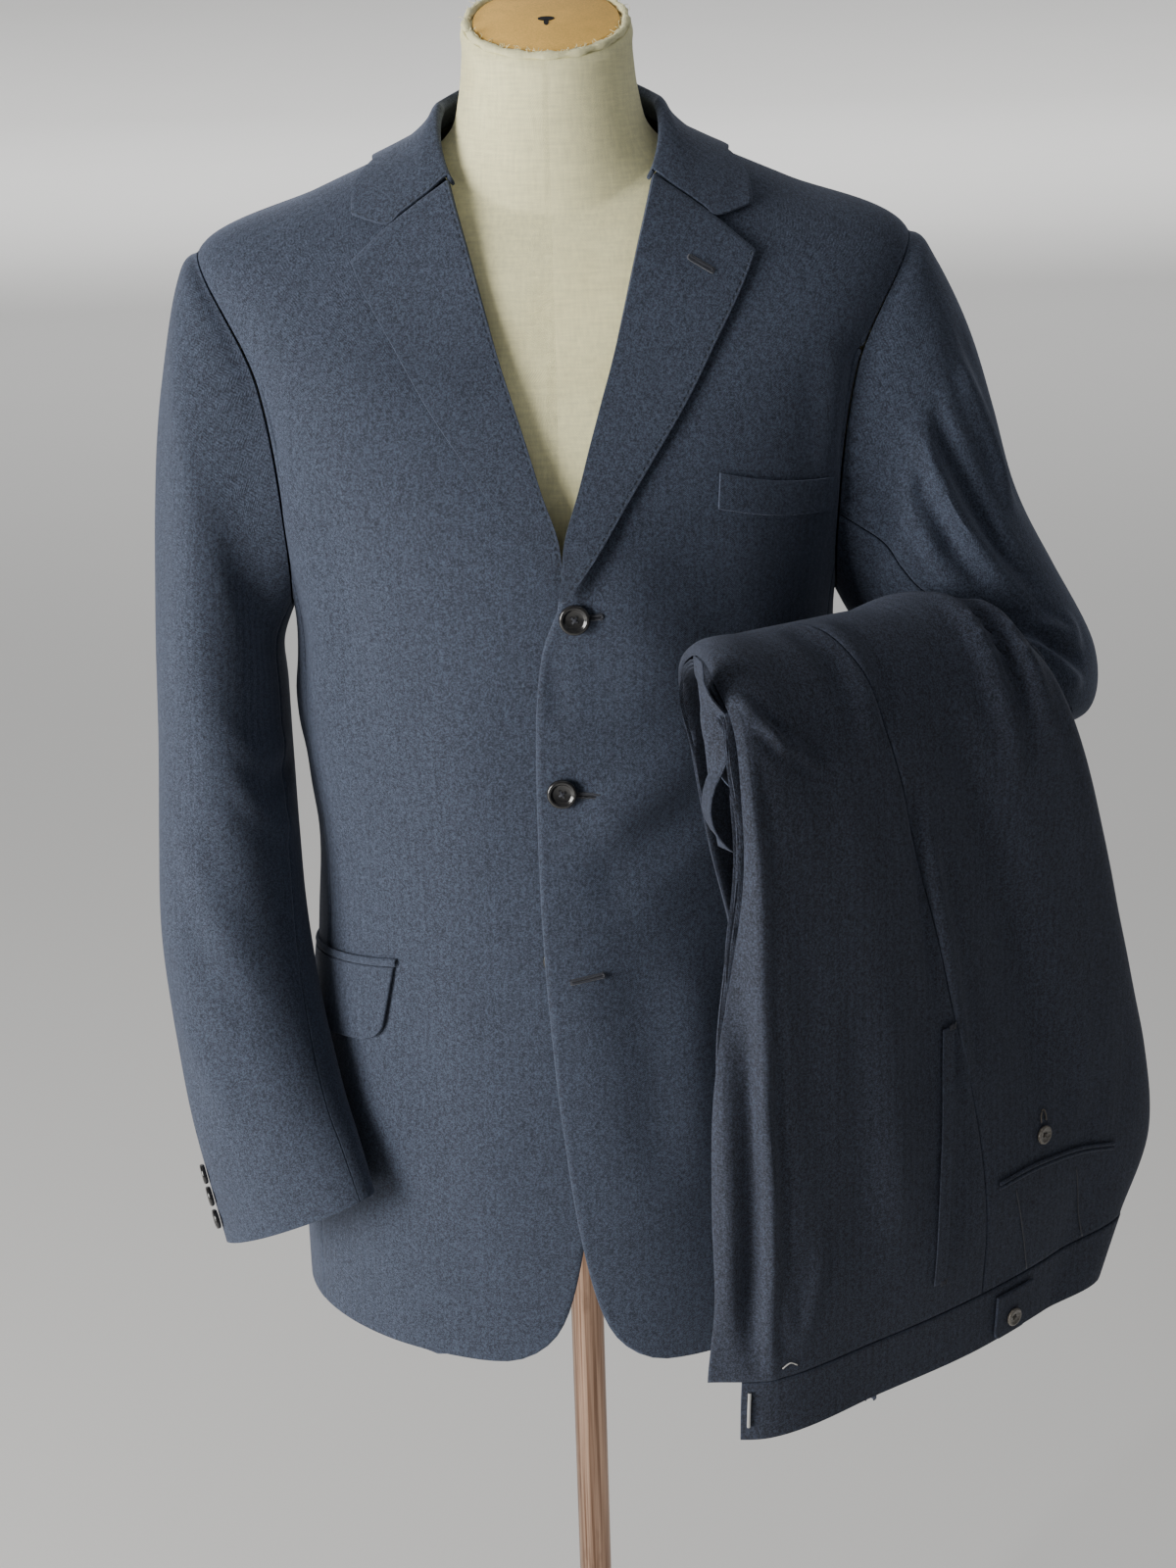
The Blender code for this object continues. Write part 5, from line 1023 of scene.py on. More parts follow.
def iron(name):
    """Dark enamelled iron with faint dust."""
    g = Graph(name, 0.45, coat=0.2)
    dust = g.noise(g.place(), 30.0, 4.0, 0.6)
    grit = g.noise(g.place(), 700.0, 2.0, 0.6)
    colour = g.mix(g.band(dust, 0.40, 0.75), (0.018, 0.017, 0.016), (0.060, 0.056, 0.052))
    rough = g.plus(0.34, g.times(dust, 0.3))
    return g.finish(colour, g.bump(grit, 0.20, 0.0003), rough)


def horn(name, base, veins, roughness, scale=260.0):
    """Polished horn or its imitation, lightly veined."""
    g = Graph(name, roughness, coat=0.5)
    flow = g.noise(g.place((1.0, 1.0, 3.0)), scale, 3.0, 0.6)
    fine = g.noise(g.place(), 1800.0, 2.0, 0.5)
    colour = g.mix(g.band(flow, 0.42, 0.68), base, veins)
    return g.finish(colour, g.bump(fine, 0.12, 0.0002))


def thread(name, colour):
    """Twisted sewing thread."""
    g = Graph(name, 0.70, sheen=0.3)
    twist = g.noise(g.place(), 2600.0, 2.0, 0.6)
    tone = g.mix(g.band(twist, 0.3, 0.7), shade(colour, 0.55), colour)
    return g.finish(tone, g.bump(twist, 0.5, 0.0003))


def bright_metal(name):
    g = Graph(name, 0.28, metallic=1.0)
    brushed = g.noise(g.place((1.0, 1.0, 0.1)), 900.0, 2.0, 0.6)
    colour = g.mix(brushed, (0.42, 0.42, 0.42), (0.72, 0.72, 0.70))
    return g.finish(colour, g.bump(brushed, 0.15, 0.0002))


def painted_hollow_shade(name):
    """Painted shade for the inside of a button's hole, a slit or the keyhole: near black, with a trace of
    fluff.
    """
    g = Graph(name, 0.95)
    fluff = g.noise(g.place(), 1200.0, 2.0, 0.6)
    return g.finish(g.mix(fluff, (0.002, 0.002, 0.003), (0.008, 0.008, 0.010)))


def paint(name, tint):
    """Matte studio floor, almost even."""
    g = Graph(name, 0.90)
    cloud = g.noise(g.place(), 1.2, 2.0, 0.5)
    return g.finish(g.mix(cloud, shade(tint, 0.97), tint))


# ================================================================ creases: height, width, line
# On the body the lines are world points; on the sleeves they are (metres round from the outer line,
# metres down); on the trousers they are (metres along the fold, metres up the path from the waist).
FRONT_CREASES = {
    "left": (
        (0.0030, 0.020, ((0.008, -0.125, 1.030), (0.043, -0.122, 1.060), (0.078, -0.113, 1.082),
                         (0.100, -0.105, 1.095))),
        (-0.0034, 0.017, ((0.006, -0.127, 0.994), (0.046, -0.122, 1.025), (0.082, -0.111, 1.047),
                          (0.110, -0.100, 1.060))),
        (-0.0016, 0.007, ((-0.010, -0.130, 1.172), (-0.006, -0.128, 1.136),
                          (-0.002, -0.127, 1.105))),
        (0.0026, 0.028, ((0.030, -0.129, 1.225), (0.050, -0.126, 1.180), (0.070, -0.118, 1.110))),
        (-0.0016, 0.020, ((0.035, -0.127, 0.960), (0.046, -0.130, 0.876), (0.049, -0.136, 0.776))),
        (0.0016, 0.018, ((0.085, -0.118, 0.950), (0.078, -0.124, 0.860), (0.080, -0.128, 0.760))),
        (-0.0022, 0.012, ((0.192, -0.052, 1.345), (0.183, -0.056, 1.290), (0.178, -0.058, 1.235))),
        (0.0018, 0.012, ((0.176, -0.062, 1.330), (0.168, -0.066, 1.280), (0.166, -0.066, 1.230))),
    ),
    "right": (
        (-0.0015, 0.016, ((-0.142, -0.094, 1.250), (-0.134, -0.091, 1.156),
                          (-0.133, -0.083, 1.060))),
        (0.0018, 0.016, ((-0.170, -0.073, 1.265), (-0.162, -0.065, 1.170),
                         (-0.158, -0.062, 1.090))),
        (-0.0018, 0.014, ((-0.200, -0.040, 1.350), (-0.186, -0.055, 1.300),
                          (-0.178, -0.062, 1.250))),
        (0.0014, 0.026, ((-0.066, -0.121, 1.150), (-0.064, -0.117, 1.060),
                         (-0.070, -0.117, 0.980))),
        (-0.0013, 0.022, ((-0.109, -0.104, 0.926), (-0.100, -0.118, 0.823),
                          (-0.095, -0.124, 0.721))),
        (0.0014, 0.020, ((-0.152, -0.080, 0.850), (-0.146, -0.096, 0.752),
                         (-0.142, -0.100, 0.690))),
    ),
}
SIDE_CREASES = {
    "left": (
        (0.0022, 0.016, ((0.170, -0.030, 1.130), (0.168, 0.005, 1.090), (0.164, 0.040, 1.075))),
        (-0.0020, 0.014, ((0.166, -0.035, 1.085), (0.164, 0.000, 1.050), (0.160, 0.036, 1.035))),
        (0.0016, 0.018, ((0.172, 0.010, 1.000), (0.184, 0.000, 0.900), (0.190, -0.010, 0.790))),
    ),
    "right": (
        (0.0024, 0.017, ((-0.168, -0.026, 1.118), (-0.167, 0.006, 1.086), (-0.163, 0.042, 1.060))),
        (-0.0021, 0.015, ((-0.165, -0.030, 1.072), (-0.163, 0.004, 1.044), (-0.159, 0.038, 1.018))),
        (0.0015, 0.019, ((-0.174, 0.002, 0.990), (-0.186, 0.012, 0.890), (-0.189, 0.016, 0.770))),
    ),
}
BACK_CREASES = {
    "left": (
        (0.0026, 0.015, ((0.012, 0.100, 1.420), (0.055, 0.098, 1.412), (0.105, 0.086, 1.404))),
        (-0.0022, 0.014, ((0.010, 0.112, 1.385), (0.060, 0.112, 1.376), (0.110, 0.098, 1.366))),
        (0.0030, 0.018, ((0.165, 0.052, 1.290), (0.150, 0.084, 1.210), (0.146, 0.088, 1.120))),
        (-0.0020, 0.020, ((0.110, 0.110, 1.150), (0.070, 0.112, 1.100), (0.030, 0.108, 1.070))),
        (0.0022, 0.022, ((0.130, 0.092, 1.060), (0.080, 0.106, 1.020), (0.030, 0.108, 1.000))),
        (0.0016, 0.026, ((0.090, 0.118, 0.930), (0.096, 0.132, 0.820), (0.098, 0.140, 0.710))),
        (-0.0016, 0.024, ((0.045, 0.124, 0.920), (0.046, 0.142, 0.810), (0.044, 0.150, 0.700))),
    ),
    "right": (
        (0.0024, 0.016, ((-0.014, 0.100, 1.418), (-0.060, 0.096, 1.411), (-0.110, 0.083, 1.399))),
        (-0.0024, 0.013, ((-0.012, 0.112, 1.380), (-0.056, 0.112, 1.373), (-0.104, 0.100, 1.360))),
        (0.0028, 0.019, ((-0.167, 0.050, 1.280), (-0.153, 0.080, 1.205), (-0.148, 0.086, 1.110))),
        (-0.0022, 0.018, ((-0.118, 0.106, 1.140), (-0.076, 0.111, 1.092), (-0.034, 0.108, 1.060))),
        (0.0020, 0.024, ((-0.126, 0.094, 1.046), (-0.078, 0.106, 1.010), (-0.028, 0.108, 0.992))),
        (0.0018, 0.025, ((-0.086, 0.120, 0.920), (-0.092, 0.134, 0.812), (-0.090, 0.142, 0.700))),
        (-0.0014, 0.023, ((-0.042, 0.124, 0.910), (-0.040, 0.142, 0.800), (-0.042, 0.150, 0.690))),
    ),
}
SLEEVE_CREASES = {
    "left": (
        (0.0050, 0.0085, ((0.051, 0.040), (0.046, 0.064), (0.043, 0.086), (0.055, 0.116))),
        (0.0056, 0.0080, ((0.094, 0.012), (0.092, 0.053), (0.091, 0.106), (0.108, 0.150))),
        (-0.0050, 0.0080, ((0.080, 0.030), (0.078, 0.062), (0.080, 0.096), (0.092, 0.132))),
        (0.0040, 0.0075, ((0.108, 0.012), (0.108, 0.049), (0.112, 0.090), (0.124, 0.122))),
        (-0.0038, 0.0070, ((0.100, 0.030), (0.101, 0.072), (0.104, 0.104))),
        (0.0030, 0.0070, ((0.066, 0.152), (0.076, 0.166), (0.094, 0.160), (0.112, 0.150))),
        (0.0034, 0.0070, ((0.070, 0.200), (0.090, 0.194), (0.112, 0.180), (0.130, 0.166))),
        (-0.0028, 0.0070, ((0.072, 0.182), (0.092, 0.176), (0.110, 0.166))),
        (0.0042, 0.0090, ((0.165, 0.118), (0.150, 0.148), (0.135, 0.170), (0.112, 0.182))),
        (0.0030, 0.0110, ((-0.030, 0.060), (-0.045, 0.110), (-0.040, 0.160), (-0.020, 0.200))),
        (0.0034, 0.0100, ((-0.085, 0.060), (-0.095, 0.105), (-0.080, 0.150), (-0.050, 0.190))),
        (-0.0028, 0.0100, ((-0.060, 0.070), (-0.068, 0.120), (-0.055, 0.165))),
        (0.0030, 0.0090, ((0.020, 0.250), (0.050, 0.262), (0.085, 0.258))),
        (0.0028, 0.0090, ((-0.060, 0.300), (-0.020, 0.315), (0.030, 0.312))),
    ),
    "right": (
        (0.0016, 0.0140, ((0.188, 0.112), (0.165, 0.140), (0.142, 0.166), (0.112, 0.182))),
        (-0.0012, 0.0130, ((0.186, 0.150), (0.164, 0.176), (0.140, 0.196))),
        (0.0014, 0.0140, ((0.195, 0.226), (0.168, 0.224), (0.140, 0.214), (0.110, 0.196))),
        (0.0010, 0.0160, ((0.046, 0.030), (0.070, 0.070), (0.082, 0.130), (0.080, 0.200))),
        (-0.0010, 0.0150, ((0.016, 0.030), (0.034, 0.090), (0.044, 0.160), (0.046, 0.230))),
        (0.0012, 0.0150, ((0.060, 0.260), (0.085, 0.300), (0.110, 0.330), (0.140, 0.350))),
        (-0.0015, 0.0150, ((0.070, 0.330), (0.100, 0.370), (0.130, 0.400))),
        (0.0016, 0.0150, ((0.050, 0.390), (0.078, 0.430), (0.100, 0.470))),
        (0.0026, 0.0120, ((-0.090, 0.060), (-0.104, 0.120), (-0.092, 0.170))),
        (0.0022, 0.0130, ((-0.150, 0.180), (-0.120, 0.205), (-0.085, 0.210))),
        (-0.0020, 0.0120, ((-0.150, 0.215), (-0.118, 0.236), (-0.082, 0.240))),
        (0.0020, 0.0130, ((-0.140, 0.260), (-0.110, 0.262), (-0.080, 0.270))),
    ),
}
DRAPE_CREASES = (
    (0.0030, 0.0036, ((-0.024, 0.512), (-0.011, 0.493), (0.001, 0.473), (0.010, 0.462))),
    (0.0026, 0.0036, ((-0.026, 0.498), (-0.004, 0.483), (0.021, 0.461), (0.032, 0.450))),
    (-0.0020, 0.0040, ((-0.018, 0.499), (-0.004, 0.486), (0.008, 0.472))),
    (-0.0026, 0.0060, ((0.096, 0.440), (0.103, 0.376), (0.110, 0.328), (0.121, 0.258))),
    (0.0028, 0.0055, ((0.106, 0.410), (0.123, 0.338), (0.137, 0.273), (0.151, 0.175))),
    (0.0018, 0.0050, ((0.132, 0.236), (0.128, 0.150), (0.123, 0.068))),
    (0.0034, 0.0070, ((0.163, 0.556), (0.171, 0.490), (0.182, 0.440), (0.188, 0.400))),
    (0.0036, 0.0065, ((0.178, 0.560), (0.193, 0.509), (0.204, 0.470), (0.214, 0.430))),
    (-0.0036, 0.0060, ((0.172, 0.548), (0.182, 0.498), (0.193, 0.452))),
    (0.0022, 0.0080, ((0.068, 0.560), (0.074, 0.522), (0.071, 0.488), (0.064, 0.450))),
    (-0.0020, 0.0080, ((0.044, 0.556), (0.052, 0.520), (0.050, 0.486))),
    (-0.0016, 0.0120, ((0.046, 0.313), (0.054, 0.209), (0.065, 0.105))),
    (0.0016, 0.0130, ((0.082, 0.300), (0.084, 0.200), (0.092, 0.095))),
    (0.0016, 0.0050, ((0.003, 0.061), (-0.002, 0.098), (-0.008, 0.150))),
    (0.0014, 0.0055, ((0.007, 0.059), (0.018, 0.092), (0.027, 0.150))),
    (0.0026, 0.0050, ((-0.023, 0.489), (-0.023, 0.448), (-0.019, 0.394), (-0.018, 0.322),
                      (-0.019, 0.242))),
    (0.0038, 0.0050, ((-0.018, 0.310), (-0.018, 0.242), (-0.013, 0.187), (-0.011, 0.120),
                      (-0.011, 0.020))),
    (-0.0042, 0.0055, ((-0.025, 0.330), (-0.026, 0.236), (-0.023, 0.160), (-0.021, 0.040))),
    (0.0034, 0.0070, ((-0.032, 0.310), (-0.035, 0.220), (-0.034, 0.140), (-0.034, 0.040))),
    (0.0014, 0.0090, ((0.270, 0.246), (0.289, 0.170), (0.280, 0.098))),
    (-0.0014, 0.0090, ((0.236, 0.240), (0.246, 0.190), (0.240, 0.140))),
    (0.0022, 0.0080, ((0.020, 0.640), (0.060, 0.650), (0.110, 0.642), (0.150, 0.655))),
    (-0.0020, 0.0090, ((0.030, 0.700), (0.080, 0.712), (0.130, 0.700))),
    (0.0020, 0.0100, ((0.090, 0.760), (0.086, 0.880), (0.092, 1.000))),
    (-0.0018, 0.0110, ((0.120, 0.740), (0.124, 0.860), (0.118, 0.980))),
)


# ================================================================ jacket
def body_grain(spots, points, is_left):
    """Grain of the body panels: u runs round the chest, v is the height."""
    turns = np.linspace(0, 180, 181)
    steps = np.linalg.norm(np.diff(body_point(turns, np.full(181, RING_OF["chest"])), axis=0), axis=1)
    round_it = np.concatenate([[0.0], np.cumsum(steps)])
    u = np.interp(np.abs(spots[..., 0]), turns, round_it) * np.sign(spots[..., 0] + 1e-9)
    return np.stack([u if is_left else -u, points[..., 2]], axis=-1)


def jacket_panel(name, net, is_left, finish, waves, creases=(), lining=None, gaps=NO_GAPS,
                 thickness=FLAP_WALL):
    """A piece of the jacket on the body. Net is its spots and how far it stands off them, waves the
    seed and the strength of its waves."""
    points, normals = lifted(*net)
    grain = body_grain(net[0], points, is_left)
    points, normals = to_side(points, normals, is_left)
    if not is_left:
        gaps = (gaps[0], gaps[1], gaps[3], gaps[2])
        grain = grain[:, ::-1]
    seed, strength = waves
    relief = creased(points, creases) + soft_waves(points, seed, 0.20, strength)
    points = points + normals * relief[..., None]
    return shell("cloth_" + name, points, grain, finish, thickness, gaps, lining)


def make_body(finish, lining):
    for side, is_left in SIDES:
        for part, net, creases, waves in (
                ("front", front_net(FINE, is_left), FRONT_CREASES, (11 + is_left, 0.0006)),
                ("side", side_net(FINE), SIDE_CREASES, (21, 0.0006)),
                ("back", back_net(FINE), BACK_CREASES, (31, 0.0007))):
            panel = jacket_panel("jacket_%s_%s" % (part, side), net, is_left, finish, waves,
                                 creases[side], lining, (0, HALF_GAP, HALF_GAP, HALF_GAP), CLOTH)
            declare(panel)


def make_lapels(finish):
    for side, is_left in SIDES:
        points, normals = lifted(*lapel_net(is_left))
        share = np.linspace(0, 1, points.shape[1])[None, :]
        grain = np.stack([np.broadcast_to(share, points.shape[:2]) * 0.09, lengths(points, 0)], axis=-1)
        points, normals = to_side(points, normals, is_left)
        grain = grain if is_left else grain[:, ::-1]
        points = points + normals * soft_waves(points, 41, 0.12, 0.0003)[..., None]
        lapel = shell("cloth_jacket_lapel_" + side, points, grain, finish, LAPEL_WALL,
                      (0, SEAM_GAP, 0, 0))
        declare(lapel)


def make_collar(finish):
    net = collar_net(5)[::-1]
    grain = np.stack([lengths(net, 1), lengths(net, 0)], axis=-1)
    normals = net_normals(net)
    middle = np.array([0.0, 0.0, 1.40])
    if np.mean(np.sum(normals[0] * (net[0] - middle), axis=-1)) < 0:
        normals = -normals
    collar = shell("cloth_jacket_collar", net, grain, finish, LAPEL_WALL, normals=normals)
    declare(collar)


def make_sleeves(finish, lining):
    for side, rows, is_left in SLEEVES:
        levels = np.concatenate([np.linspace(0.03, 1.0, 17)[:-1], np.linspace(1, len(rows), 131)])
        front_seam = SLEEVE_FRONT_SEAM[side]
        middle = sleeve_point(rows, np.zeros_like(levels), levels)
        middle = (middle + sleeve_point(rows, np.full_like(levels, 180.0), levels)) / 2
        down = lengths(middle[:, None], 0)
        for part, start, end in (("top", SLEEVE_BACK_SEAM - 360.0, front_seam),
                                 ("under", front_seam, SLEEVE_BACK_SEAM)):
            count = round((end - start) / 3.0) + 1
            angle, place = np.meshgrid(np.linspace(start + 0.25, end - 0.25, count), levels)
            points = sleeve_point(rows, angle % 360.0, place)
            normals = sleeve_normal(rows, angle % 360.0, place)
            fall = np.broadcast_to(down, angle.shape)
            grain = np.stack([np.radians(angle) * 0.060, -fall], axis=-1)
            round_it = ((angle + 180) % 360.0 - 180) / 360.0 * 0.40
            relief = (creased(np.stack([round_it, fall], axis=-1), SLEEVE_CREASES[side])
                      + soft_waves(points, 51 + is_left, 0.16, 0.0007)) * ease(place, 0.0, 0.6)
            crown = np.exp(-((place - 0.42) / 0.34) ** 2) * np.clip(np.cos(np.radians(angle)), 0, 1)
            relief = relief + 0.0026 * crown * ease(place, 0.03, 0.3)
            points = (points + normals * relief[..., None])[::-1, ::-1]
            points = to_side(points, normals, is_left)[0]
            grain = grain[::-1, ::-1] if is_left else grain[::-1]
            piece = shell("cloth_jacket_sleeve_%s_%s" % (side, part), points, grain, finish, CLOTH,
                          (0, SEAM_GAP, 0, 0), lining)
            declare(piece)


def rounded_patch(rows, columns, corner_share):
    """Unit square net (across, up) whose lower corners are rounded."""
    across, up = np.meshgrid(np.linspace(0, 1, columns), np.linspace(0, 1, rows))
    reach = np.clip(1 - up / corner_share, 0, 1)
    pull = corner_share * 0.55 * (1 - np.sqrt(np.clip(1 - reach ** 2, 0, 1)))
    return 0.5 + (across - 0.5) * (1 - 2 * pull), up


def hip_net(turn, height, is_left, out):
    """Spots of a piece of a hip pocket, and how far it stands off the body: out over the front."""
    spots = np.stack([turn, ring_at(turn, height)], axis=-1)
    return spots, front_lift(on_body(spots)[..., 0], height, is_left) + out


def make_pockets(finish):
    for side, is_left in SIDES:
        across, up = rounded_patch(25, 49, 0.22)
        down = 1 - up
        top = FLAP_TOP_FRONT + (FLAP_TOP_BACK - FLAP_TOP_FRONT) * across
        turn = (FLAP_FRONT_TURN + (FLAP_BACK_TURN - FLAP_FRONT_TURN) * across
                + FLAP_SLANT * down * (1 - across))
        net = hip_net(turn, top - FLAP_DEPTH * down, is_left, LAY + FLAP_WALL + 0.0010 * down)
        declare(jacket_panel("jacket_flap_" + side, net, is_left, finish, (61, 0.0003)))
        across, up = np.meshgrid(np.linspace(0, 1, 49), np.linspace(0, 1, 5))
        turn = FLAP_FRONT_TURN - 0.6 + (FLAP_BACK_TURN + 0.6 - FLAP_FRONT_TURN) * across
        height = FLAP_TOP_FRONT + (FLAP_TOP_BACK - FLAP_TOP_FRONT) * across + 0.0006 + JET_HEIGHT * up
        net = hip_net(turn, height, is_left, LAY + JET_WALL + 0.0010 * np.sin(math.pi * up))
        declare(jacket_panel("jacket_jet_" + side, net, is_left, finish, (62, 0.0), thickness=JET_WALL))
    foot = along(np.linspace(WELT_FRONT, WELT_BACK, 9), 61)
    foot[:, 1] -= 0.0020 * np.sin(np.linspace(0, math.pi, 61))
    net = foot[None] + np.linspace(0, 1, 19)[:, None, None] * np.array([0.0015, WELT_HEIGHT])
    spots = body_spot(net.reshape(-1, 2)).reshape(*net.shape)
    lift = LAY + FLAP_WALL + front_lift(net[..., 0], net[..., 1], True)
    declare(jacket_panel("jacket_breast_welt", (spots, lift), True, finish, (63, 0.0002)))


# ================================================================ trousers
def drape_grain(across, level, points):
    """Grain of the trousers: u along the fold, v the length of the path over the forearm."""
    path = lengths(drape_point(np.full(401, 2.0), np.linspace(0, 18, 401))[:, None], 0)[:, 0]
    v = np.interp(level, np.linspace(0, 18, 401), path)
    u = points @ DRAPE_ALONG
    side = -np.clip(1.0 - across, 0, 1) * 0.02 + np.clip(across - 5.0, 0, 1) * 0.02
    return np.stack([u + side, v], axis=-1)


def drape_shell(name, net, finish, out=0.0, thickness=CLOTH, gaps=NO_GAPS, creases=(), strength=0.0006):
    """A piece of the trousers on the drape. Net is the station and the level of its points, out how far
    it stands off, and strength that of its waves."""
    points, normals = drape_frame(*net)
    grain = drape_grain(*net, points)
    place = np.stack([fold_place(points), grain[..., 1]], axis=-1)
    relief = out + creased(place, creases) + soft_waves(points, 71, 0.17, strength)
    points = points + normals * np.asarray(relief)[..., None]
    return shell("cloth_" + name, points, grain, finish, thickness, gaps, slot="trouser_wool")


def spread(stations, times):
    """Refine a list of stations, each step into a number of equal ones."""
    return np.interp(np.linspace(0, len(stations) - 1, (len(stations) - 1) * times + 1),
                     np.arange(len(stations)), stations)


LAYERS = ((0.00, -0.0030), (0.06, 0.0042), (0.12, 0.0056), (0.20, 0.0052), (0.27, 0.0010),
          (0.31, -0.0052),
          (0.35, 0.0008), (0.42, 0.0052), (0.52, 0.0060), (0.60, 0.0042), (0.645, -0.0010),
          (0.68, -0.0060),
          (0.72, 0.0004), (0.79, 0.0050), (0.88, 0.0054), (0.95, 0.0030))
LAYER_INSET = 0.0100
LAYER_LEAN = 0.81
UNDER_STATIONS = np.array([1.5, 1.8, 2.2, 2.6, 3.0, 3.35, 3.7, 4.1, 4.45])


def layer_end(level, depth, tuck_left, flank):
    """How far past the crease the layers end at a depth under the outer face."""
    shown = float(ease(level, 0.9, 1.1))
    cover = flank * (0.5 + 0.5 * shown)
    cover_depth = tuck_left * (0.35 + 0.65 * shown)
    open_end = 0.7 * (flank - 0.004)
    covered_end = min(open_end, cover - LAYER_INSET - LAYER_LEAN * (depth - cover_depth))
    return open_end + (covered_end - open_end) * float(ease(flank, 0.006, 0.025))


def under_ring(level):
    """Closed ring of the hidden layers at a level, with deep grooves between their folded edges."""
    row, out = drape_path(np.array(float(level)))
    crease, tuck_left, thick, flank = float(row[2]), float(row[5]), float(row[8]), float(row[9])
    skin = CLOTH + UNDER_AIR
    stations = spread(UNDER_STATIONS, 3)
    levels = np.full(stations.shape, float(level))
    face = drape_point(stations, levels) - drape_normal(stations, levels) * skin
    back = drape_point(stations, levels, skin + thick)
    level = np.array(float(level))
    place = lambda along_it, depth: drape_place(row, out, np.array(along_it), np.array(depth), level)
    start, end = tuck_left + 0.0022, skin + thick
    wander = 0.0016 * math.sin(1.9 * float(level)) + 0.0010 * math.sin(4.3 * float(level) + 1.0)
    left = [place(crease + skin + 0.0010, skin + 0.0022), place(crease + skin, 0.92 * tuck_left + 0.001)]
    for number, (share, reach) in enumerate(LAYERS):
        sway = wander * math.sin(1.3 * number + 0.6 * float(level))
        depth = start + (end - start) * share
        beyond = layer_end(level, depth, tuck_left, flank)
        left.append(place(crease - beyond - reach - sway, depth))
    bulge = DRAPE_ALONG * 0.30 * thick
    right = [face[-1] * (1 - share) + back[-1] * share + bulge * amount
             for share, amount in ((0.1, 0.34), (0.25, 0.62), (0.5, 0.8), (0.75, 0.62), (0.9, 0.34))]
    return np.concatenate([face, np.array(right), back[::-1], np.array(left)[::-1]])


def tube_of_rings(name, rings, finish, slot, gaps=(0.0, 0.0)):
    """A closed solid through rings, with its grain as UV."""
    rings = np.array(rings)
    rings[0] += (rings[1] - rings[0]) * gaps[0]
    rings[-1] += (rings[-2] - rings[-1]) * gaps[1]
    number = np.arange(rings[..., 0].size).reshape(rings.shape[:2])
    after = np.roll(number, -1, axis=1)
    quads = np.stack([number[:-1], after[:-1], after[1:], number[1:]], axis=-1).reshape(-1, 4)
    mesh = new_mesh(name, rings.reshape(-1, 3).tolist(),
                    quads.tolist() + [number[0, ::-1].tolist(), number[-1].tolist()], finish)
    u = np.cumsum(np.linalg.norm(rings - np.roll(rings, 1, axis=1), axis=-1), axis=1)
    grain = np.stack([u, lengths(rings, 0)], axis=-1).reshape(-1, 2)
    set_grain(mesh, grain, [np.ones(number.size, np.float32)] * 4)
    return add_piece(name, mesh, slot, sharp=True)


def stand_in(node, prefix, rings, finish, slot, gaps=(0.0, 0.0)):
    """A closed solid through rings that stands for a node of the part."""
    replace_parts(tube_of_rings(prefix + node, rings, finish, slot, gaps), node)


FRONT_STATIONS = np.array([0.0, 0.35, 0.7, 1.0, 1.25, 1.5, 1.8, 2.2, 2.6, 3.0])
BACK_STATIONS = np.array([3.0, 3.35, 3.7, 4.1, 4.5, 5.0, 5.5, 6.0])


def make_trousers(finish, band_finish):
    levels = np.linspace(DRAPE_OF["band seam"], DRAPE_OF["leg hem"], 205)
    for part, stations, gaps in (("front", FRONT_STATIONS, (HALF_GAP, 0, 0, HALF_GAP)),
                                 ("back", BACK_STATIONS, (HALF_GAP, 0, HALF_GAP, 0))):
        panel = drape_shell("trouser_right_" + part, np.meshgrid(spread(stations, 6), levels), finish,
                            gaps=gaps, creases=DRAPE_CREASES, strength=0.0008)
        declare(panel)
    stand_in("trouser_left_leg", "cloth_", [under_ring(level) for level in np.linspace(1.0, 18.0, 165)],
             finish, "trouser_wool")
    stand_in("trouser_waistband_left", "cloth_", [under_ring(level) for level in np.linspace(0.0, 1.0, 13)],
             band_finish, "trouser_wool", (0, 0.05))
    stations = np.concatenate([[0.5, 0.75], FRONT_STATIONS[3:], BACK_STATIONS[1:]])
    band = drape_shell("trouser_waistband_right", np.meshgrid(spread(stations, 6), np.linspace(0, 1, 17)),
                       band_finish, BAND_OUT, BAND_WALL, (0, HALF_GAP, 0, 0))
    declare(band)
    make_trouser_details(finish, band_finish)


def make_trouser_details(finish, band_finish):
    (first_station, low), (last_station, high) = SIDE_TAB
    across, up = rounded_patch(17, 17, 0.25)
    net = first_station + (last_station - first_station) * across, low + (high - low) * up
    tab = drape_shell("trouser_side_tab", net, band_finish, TAB_OUT, FLAP_WALL)
    declare(tab)
    line = along(HIP_JET_LINE, 41)
    bulge = 0.0008 * np.sin(math.pi * np.linspace(0, 1, 5))[:, None]
    for name, low_edge, high_edge in (("lower", -HIP_JET_HEIGHT, -HALF_GAP),
                                      ("upper", HALF_GAP, HIP_JET_HEIGHT)):
        spots = np.stack([drape_spot(line + (0.0, low_edge + (high_edge - low_edge) * share))
                          for share in np.linspace(0, 1, 5)])
        jet = drape_shell("trouser_hip_jet_" + name, (spots[..., 0], spots[..., 1]), finish,
                          LAY + TRIM_WALL + bulge, TRIM_WALL)
        declare(jet)
    line = along(POCKET_EDGE_LINE, 61)
    spots = np.stack([drape_spot(line - (POCKET_EDGE_WIDTH * share, 0.0))
                      for share in np.linspace(1, 0, 9)], axis=1)
    edge = drape_shell("trouser_pocket_edge", (spots[..., 0], spots[..., 1]), finish, LAY + TRIM_WALL,
                       TRIM_WALL)
    declare(edge)


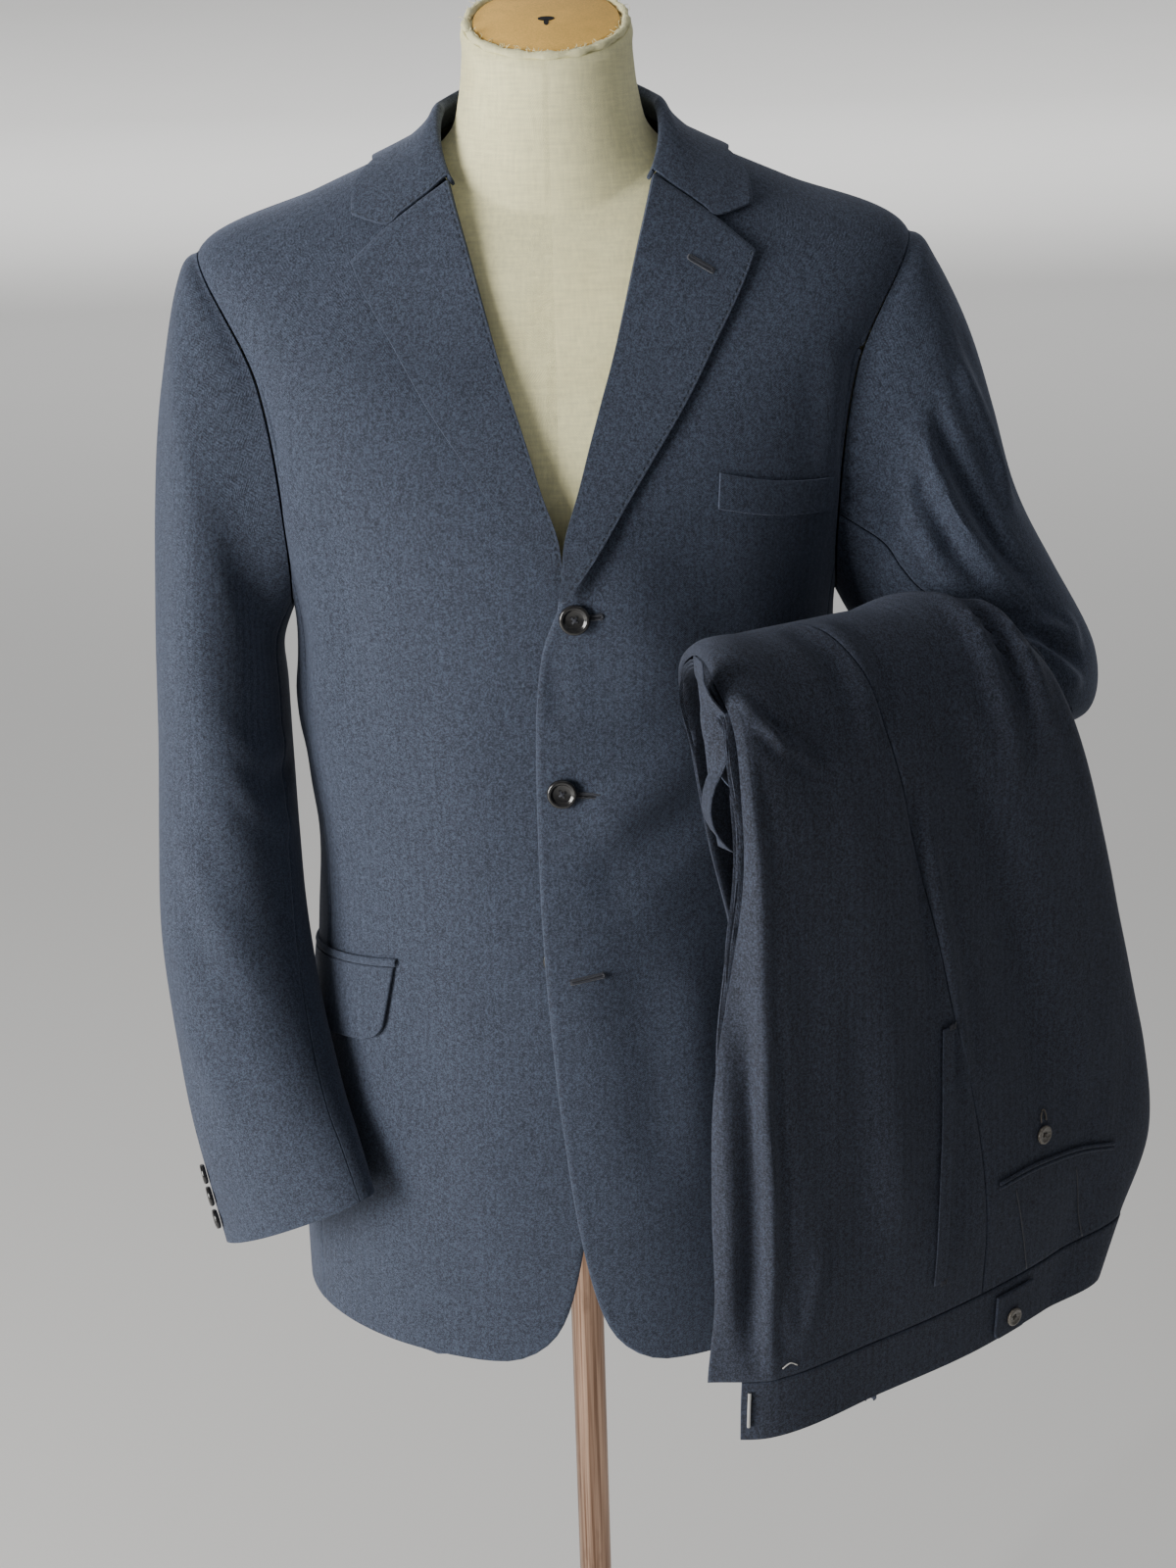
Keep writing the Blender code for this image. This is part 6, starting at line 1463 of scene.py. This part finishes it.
# ================================================================ form, buttons and thread
def ring_of_body(ring, clearance, sides):
    """A ring inside the jacket, anticlockwise seen from above."""
    turn = np.arange(sides) * 360.0 / sides
    level = np.full(sides, float(ring))
    return body_point(turn, level) - body_normal(turn, level) * (CLOTH + clearance)


def neck_ring(height, half_width, half_depth, middle_y, lean, sides):
    angle = np.radians(np.arange(sides) * 360.0 / sides)
    y = -half_depth * np.cos(angle)
    return np.stack([half_width * np.sin(angle), middle_y + y * math.cos(math.radians(lean)),
                     height + y * math.sin(math.radians(lean))], axis=1)


FORM_SIDES = 96
CAP_STEPS = ((SEAM_GAP, 1.0), (0.0020, 1.0), (0.0028, 0.992), (NECK_CAP_THICK + 0.0002, 0.975))
POLE_PROFILE = ((POLE_RADIUS, BASE_THICK + SEAM_GAP), (POLE_RADIUS, FORM_BOTTOM - SEAM_GAP))
BASE_PROFILE = ((BASE_RADIUS - 0.002, 0.0), (BASE_RADIUS, 0.0015), (BASE_RADIUS, 0.0080),
                (BASE_RADIUS - 0.0010, 0.0096), (BASE_RADIUS * 0.96, BASE_EDGE + 0.0047),
                (BASE_RADIUS * 0.8, 0.0183), (BASE_RADIUS * 0.5, BASE_THICK - 0.006),
                (0.045, 0.0290), (0.032, BASE_THICK - 0.0002), (0.024, BASE_THICK))


def make_torso(linen):
    """The linen cover, from the bottom of the form to the top of its neck."""
    clearance = np.array([[value] for value in FORM_CLEARANCE.values()])
    levels = np.linspace(0, len(clearance) - 1, 55)
    rings = [ring_of_body(RING_OF["seat"] + level, through_rows(clearance, level)[0], FORM_SIDES)
             for level in levels]
    rings[0][:, 2] = FORM_BOTTOM
    coarse = np.array([rings[-1]] + [neck_ring(*row, FORM_SIDES) for row in NECK_ROWS])
    places = np.linspace(0, len(coarse) - 1, 37)
    rings += list(through_rows(coarse.reshape(len(coarse), -1), places).reshape(37, -1, 3)[1:])
    stand_in("form_torso", "cover_", rings, linen, "linen")


def make_neck_cap(linen, card, dark):
    """The card cap on the neck, with its keyhole and the cover's raw edge round it."""
    top = NECK_ROWS[-1]
    lean = math.radians(top[4])
    up = np.array([0.0, -math.sin(lean), math.cos(lean)])
    side = np.array([0.0, math.cos(lean), math.sin(lean)])
    wide, deep = NECK_CAP_RADIUS
    rings = [neck_ring(top[0], wide * shrink, deep * shrink, top[3], top[4], FORM_SIDES) + up * rise
             for rise, shrink in CAP_STEPS]
    stand_in("form_neck_cap", "board_", rings, card, "card")
    middle = rings[-1].mean(axis=0) + up * 0.0002
    # The keyhole and its slot are thin plates of the dark finish on the cap: painted shade where the hole
    # goes in.
    for name, half_width, half_depth, count, back in (("form_keyhole", 0.0052, 0.0030, 24, 0.0),
                                                      ("form_keyhole_slot", 0.0016, 0.0046, 16, -0.0050)):
        hole = [neck_ring(0.0, half_width, half_depth, 0.0, top[4], count) + middle + side * back + up * rise
                for rise in (-0.0006, 0.0002)]
        tube_of_rings(name, hole, dark, "card")
    make_rim(linen, top, up)


def make_stand(metal, black):
    """The pole and the base, each turned from its profile."""
    for node, prefix, profile, finish, count, slot in (
            ("form_pole", "tube_", POLE_PROFILE, metal, 64, "bronze_pole"),
            ("form_base", "plate_", BASE_PROFILE, black, 128, "dark_iron")):
        angle = np.arange(count) * 2 * math.pi / count
        rings = [np.stack([radius * np.cos(angle), radius * np.sin(angle), np.full(count, z)], axis=1)
                 for radius, z in profile]
        stand_in(node, prefix, rings, finish, slot)


def make_form(linen, card, metal, black, dark):
    make_torso(linen)
    make_neck_cap(linen, card, dark)
    make_stand(metal, black)


RIM_SIDES = 120
RIM_RADIUS = 0.0026
RIM_FIBRES = 190


def make_rim(linen, top, up):
    """The cover's raw edge round the cap: a rolled lip with short loose threads."""
    chance = np.random.default_rng(5)
    centre_line = neck_ring(top[0], top[1] - RIM_RADIUS, top[2] - RIM_RADIUS, top[3], top[4], RIM_SIDES)
    outward = unit(centre_line - centre_line.mean(axis=0))
    rings = []
    for step in range(10):
        angle = 2 * math.pi * step / 10
        wobble = 1.0 + 0.20 * np.sin(np.arange(RIM_SIDES) * 0.9 + 1.0) + 0.15 * chance.normal(size=RIM_SIDES)
        rings.append(centre_line + up * 0.0016 + (outward * math.cos(angle) * RIM_RADIUS
                     + up * math.sin(angle) * 0.0024) * wobble[:, None])
    loop_mesh("cover_form_rim", np.array(rings).transpose(1, 0, 2), linen, "linen")
    fibres = []
    for _ in range(RIM_FIBRES):
        turn = chance.uniform(0, 2 * math.pi)
        index = int(turn / (2 * math.pi) * RIM_SIDES) % RIM_SIDES
        root = centre_line[index] + up * 0.0034 + outward[index] * chance.uniform(-0.002, 0.0016)
        way = unit(up * chance.uniform(0.4, 1.0) + outward[index] * chance.uniform(-0.9, 0.7)
                   + chance.normal(size=3) * 0.35)
        reach = chance.uniform(0.0012, 0.0042)
        bend = chance.normal(size=3) * 0.0007
        fibres.append([root, root + way * reach * 0.5 + bend, root + way * reach])
    strands("cover_form_fibres", fibres, 0.00016, linen, "linen")


def loop_mesh(name, rings, finish, slot):
    """A closed ring-shaped tube from sections (first axis round the loop)."""
    number = np.arange(rings[..., 0].size).reshape(rings.shape[:2])
    after, beside = np.roll(number, -1, axis=0), np.roll(number, -1, axis=1)
    faces = np.stack([number, beside, np.roll(after, -1, axis=1), after], axis=-1).reshape(-1, 4)
    mesh = new_mesh(name, rings.reshape(-1, 3).tolist(), faces.tolist(), finish)
    mesh.uv_layers.new(name="grain")
    add_piece(name, mesh, slot)


def strands(name, lines, radius, finish, slot, sides=5):
    """Many thin round threads as one mesh; each is a line of points."""
    vertices, faces = [], []
    for line in lines:
        line = np.asarray(line, float)
        way = unit(np.gradient(line, axis=0))
        side = unit(np.cross(way, np.where(np.abs(way[:, 2:]) < 0.9, UP, np.array([1.0, 0.0, 0.0]))))
        other = np.cross(way, side)
        start = len(vertices)
        for point, a, b in zip(line, side, other):
            for k in range(sides):
                turn = 2 * math.pi * k / sides
                vertices.append(point + (a * math.cos(turn) + b * math.sin(turn)) * radius)
        for level in range(len(line) - 1):
            low = start + level * sides
            for k in range(sides):
                n = (k + 1) % sides
                faces.append((low + k, low + n, low + sides + n, low + sides + k))
        faces.append(tuple(start + k for k in range(sides - 1, -1, -1)))
        faces.append(tuple(start + (len(line) - 1) * sides + k for k in range(sides)))
    add_piece(name, new_mesh(name, [tuple(v) for v in vertices], faces, finish), slot)


def facing_axes(facing, tilt=0.0):
    """Side and up axes of a small piece that looks along facing, turned by tilt degrees."""
    facing = unit(facing)
    side = unit(np.cross(UP if abs(facing[2]) < 0.9 else np.array([0.0, 1.0, 0.0]), facing))
    up = np.cross(facing, side)
    turn = math.radians(tilt)
    return side * math.cos(turn) + up * math.sin(turn), up * math.cos(turn) - side * math.sin(turn), facing


# Half section of a button, from the middle of its back to that of its face: radius and height as shares.
BUTTON_PROFILE = ((0.10, 0.00), (0.80, 0.00), (0.93, 0.10), (0.995, 0.36), (1.00, 0.60), (0.965, 0.84),
                  (0.90, 0.97), (0.83, 1.00), (0.76, 0.97), (0.70, 0.86), (0.64, 0.70), (0.55, 0.62),
                  (0.30, 0.58), (0.06, 0.57))
# A thread from hole to hole: share of its way, and its height as a share of the button's thickness.
THREAD_RISE = ((0, -0.05), (0.2, 0.16), (0.5, 0.20), (0.8, 0.16), (1, -0.05))


def make_button(name, place, facing, radius, thick, finish, dark, sewing, slot, tilt=0.0):
    """A button turned on a lathe: rounded back, raised rim and a dished face with four holes, sewn on."""
    side, up, out = facing_axes(facing, tilt)

    def circle(count):
        angle = np.arange(count) * 2 * math.pi / count
        return np.cos(angle)[:, None] * side + np.sin(angle)[:, None] * up

    outline = circle(56)
    stand_in(name, "turned_", [place + outline * radius * r + out * thick * h for r, h in BUTTON_PROFILE],
             finish, slot)
    centres = [place + (side * a + up * b) * (radius * 0.25) / math.sqrt(2) + out * thick * 0.585
               for a, b in ((1, 1), (-1, 1), (-1, -1), (1, -1))]
    # Each hole is a short closed tube of the dark finish: painted shade inside the hole.
    outline = circle(16)
    for number, centre in enumerate(centres):
        rings = [centre + outline * radius * 0.105 + out * thick * h for h in (-0.12, 0.03)]
        tube_of_rings("%s_hole_%d" % (name, number + 1), rings, dark, slot)
    lines = []
    for start, end in ((centres[0], centres[2]), (centres[1], centres[3])):
        for shift in (-1, 1):
            beside = unit(np.cross(end - start, out)) * radius * 0.035 * shift
            lines.append([start * (1 - share) + end * share + beside + out * thick * rise
                          for share, rise in THREAD_RISE])
    strands(name + "_thread", lines, radius * 0.032, sewing, slot)


# One stitch of a buttonhole: how far its points lie beside the loop, and how high.
STITCH = ((-0.0009, 0.00005), (-0.0003, 0.00075), (0.0005, 0.00070), (0.0011, 0.00005))


def make_buttonhole(name, centre, way, out, length, eye, sewing, dark):
    """A keyhole buttonhole: a ridge of close stitches round a slit drawn as a thin strand, with a bar tack
    at its end; with the dark finish the slit is painted shade.
    """
    way = unit(way)
    out = unit(out)
    side = np.cross(out, way)
    steps = np.linspace(0, 1, 25)
    upper = [centre + way * length * (s - 0.5) + side * 0.0011 for s in steps]
    turn = np.linspace(math.pi / 2, -math.pi / 2, 13)[1:-1]
    eye_centre = centre + way * (length * 0.5)
    rounded = [eye_centre + way * eye * math.cos(t) + side * eye * math.sin(t) for t in turn]
    lower = [centre + way * length * (0.5 - s) - side * 0.0011 for s in steps]
    loop = np.array(upper + rounded + lower)
    dense = along(np.concatenate([loop, loop[:1]]), int(len(loop) * 3.2), smooth=False)
    dense_out = unit(np.cross(np.gradient(dense, axis=0), out))
    threads = [[point + away * beside + out * rise for beside, rise in STITCH]
               for point, away in zip(dense, dense_out)]
    bar = centre - way * (length * 0.5 + 0.0006)
    for number in range(6):
        at = bar + way * (number - 2.5) * 0.00025
        threads.append([at - side * 0.0019, at + out * 0.0007, at + side * 0.0019])
    strands(name + "_stitches", threads, 0.00016, sewing, "jacket_wool", sides=4)
    # The slit is a thin strand of the given finish; the dark finish paints the shade in the cut.
    slit = [centre + way * length * (s - 0.5) + side * 0.0002 * math.sin(9 * s) + out * 0.0002
            for s in steps]
    slit_end = [eye_centre + way * eye * share + out * 0.0002 for share in (-0.2, 0.5)]
    strands(name + "_slit", [slit, slit_end], 0.00042, dark, "jacket_wool", 6)


# ================================================================ placing the small pieces
def body_place(x, z, lift):
    """A place on the left half of the jacket: its point and its outward normal."""
    return lifted(body_spot([(x, z)])[0], lift)


def make_buttons(black, grey, dark, sewing, brown_thread):
    for tilt, (name, (x, z)) in zip((8.0, -14.0, 20.0), FRONT_BUTTONS.items()):
        over = 0.0 if name == "bottom" else float(front_lift(np.array(x), np.array(z), True)) + 0.0002
        make_button("jacket_button_" + name, *body_place(x, z, over + SEAM_GAP), BUTTON_RADIUS,
                    BUTTON_THICK, black, dark, sewing, "black_horn", tilt)
    for side, rows, is_left in SLEEVES:
        angle, rings_up, ring_step = CUFF_BUTTONS[side]
        for number in range(3):
            spot = len(rows) - rings_up - ring_step * number
            point, normal = sleeve_point(rows, angle, spot), sleeve_normal(rows, angle, spot)
            if not is_left:
                point, normal = point * MIRROR, normal * MIRROR
            make_button("jacket_cuff_button_%s_%d" % (side, number + 1), point + normal * BUTTON_AIR,
                        normal, CUFF_BUTTON_RADIUS, CUFF_BUTTON_THICK, black, dark, sewing, "black_horn",
                        11.0 * number)
    for name, spot, air, tilt in (("tab", TAB_BUTTON, TAB_OUT + SEAM_GAP, 20.0),
                                  ("hip", drape_spot([HIP_BUTTON])[0], BUTTON_AIR, -12.0)):
        place, facing = drape_frame(*spot)
        make_button("trouser_%s_button" % name, place + facing * air, facing, TROUSER_BUTTON_RADIUS,
                    TROUSER_BUTTON_THICK, grey, dark, brown_thread, "grey_horn", tilt)


BUTTONHOLES = {
    "top":    ((0.009, 1.181), (0.022, 1.182)),
    "middle": ((-0.001, 1.063), (0.018, 1.061)),
    "bottom": ((-0.002, 0.936), (0.017, 0.940)),
}
LAPEL_HOLE = ((0.0965, 1.3800), (0.0830, 1.3880))


def make_buttonholes(sewing, dark):
    for name, (start, end) in BUTTONHOLES.items():
        x, z = (np.array(start) + end) / 2
        lift = float(front_lift(np.array(x), np.array(z), True)) + 0.0004
        way = body_place(*end, lift)[0] - body_place(*start, lift)[0]
        centre, out = body_place(x, z, lift)
        make_buttonhole("buttonhole_" + name, centre, way, out, float(np.linalg.norm(way)), 0.0016,
                        sewing, dark)
    start, end = (np.array(place) for place in LAPEL_HOLE)
    spots = body_spot(np.array([start, (start + end) / 2, end]))
    points, normals = lifted(spots, lapel_lift_at(spots) - 0.0002)
    way = points[2] - points[0]
    make_buttonhole("buttonhole_lapel", points[1], way, normals[1], float(np.linalg.norm(way)), 0.0011,
                    sewing, sewing)


def lapel_lift_at(spots):
    """Lift of the left lapel's face over the body, taken from the nearest points of its own net."""
    net_spots, lift = lapel_net(True)
    lift = np.broadcast_to(lift, net_spots.shape[:2])
    found = []
    for spot in spots:
        gap = ((net_spots[..., 0] - spot[0]) * 0.003) ** 2 + ((net_spots[..., 1] - spot[1]) * 0.06) ** 2
        found.append(lift.ravel()[np.argmin(gap)])
    return np.array(found)


def on_drape(spots, lift=0.0006, count=24):
    """A line of points on the drape through (station, level) places."""
    line = along(spots, count)
    points, normals = drape_frame(line[:, 0], line[:, 1])
    return points + normals * lift


DARTS = (((3.306, 2.236), (3.382, 1.749), (3.543, 1.050)), ((3.987, 2.105), (4.108, 1.551),
         (4.277, 1.050)))
ARMHOLE_SEAM_SUNK = 0.0028         # how far the middle of a seam's strand lies under the cloth
ARMHOLE_SEAM_RADIUS = 0.0025
WHITE_THREAD = ((1.065, 1.152), (1.129, 1.205), (1.190, 1.151))
HIP_LOOP = ((3.620, 2.800), (3.626, 2.860), (3.659, 2.925), (3.677, 2.860), (3.672, 2.800))


def make_sewn_lines(sewing, brown_thread, white_thread, wool_finish):
    tacks = []
    for end in along(POCKET_EDGE_LINE, 41)[[0, -1]]:
        for row in range(7):
            rise = (row - 3) * 0.0005
            spots = drape_spot([end + (-0.0045, rise), end + (0.0, rise), end + (0.0020, rise)])
            points, normals = drape_frame(spots[:, 0], spots[:, 1])
            tacks.append(points + normals * np.array([[0.0020], [0.0024], [0.0008]]))
    for name, lines, radius, finish, sides in (
            ("darts", [on_drape(line) for line in DARTS], 0.00042, sewing, 5),
            ("stray_thread", [on_drape(WHITE_THREAD, 0.0009)], 0.00045, white_thread, 5),
            ("hip_loop", [on_drape(HIP_LOOP, 0.0014)], 0.00055, brown_thread, 5),
            ("pocket_tacks", tacks, 0.00028, sewing, 4)):
        strands("trouser_" + name, lines, radius, finish, "trouser_wool", sides)
    loop = lifted(armhole_spot(np.linspace(0.0, 360.0, 181)), -ARMHOLE_SEAM_SUNK)[0]
    strands("armhole_seams", [loop, loop * MIRROR], ARMHOLE_SEAM_RADIUS, wool_finish, "jacket_wool", 10)


# The buckled edge of the inner leg, and the line that it falls from: along the fold and up.
BUCKLED_HEIGHTS = (1.1835, 1.0610)
BUCKLED_EDGE = ((-0.0436, 1.1891), (-0.0431, 1.1808), (-0.0425, 1.1724), (-0.0397, 1.1660),
                (-0.0363, 1.1605),
                (-0.0306, 1.1540), (-0.0250, 1.1480), (-0.0222, 1.1408), (-0.0215, 1.1341),
                (-0.0223, 1.1276),
                (-0.0238, 1.1219), (-0.0289, 1.1139), (-0.0348, 1.1067), (-0.0377, 1.0989),
                (-0.0386, 1.0905),
                (-0.0365, 1.0814), (-0.0322, 1.0735), (-0.0272, 1.0673), (-0.0236, 1.0639),
                (-0.0184, 1.0600))
BUCKLED_BACK = ((-0.0366, 1.1891), (-0.0366, 1.1804), (-0.0340, 1.1644), (-0.0315, 1.1399),
                (-0.0276, 1.1085),
                (-0.0222, 1.0699), (-0.0205, 1.0600))
BUCKLED_OUT = (0.010, 0.026)      # how far out its back line and its edge lie


def make_buckled_layer(finish):
    """The edge of the inner leg that shows in the open left end of the fold, bent to and fro."""
    heights = np.linspace(*BUCKLED_HEIGHTS, 81)
    edge, back = np.array(BUCKLED_EDGE)[::-1], np.array(BUCKLED_BACK)[::-1]
    edge_line = np.interp(heights, edge[:, 1], edge[:, 0])
    back_line = np.minimum(np.interp(heights, back[:, 1], back[:, 0]), edge_line + 0.0060)
    share = np.linspace(0, 1, 13)[None, :]
    along_it = back_line[:, None] * (1 - share) + edge_line[:, None] * share
    out = BUCKLED_OUT[0] + (BUCKLED_OUT[1] - BUCKLED_OUT[0]) * share + 0.0015 * np.sin(math.pi * share)
    points = drape_world(along_it, np.broadcast_to(out, along_it.shape), heights[:, None])[::-1]
    grain = np.stack([lengths(points, 1), lengths(points, 0)], axis=-1)
    if float(np.mean(net_normals(points) @ np.array([-1.0, -1.0, 0.0]))) < 0:
        points, grain = points[:, ::-1], grain[:, ::-1]
    layer = shell("cloth_trouser_buckled_layer", points, grain, finish, TRIM_WALL, slot="trouser_wool")
    state_cut(layer)


def make_bar_eye(metal):
    turn = np.radians(np.arange(20) * 18.0)[:, None]
    rings = []
    for level in np.linspace(*BAR_EYE_LEVELS, 17):
        place, facing = drape_frame(0.62, level)
        centre = place + facing * (BAND_OUT + BAR_EYE_RADIUS + 0.0004)
        rings.append(centre + BAR_EYE_RADIUS * (np.cos(turn) * DRAPE_ALONG + np.sin(turn) * -DRAPE_OUT))
    stand_in("trouser_bar_eye", "wire_", rings, metal, "steel")


# ================================================================ floor, light and camera
# Radius and height of the studio floor's rings: flat round the form, rising softly far away.
FLOOR_RINGS = ((3.0, 0.0), (12.0, 0.0), (18.0, 0.25), (23.0, 1.0), (27.0, 2.6), (30.0, 5.5))


CAMERA_PLACE = (0.012, -1.53, 1.58)
CAMERA_DOWN = 20.0    # degrees that it looks down
CAMERA_ROLL = 1.68    # degrees clockwise


def make_stage():
    floor = paint("studio_floor", (0.80, 0.79, 0.77))
    turn = np.radians(np.arange(64) * 360.0 / 64)
    vertices = [(0.0, 0.0, 0.0)]
    vertices += [(r * math.cos(t), r * math.sin(t), z) for r, z in FLOOR_RINGS for t in turn]
    faces = [(0, 1 + k, 1 + (k + 1) % 64) for k in range(64)]
    for ring in range(len(FLOOR_RINGS) - 1):
        low, high = 1 + 64 * ring, 65 + 64 * ring
        faces += [(low + k, high + k, high + (k + 1) % 64, low + (k + 1) % 64) for k in range(64)]
    link("studio_floor", new_mesh("studio_floor", vertices, faces, floor))


def make_light(name, place, target, size, power, colour):
    light = bpy.data.lights.new(name, "AREA")
    light.shape = "RECTANGLE"
    light.size, light.size_y = size
    light.energy = power
    light.color = colour
    way = np.array(target, float) - np.array(place, float)
    link(name, light).matrix_world = turn_matrix(look_turn(way, 0.0), place)


def look_turn(way, roll):
    """Right, up and back axes of something that looks along way, with a clockwise roll in degrees."""
    forward = unit(way)
    right = unit(np.cross(forward, UP))
    up = np.cross(right, forward)
    c, s = math.cos(math.radians(roll)), math.sin(math.radians(roll))
    return np.stack([right * c - up * s, up * c + right * s, -forward], axis=1)


def turn_matrix(turn, place):
    rows = [[*turn[k], place[k]] for k in range(3)] + [[0, 0, 0, 1]]
    return Matrix(rows)


def make_camera():
    camera = bpy.data.cameras.new("camera")
    camera.sensor_fit = "VERTICAL"
    camera.sensor_height = 36.0
    camera.sensor_width = 27.0
    camera.lens = 54.0
    body = link("camera", camera)
    down = math.radians(CAMERA_DOWN)
    way = np.array([0.0, math.cos(down), -math.sin(down)])
    body.matrix_world = turn_matrix(look_turn(way, CAMERA_ROLL), CAMERA_PLACE)
    bpy.context.scene.camera = body


def make_lights():
    make_light("key", (-2.75, -1.85, 1.45), (0.0, 0.0, 1.1), (1.6, 1.8), 200.0, (1.0, 0.985, 0.96))
    make_light("fill", (2.6, -2.2, 1.7), (0.0, 0.0, 1.0), (2.0, 2.0), 2.0, (0.93, 0.96, 1.0))
    make_light("top", (0.2, 0.3, 3.2), (0.0, 0.0, 1.2), (2.4, 2.0), 14.0, (1.0, 1.0, 1.0))
    make_light("far floor", (0.0, 9.0, 5.0), (0.0, 9.1, 0.0), (14.0, 9.0), 420.0, (1.0, 1.0, 1.0))
    make_light("backdrop", (0.0, 13.0, 8.0), (0.0, 27.0, 1.5), (24.0, 8.0), 2200.0, (1.0, 1.0, 1.0))
    world = bpy.data.worlds.new("studio")
    bpy.context.scene.world = world
    world.use_nodes = True
    shade = world.node_tree.nodes["Background"]
    shade.inputs["Color"].default_value = (0.90, 0.92, 0.95, 1.0)
    shade.inputs["Strength"].default_value = 0.19


def main():
    jacket_dark, jacket_light = (0.0060, 0.0095, 0.0200), (0.0560, 0.0750, 0.1170)
    trouser_dark, trouser_light = (0.0022, 0.0036, 0.0085), (0.0450, 0.0575, 0.0920)
    plain = wool("jacket_wool", jacket_dark, jacket_light)
    stitched = wool("lapel_wool", jacket_dark, jacket_light, stitched=(("from_right", 0.0020),))
    flap = wool("flap_wool", jacket_dark, jacket_light)
    trouser, band = (wool(name, trouser_dark, trouser_light, stripe=0.0031, sheen=0.10, ridge_share=0.06)
                     for name in ("trouser_wool", "band_wool"))
    lining = satin("lining_satin", (0.010, 0.012, 0.020))
    black = horn("black_horn", (0.006, 0.006, 0.007), (0.020, 0.019, 0.018), 0.22)
    grey = horn("grey_horn", (0.090, 0.080, 0.066), (0.230, 0.205, 0.175), 0.38, 420.0)
    # dark is painted shade: it fills the holes of the buttons, the slits of the buttonholes and the keyhole
    dark = painted_hollow_shade("hole_dark")
    sewing = thread("navy_thread", (0.030, 0.034, 0.050))
    brown_thread = thread("brown_thread", (0.120, 0.100, 0.080))
    white_thread = thread("white_thread", (0.720, 0.700, 0.660))
    linen = linen_cloth("cream_linen", (0.940, 0.890, 0.520))
    card = board("brown_card", (0.880, 0.520, 0.120))
    metal = bright_metal("steel_wire")

    make_body(plain, lining)
    make_lapels(stitched)
    make_collar(stitched)
    make_sleeves(plain, lining)
    make_pockets(flap)
    make_trousers(trouser, band)
    make_form(linen, card, bronze("bronze_tube"), iron("dark_iron"), dark)
    make_buttons(black, grey, dark, sewing, brown_thread)
    make_bar_eye(metal)
    make_buttonholes(sewing, dark)
    make_sewn_lines(sewing, brown_thread, white_thread, plain)
    make_buckled_layer(trouser)
    make_stage()
    make_camera()
    make_lights()


main()
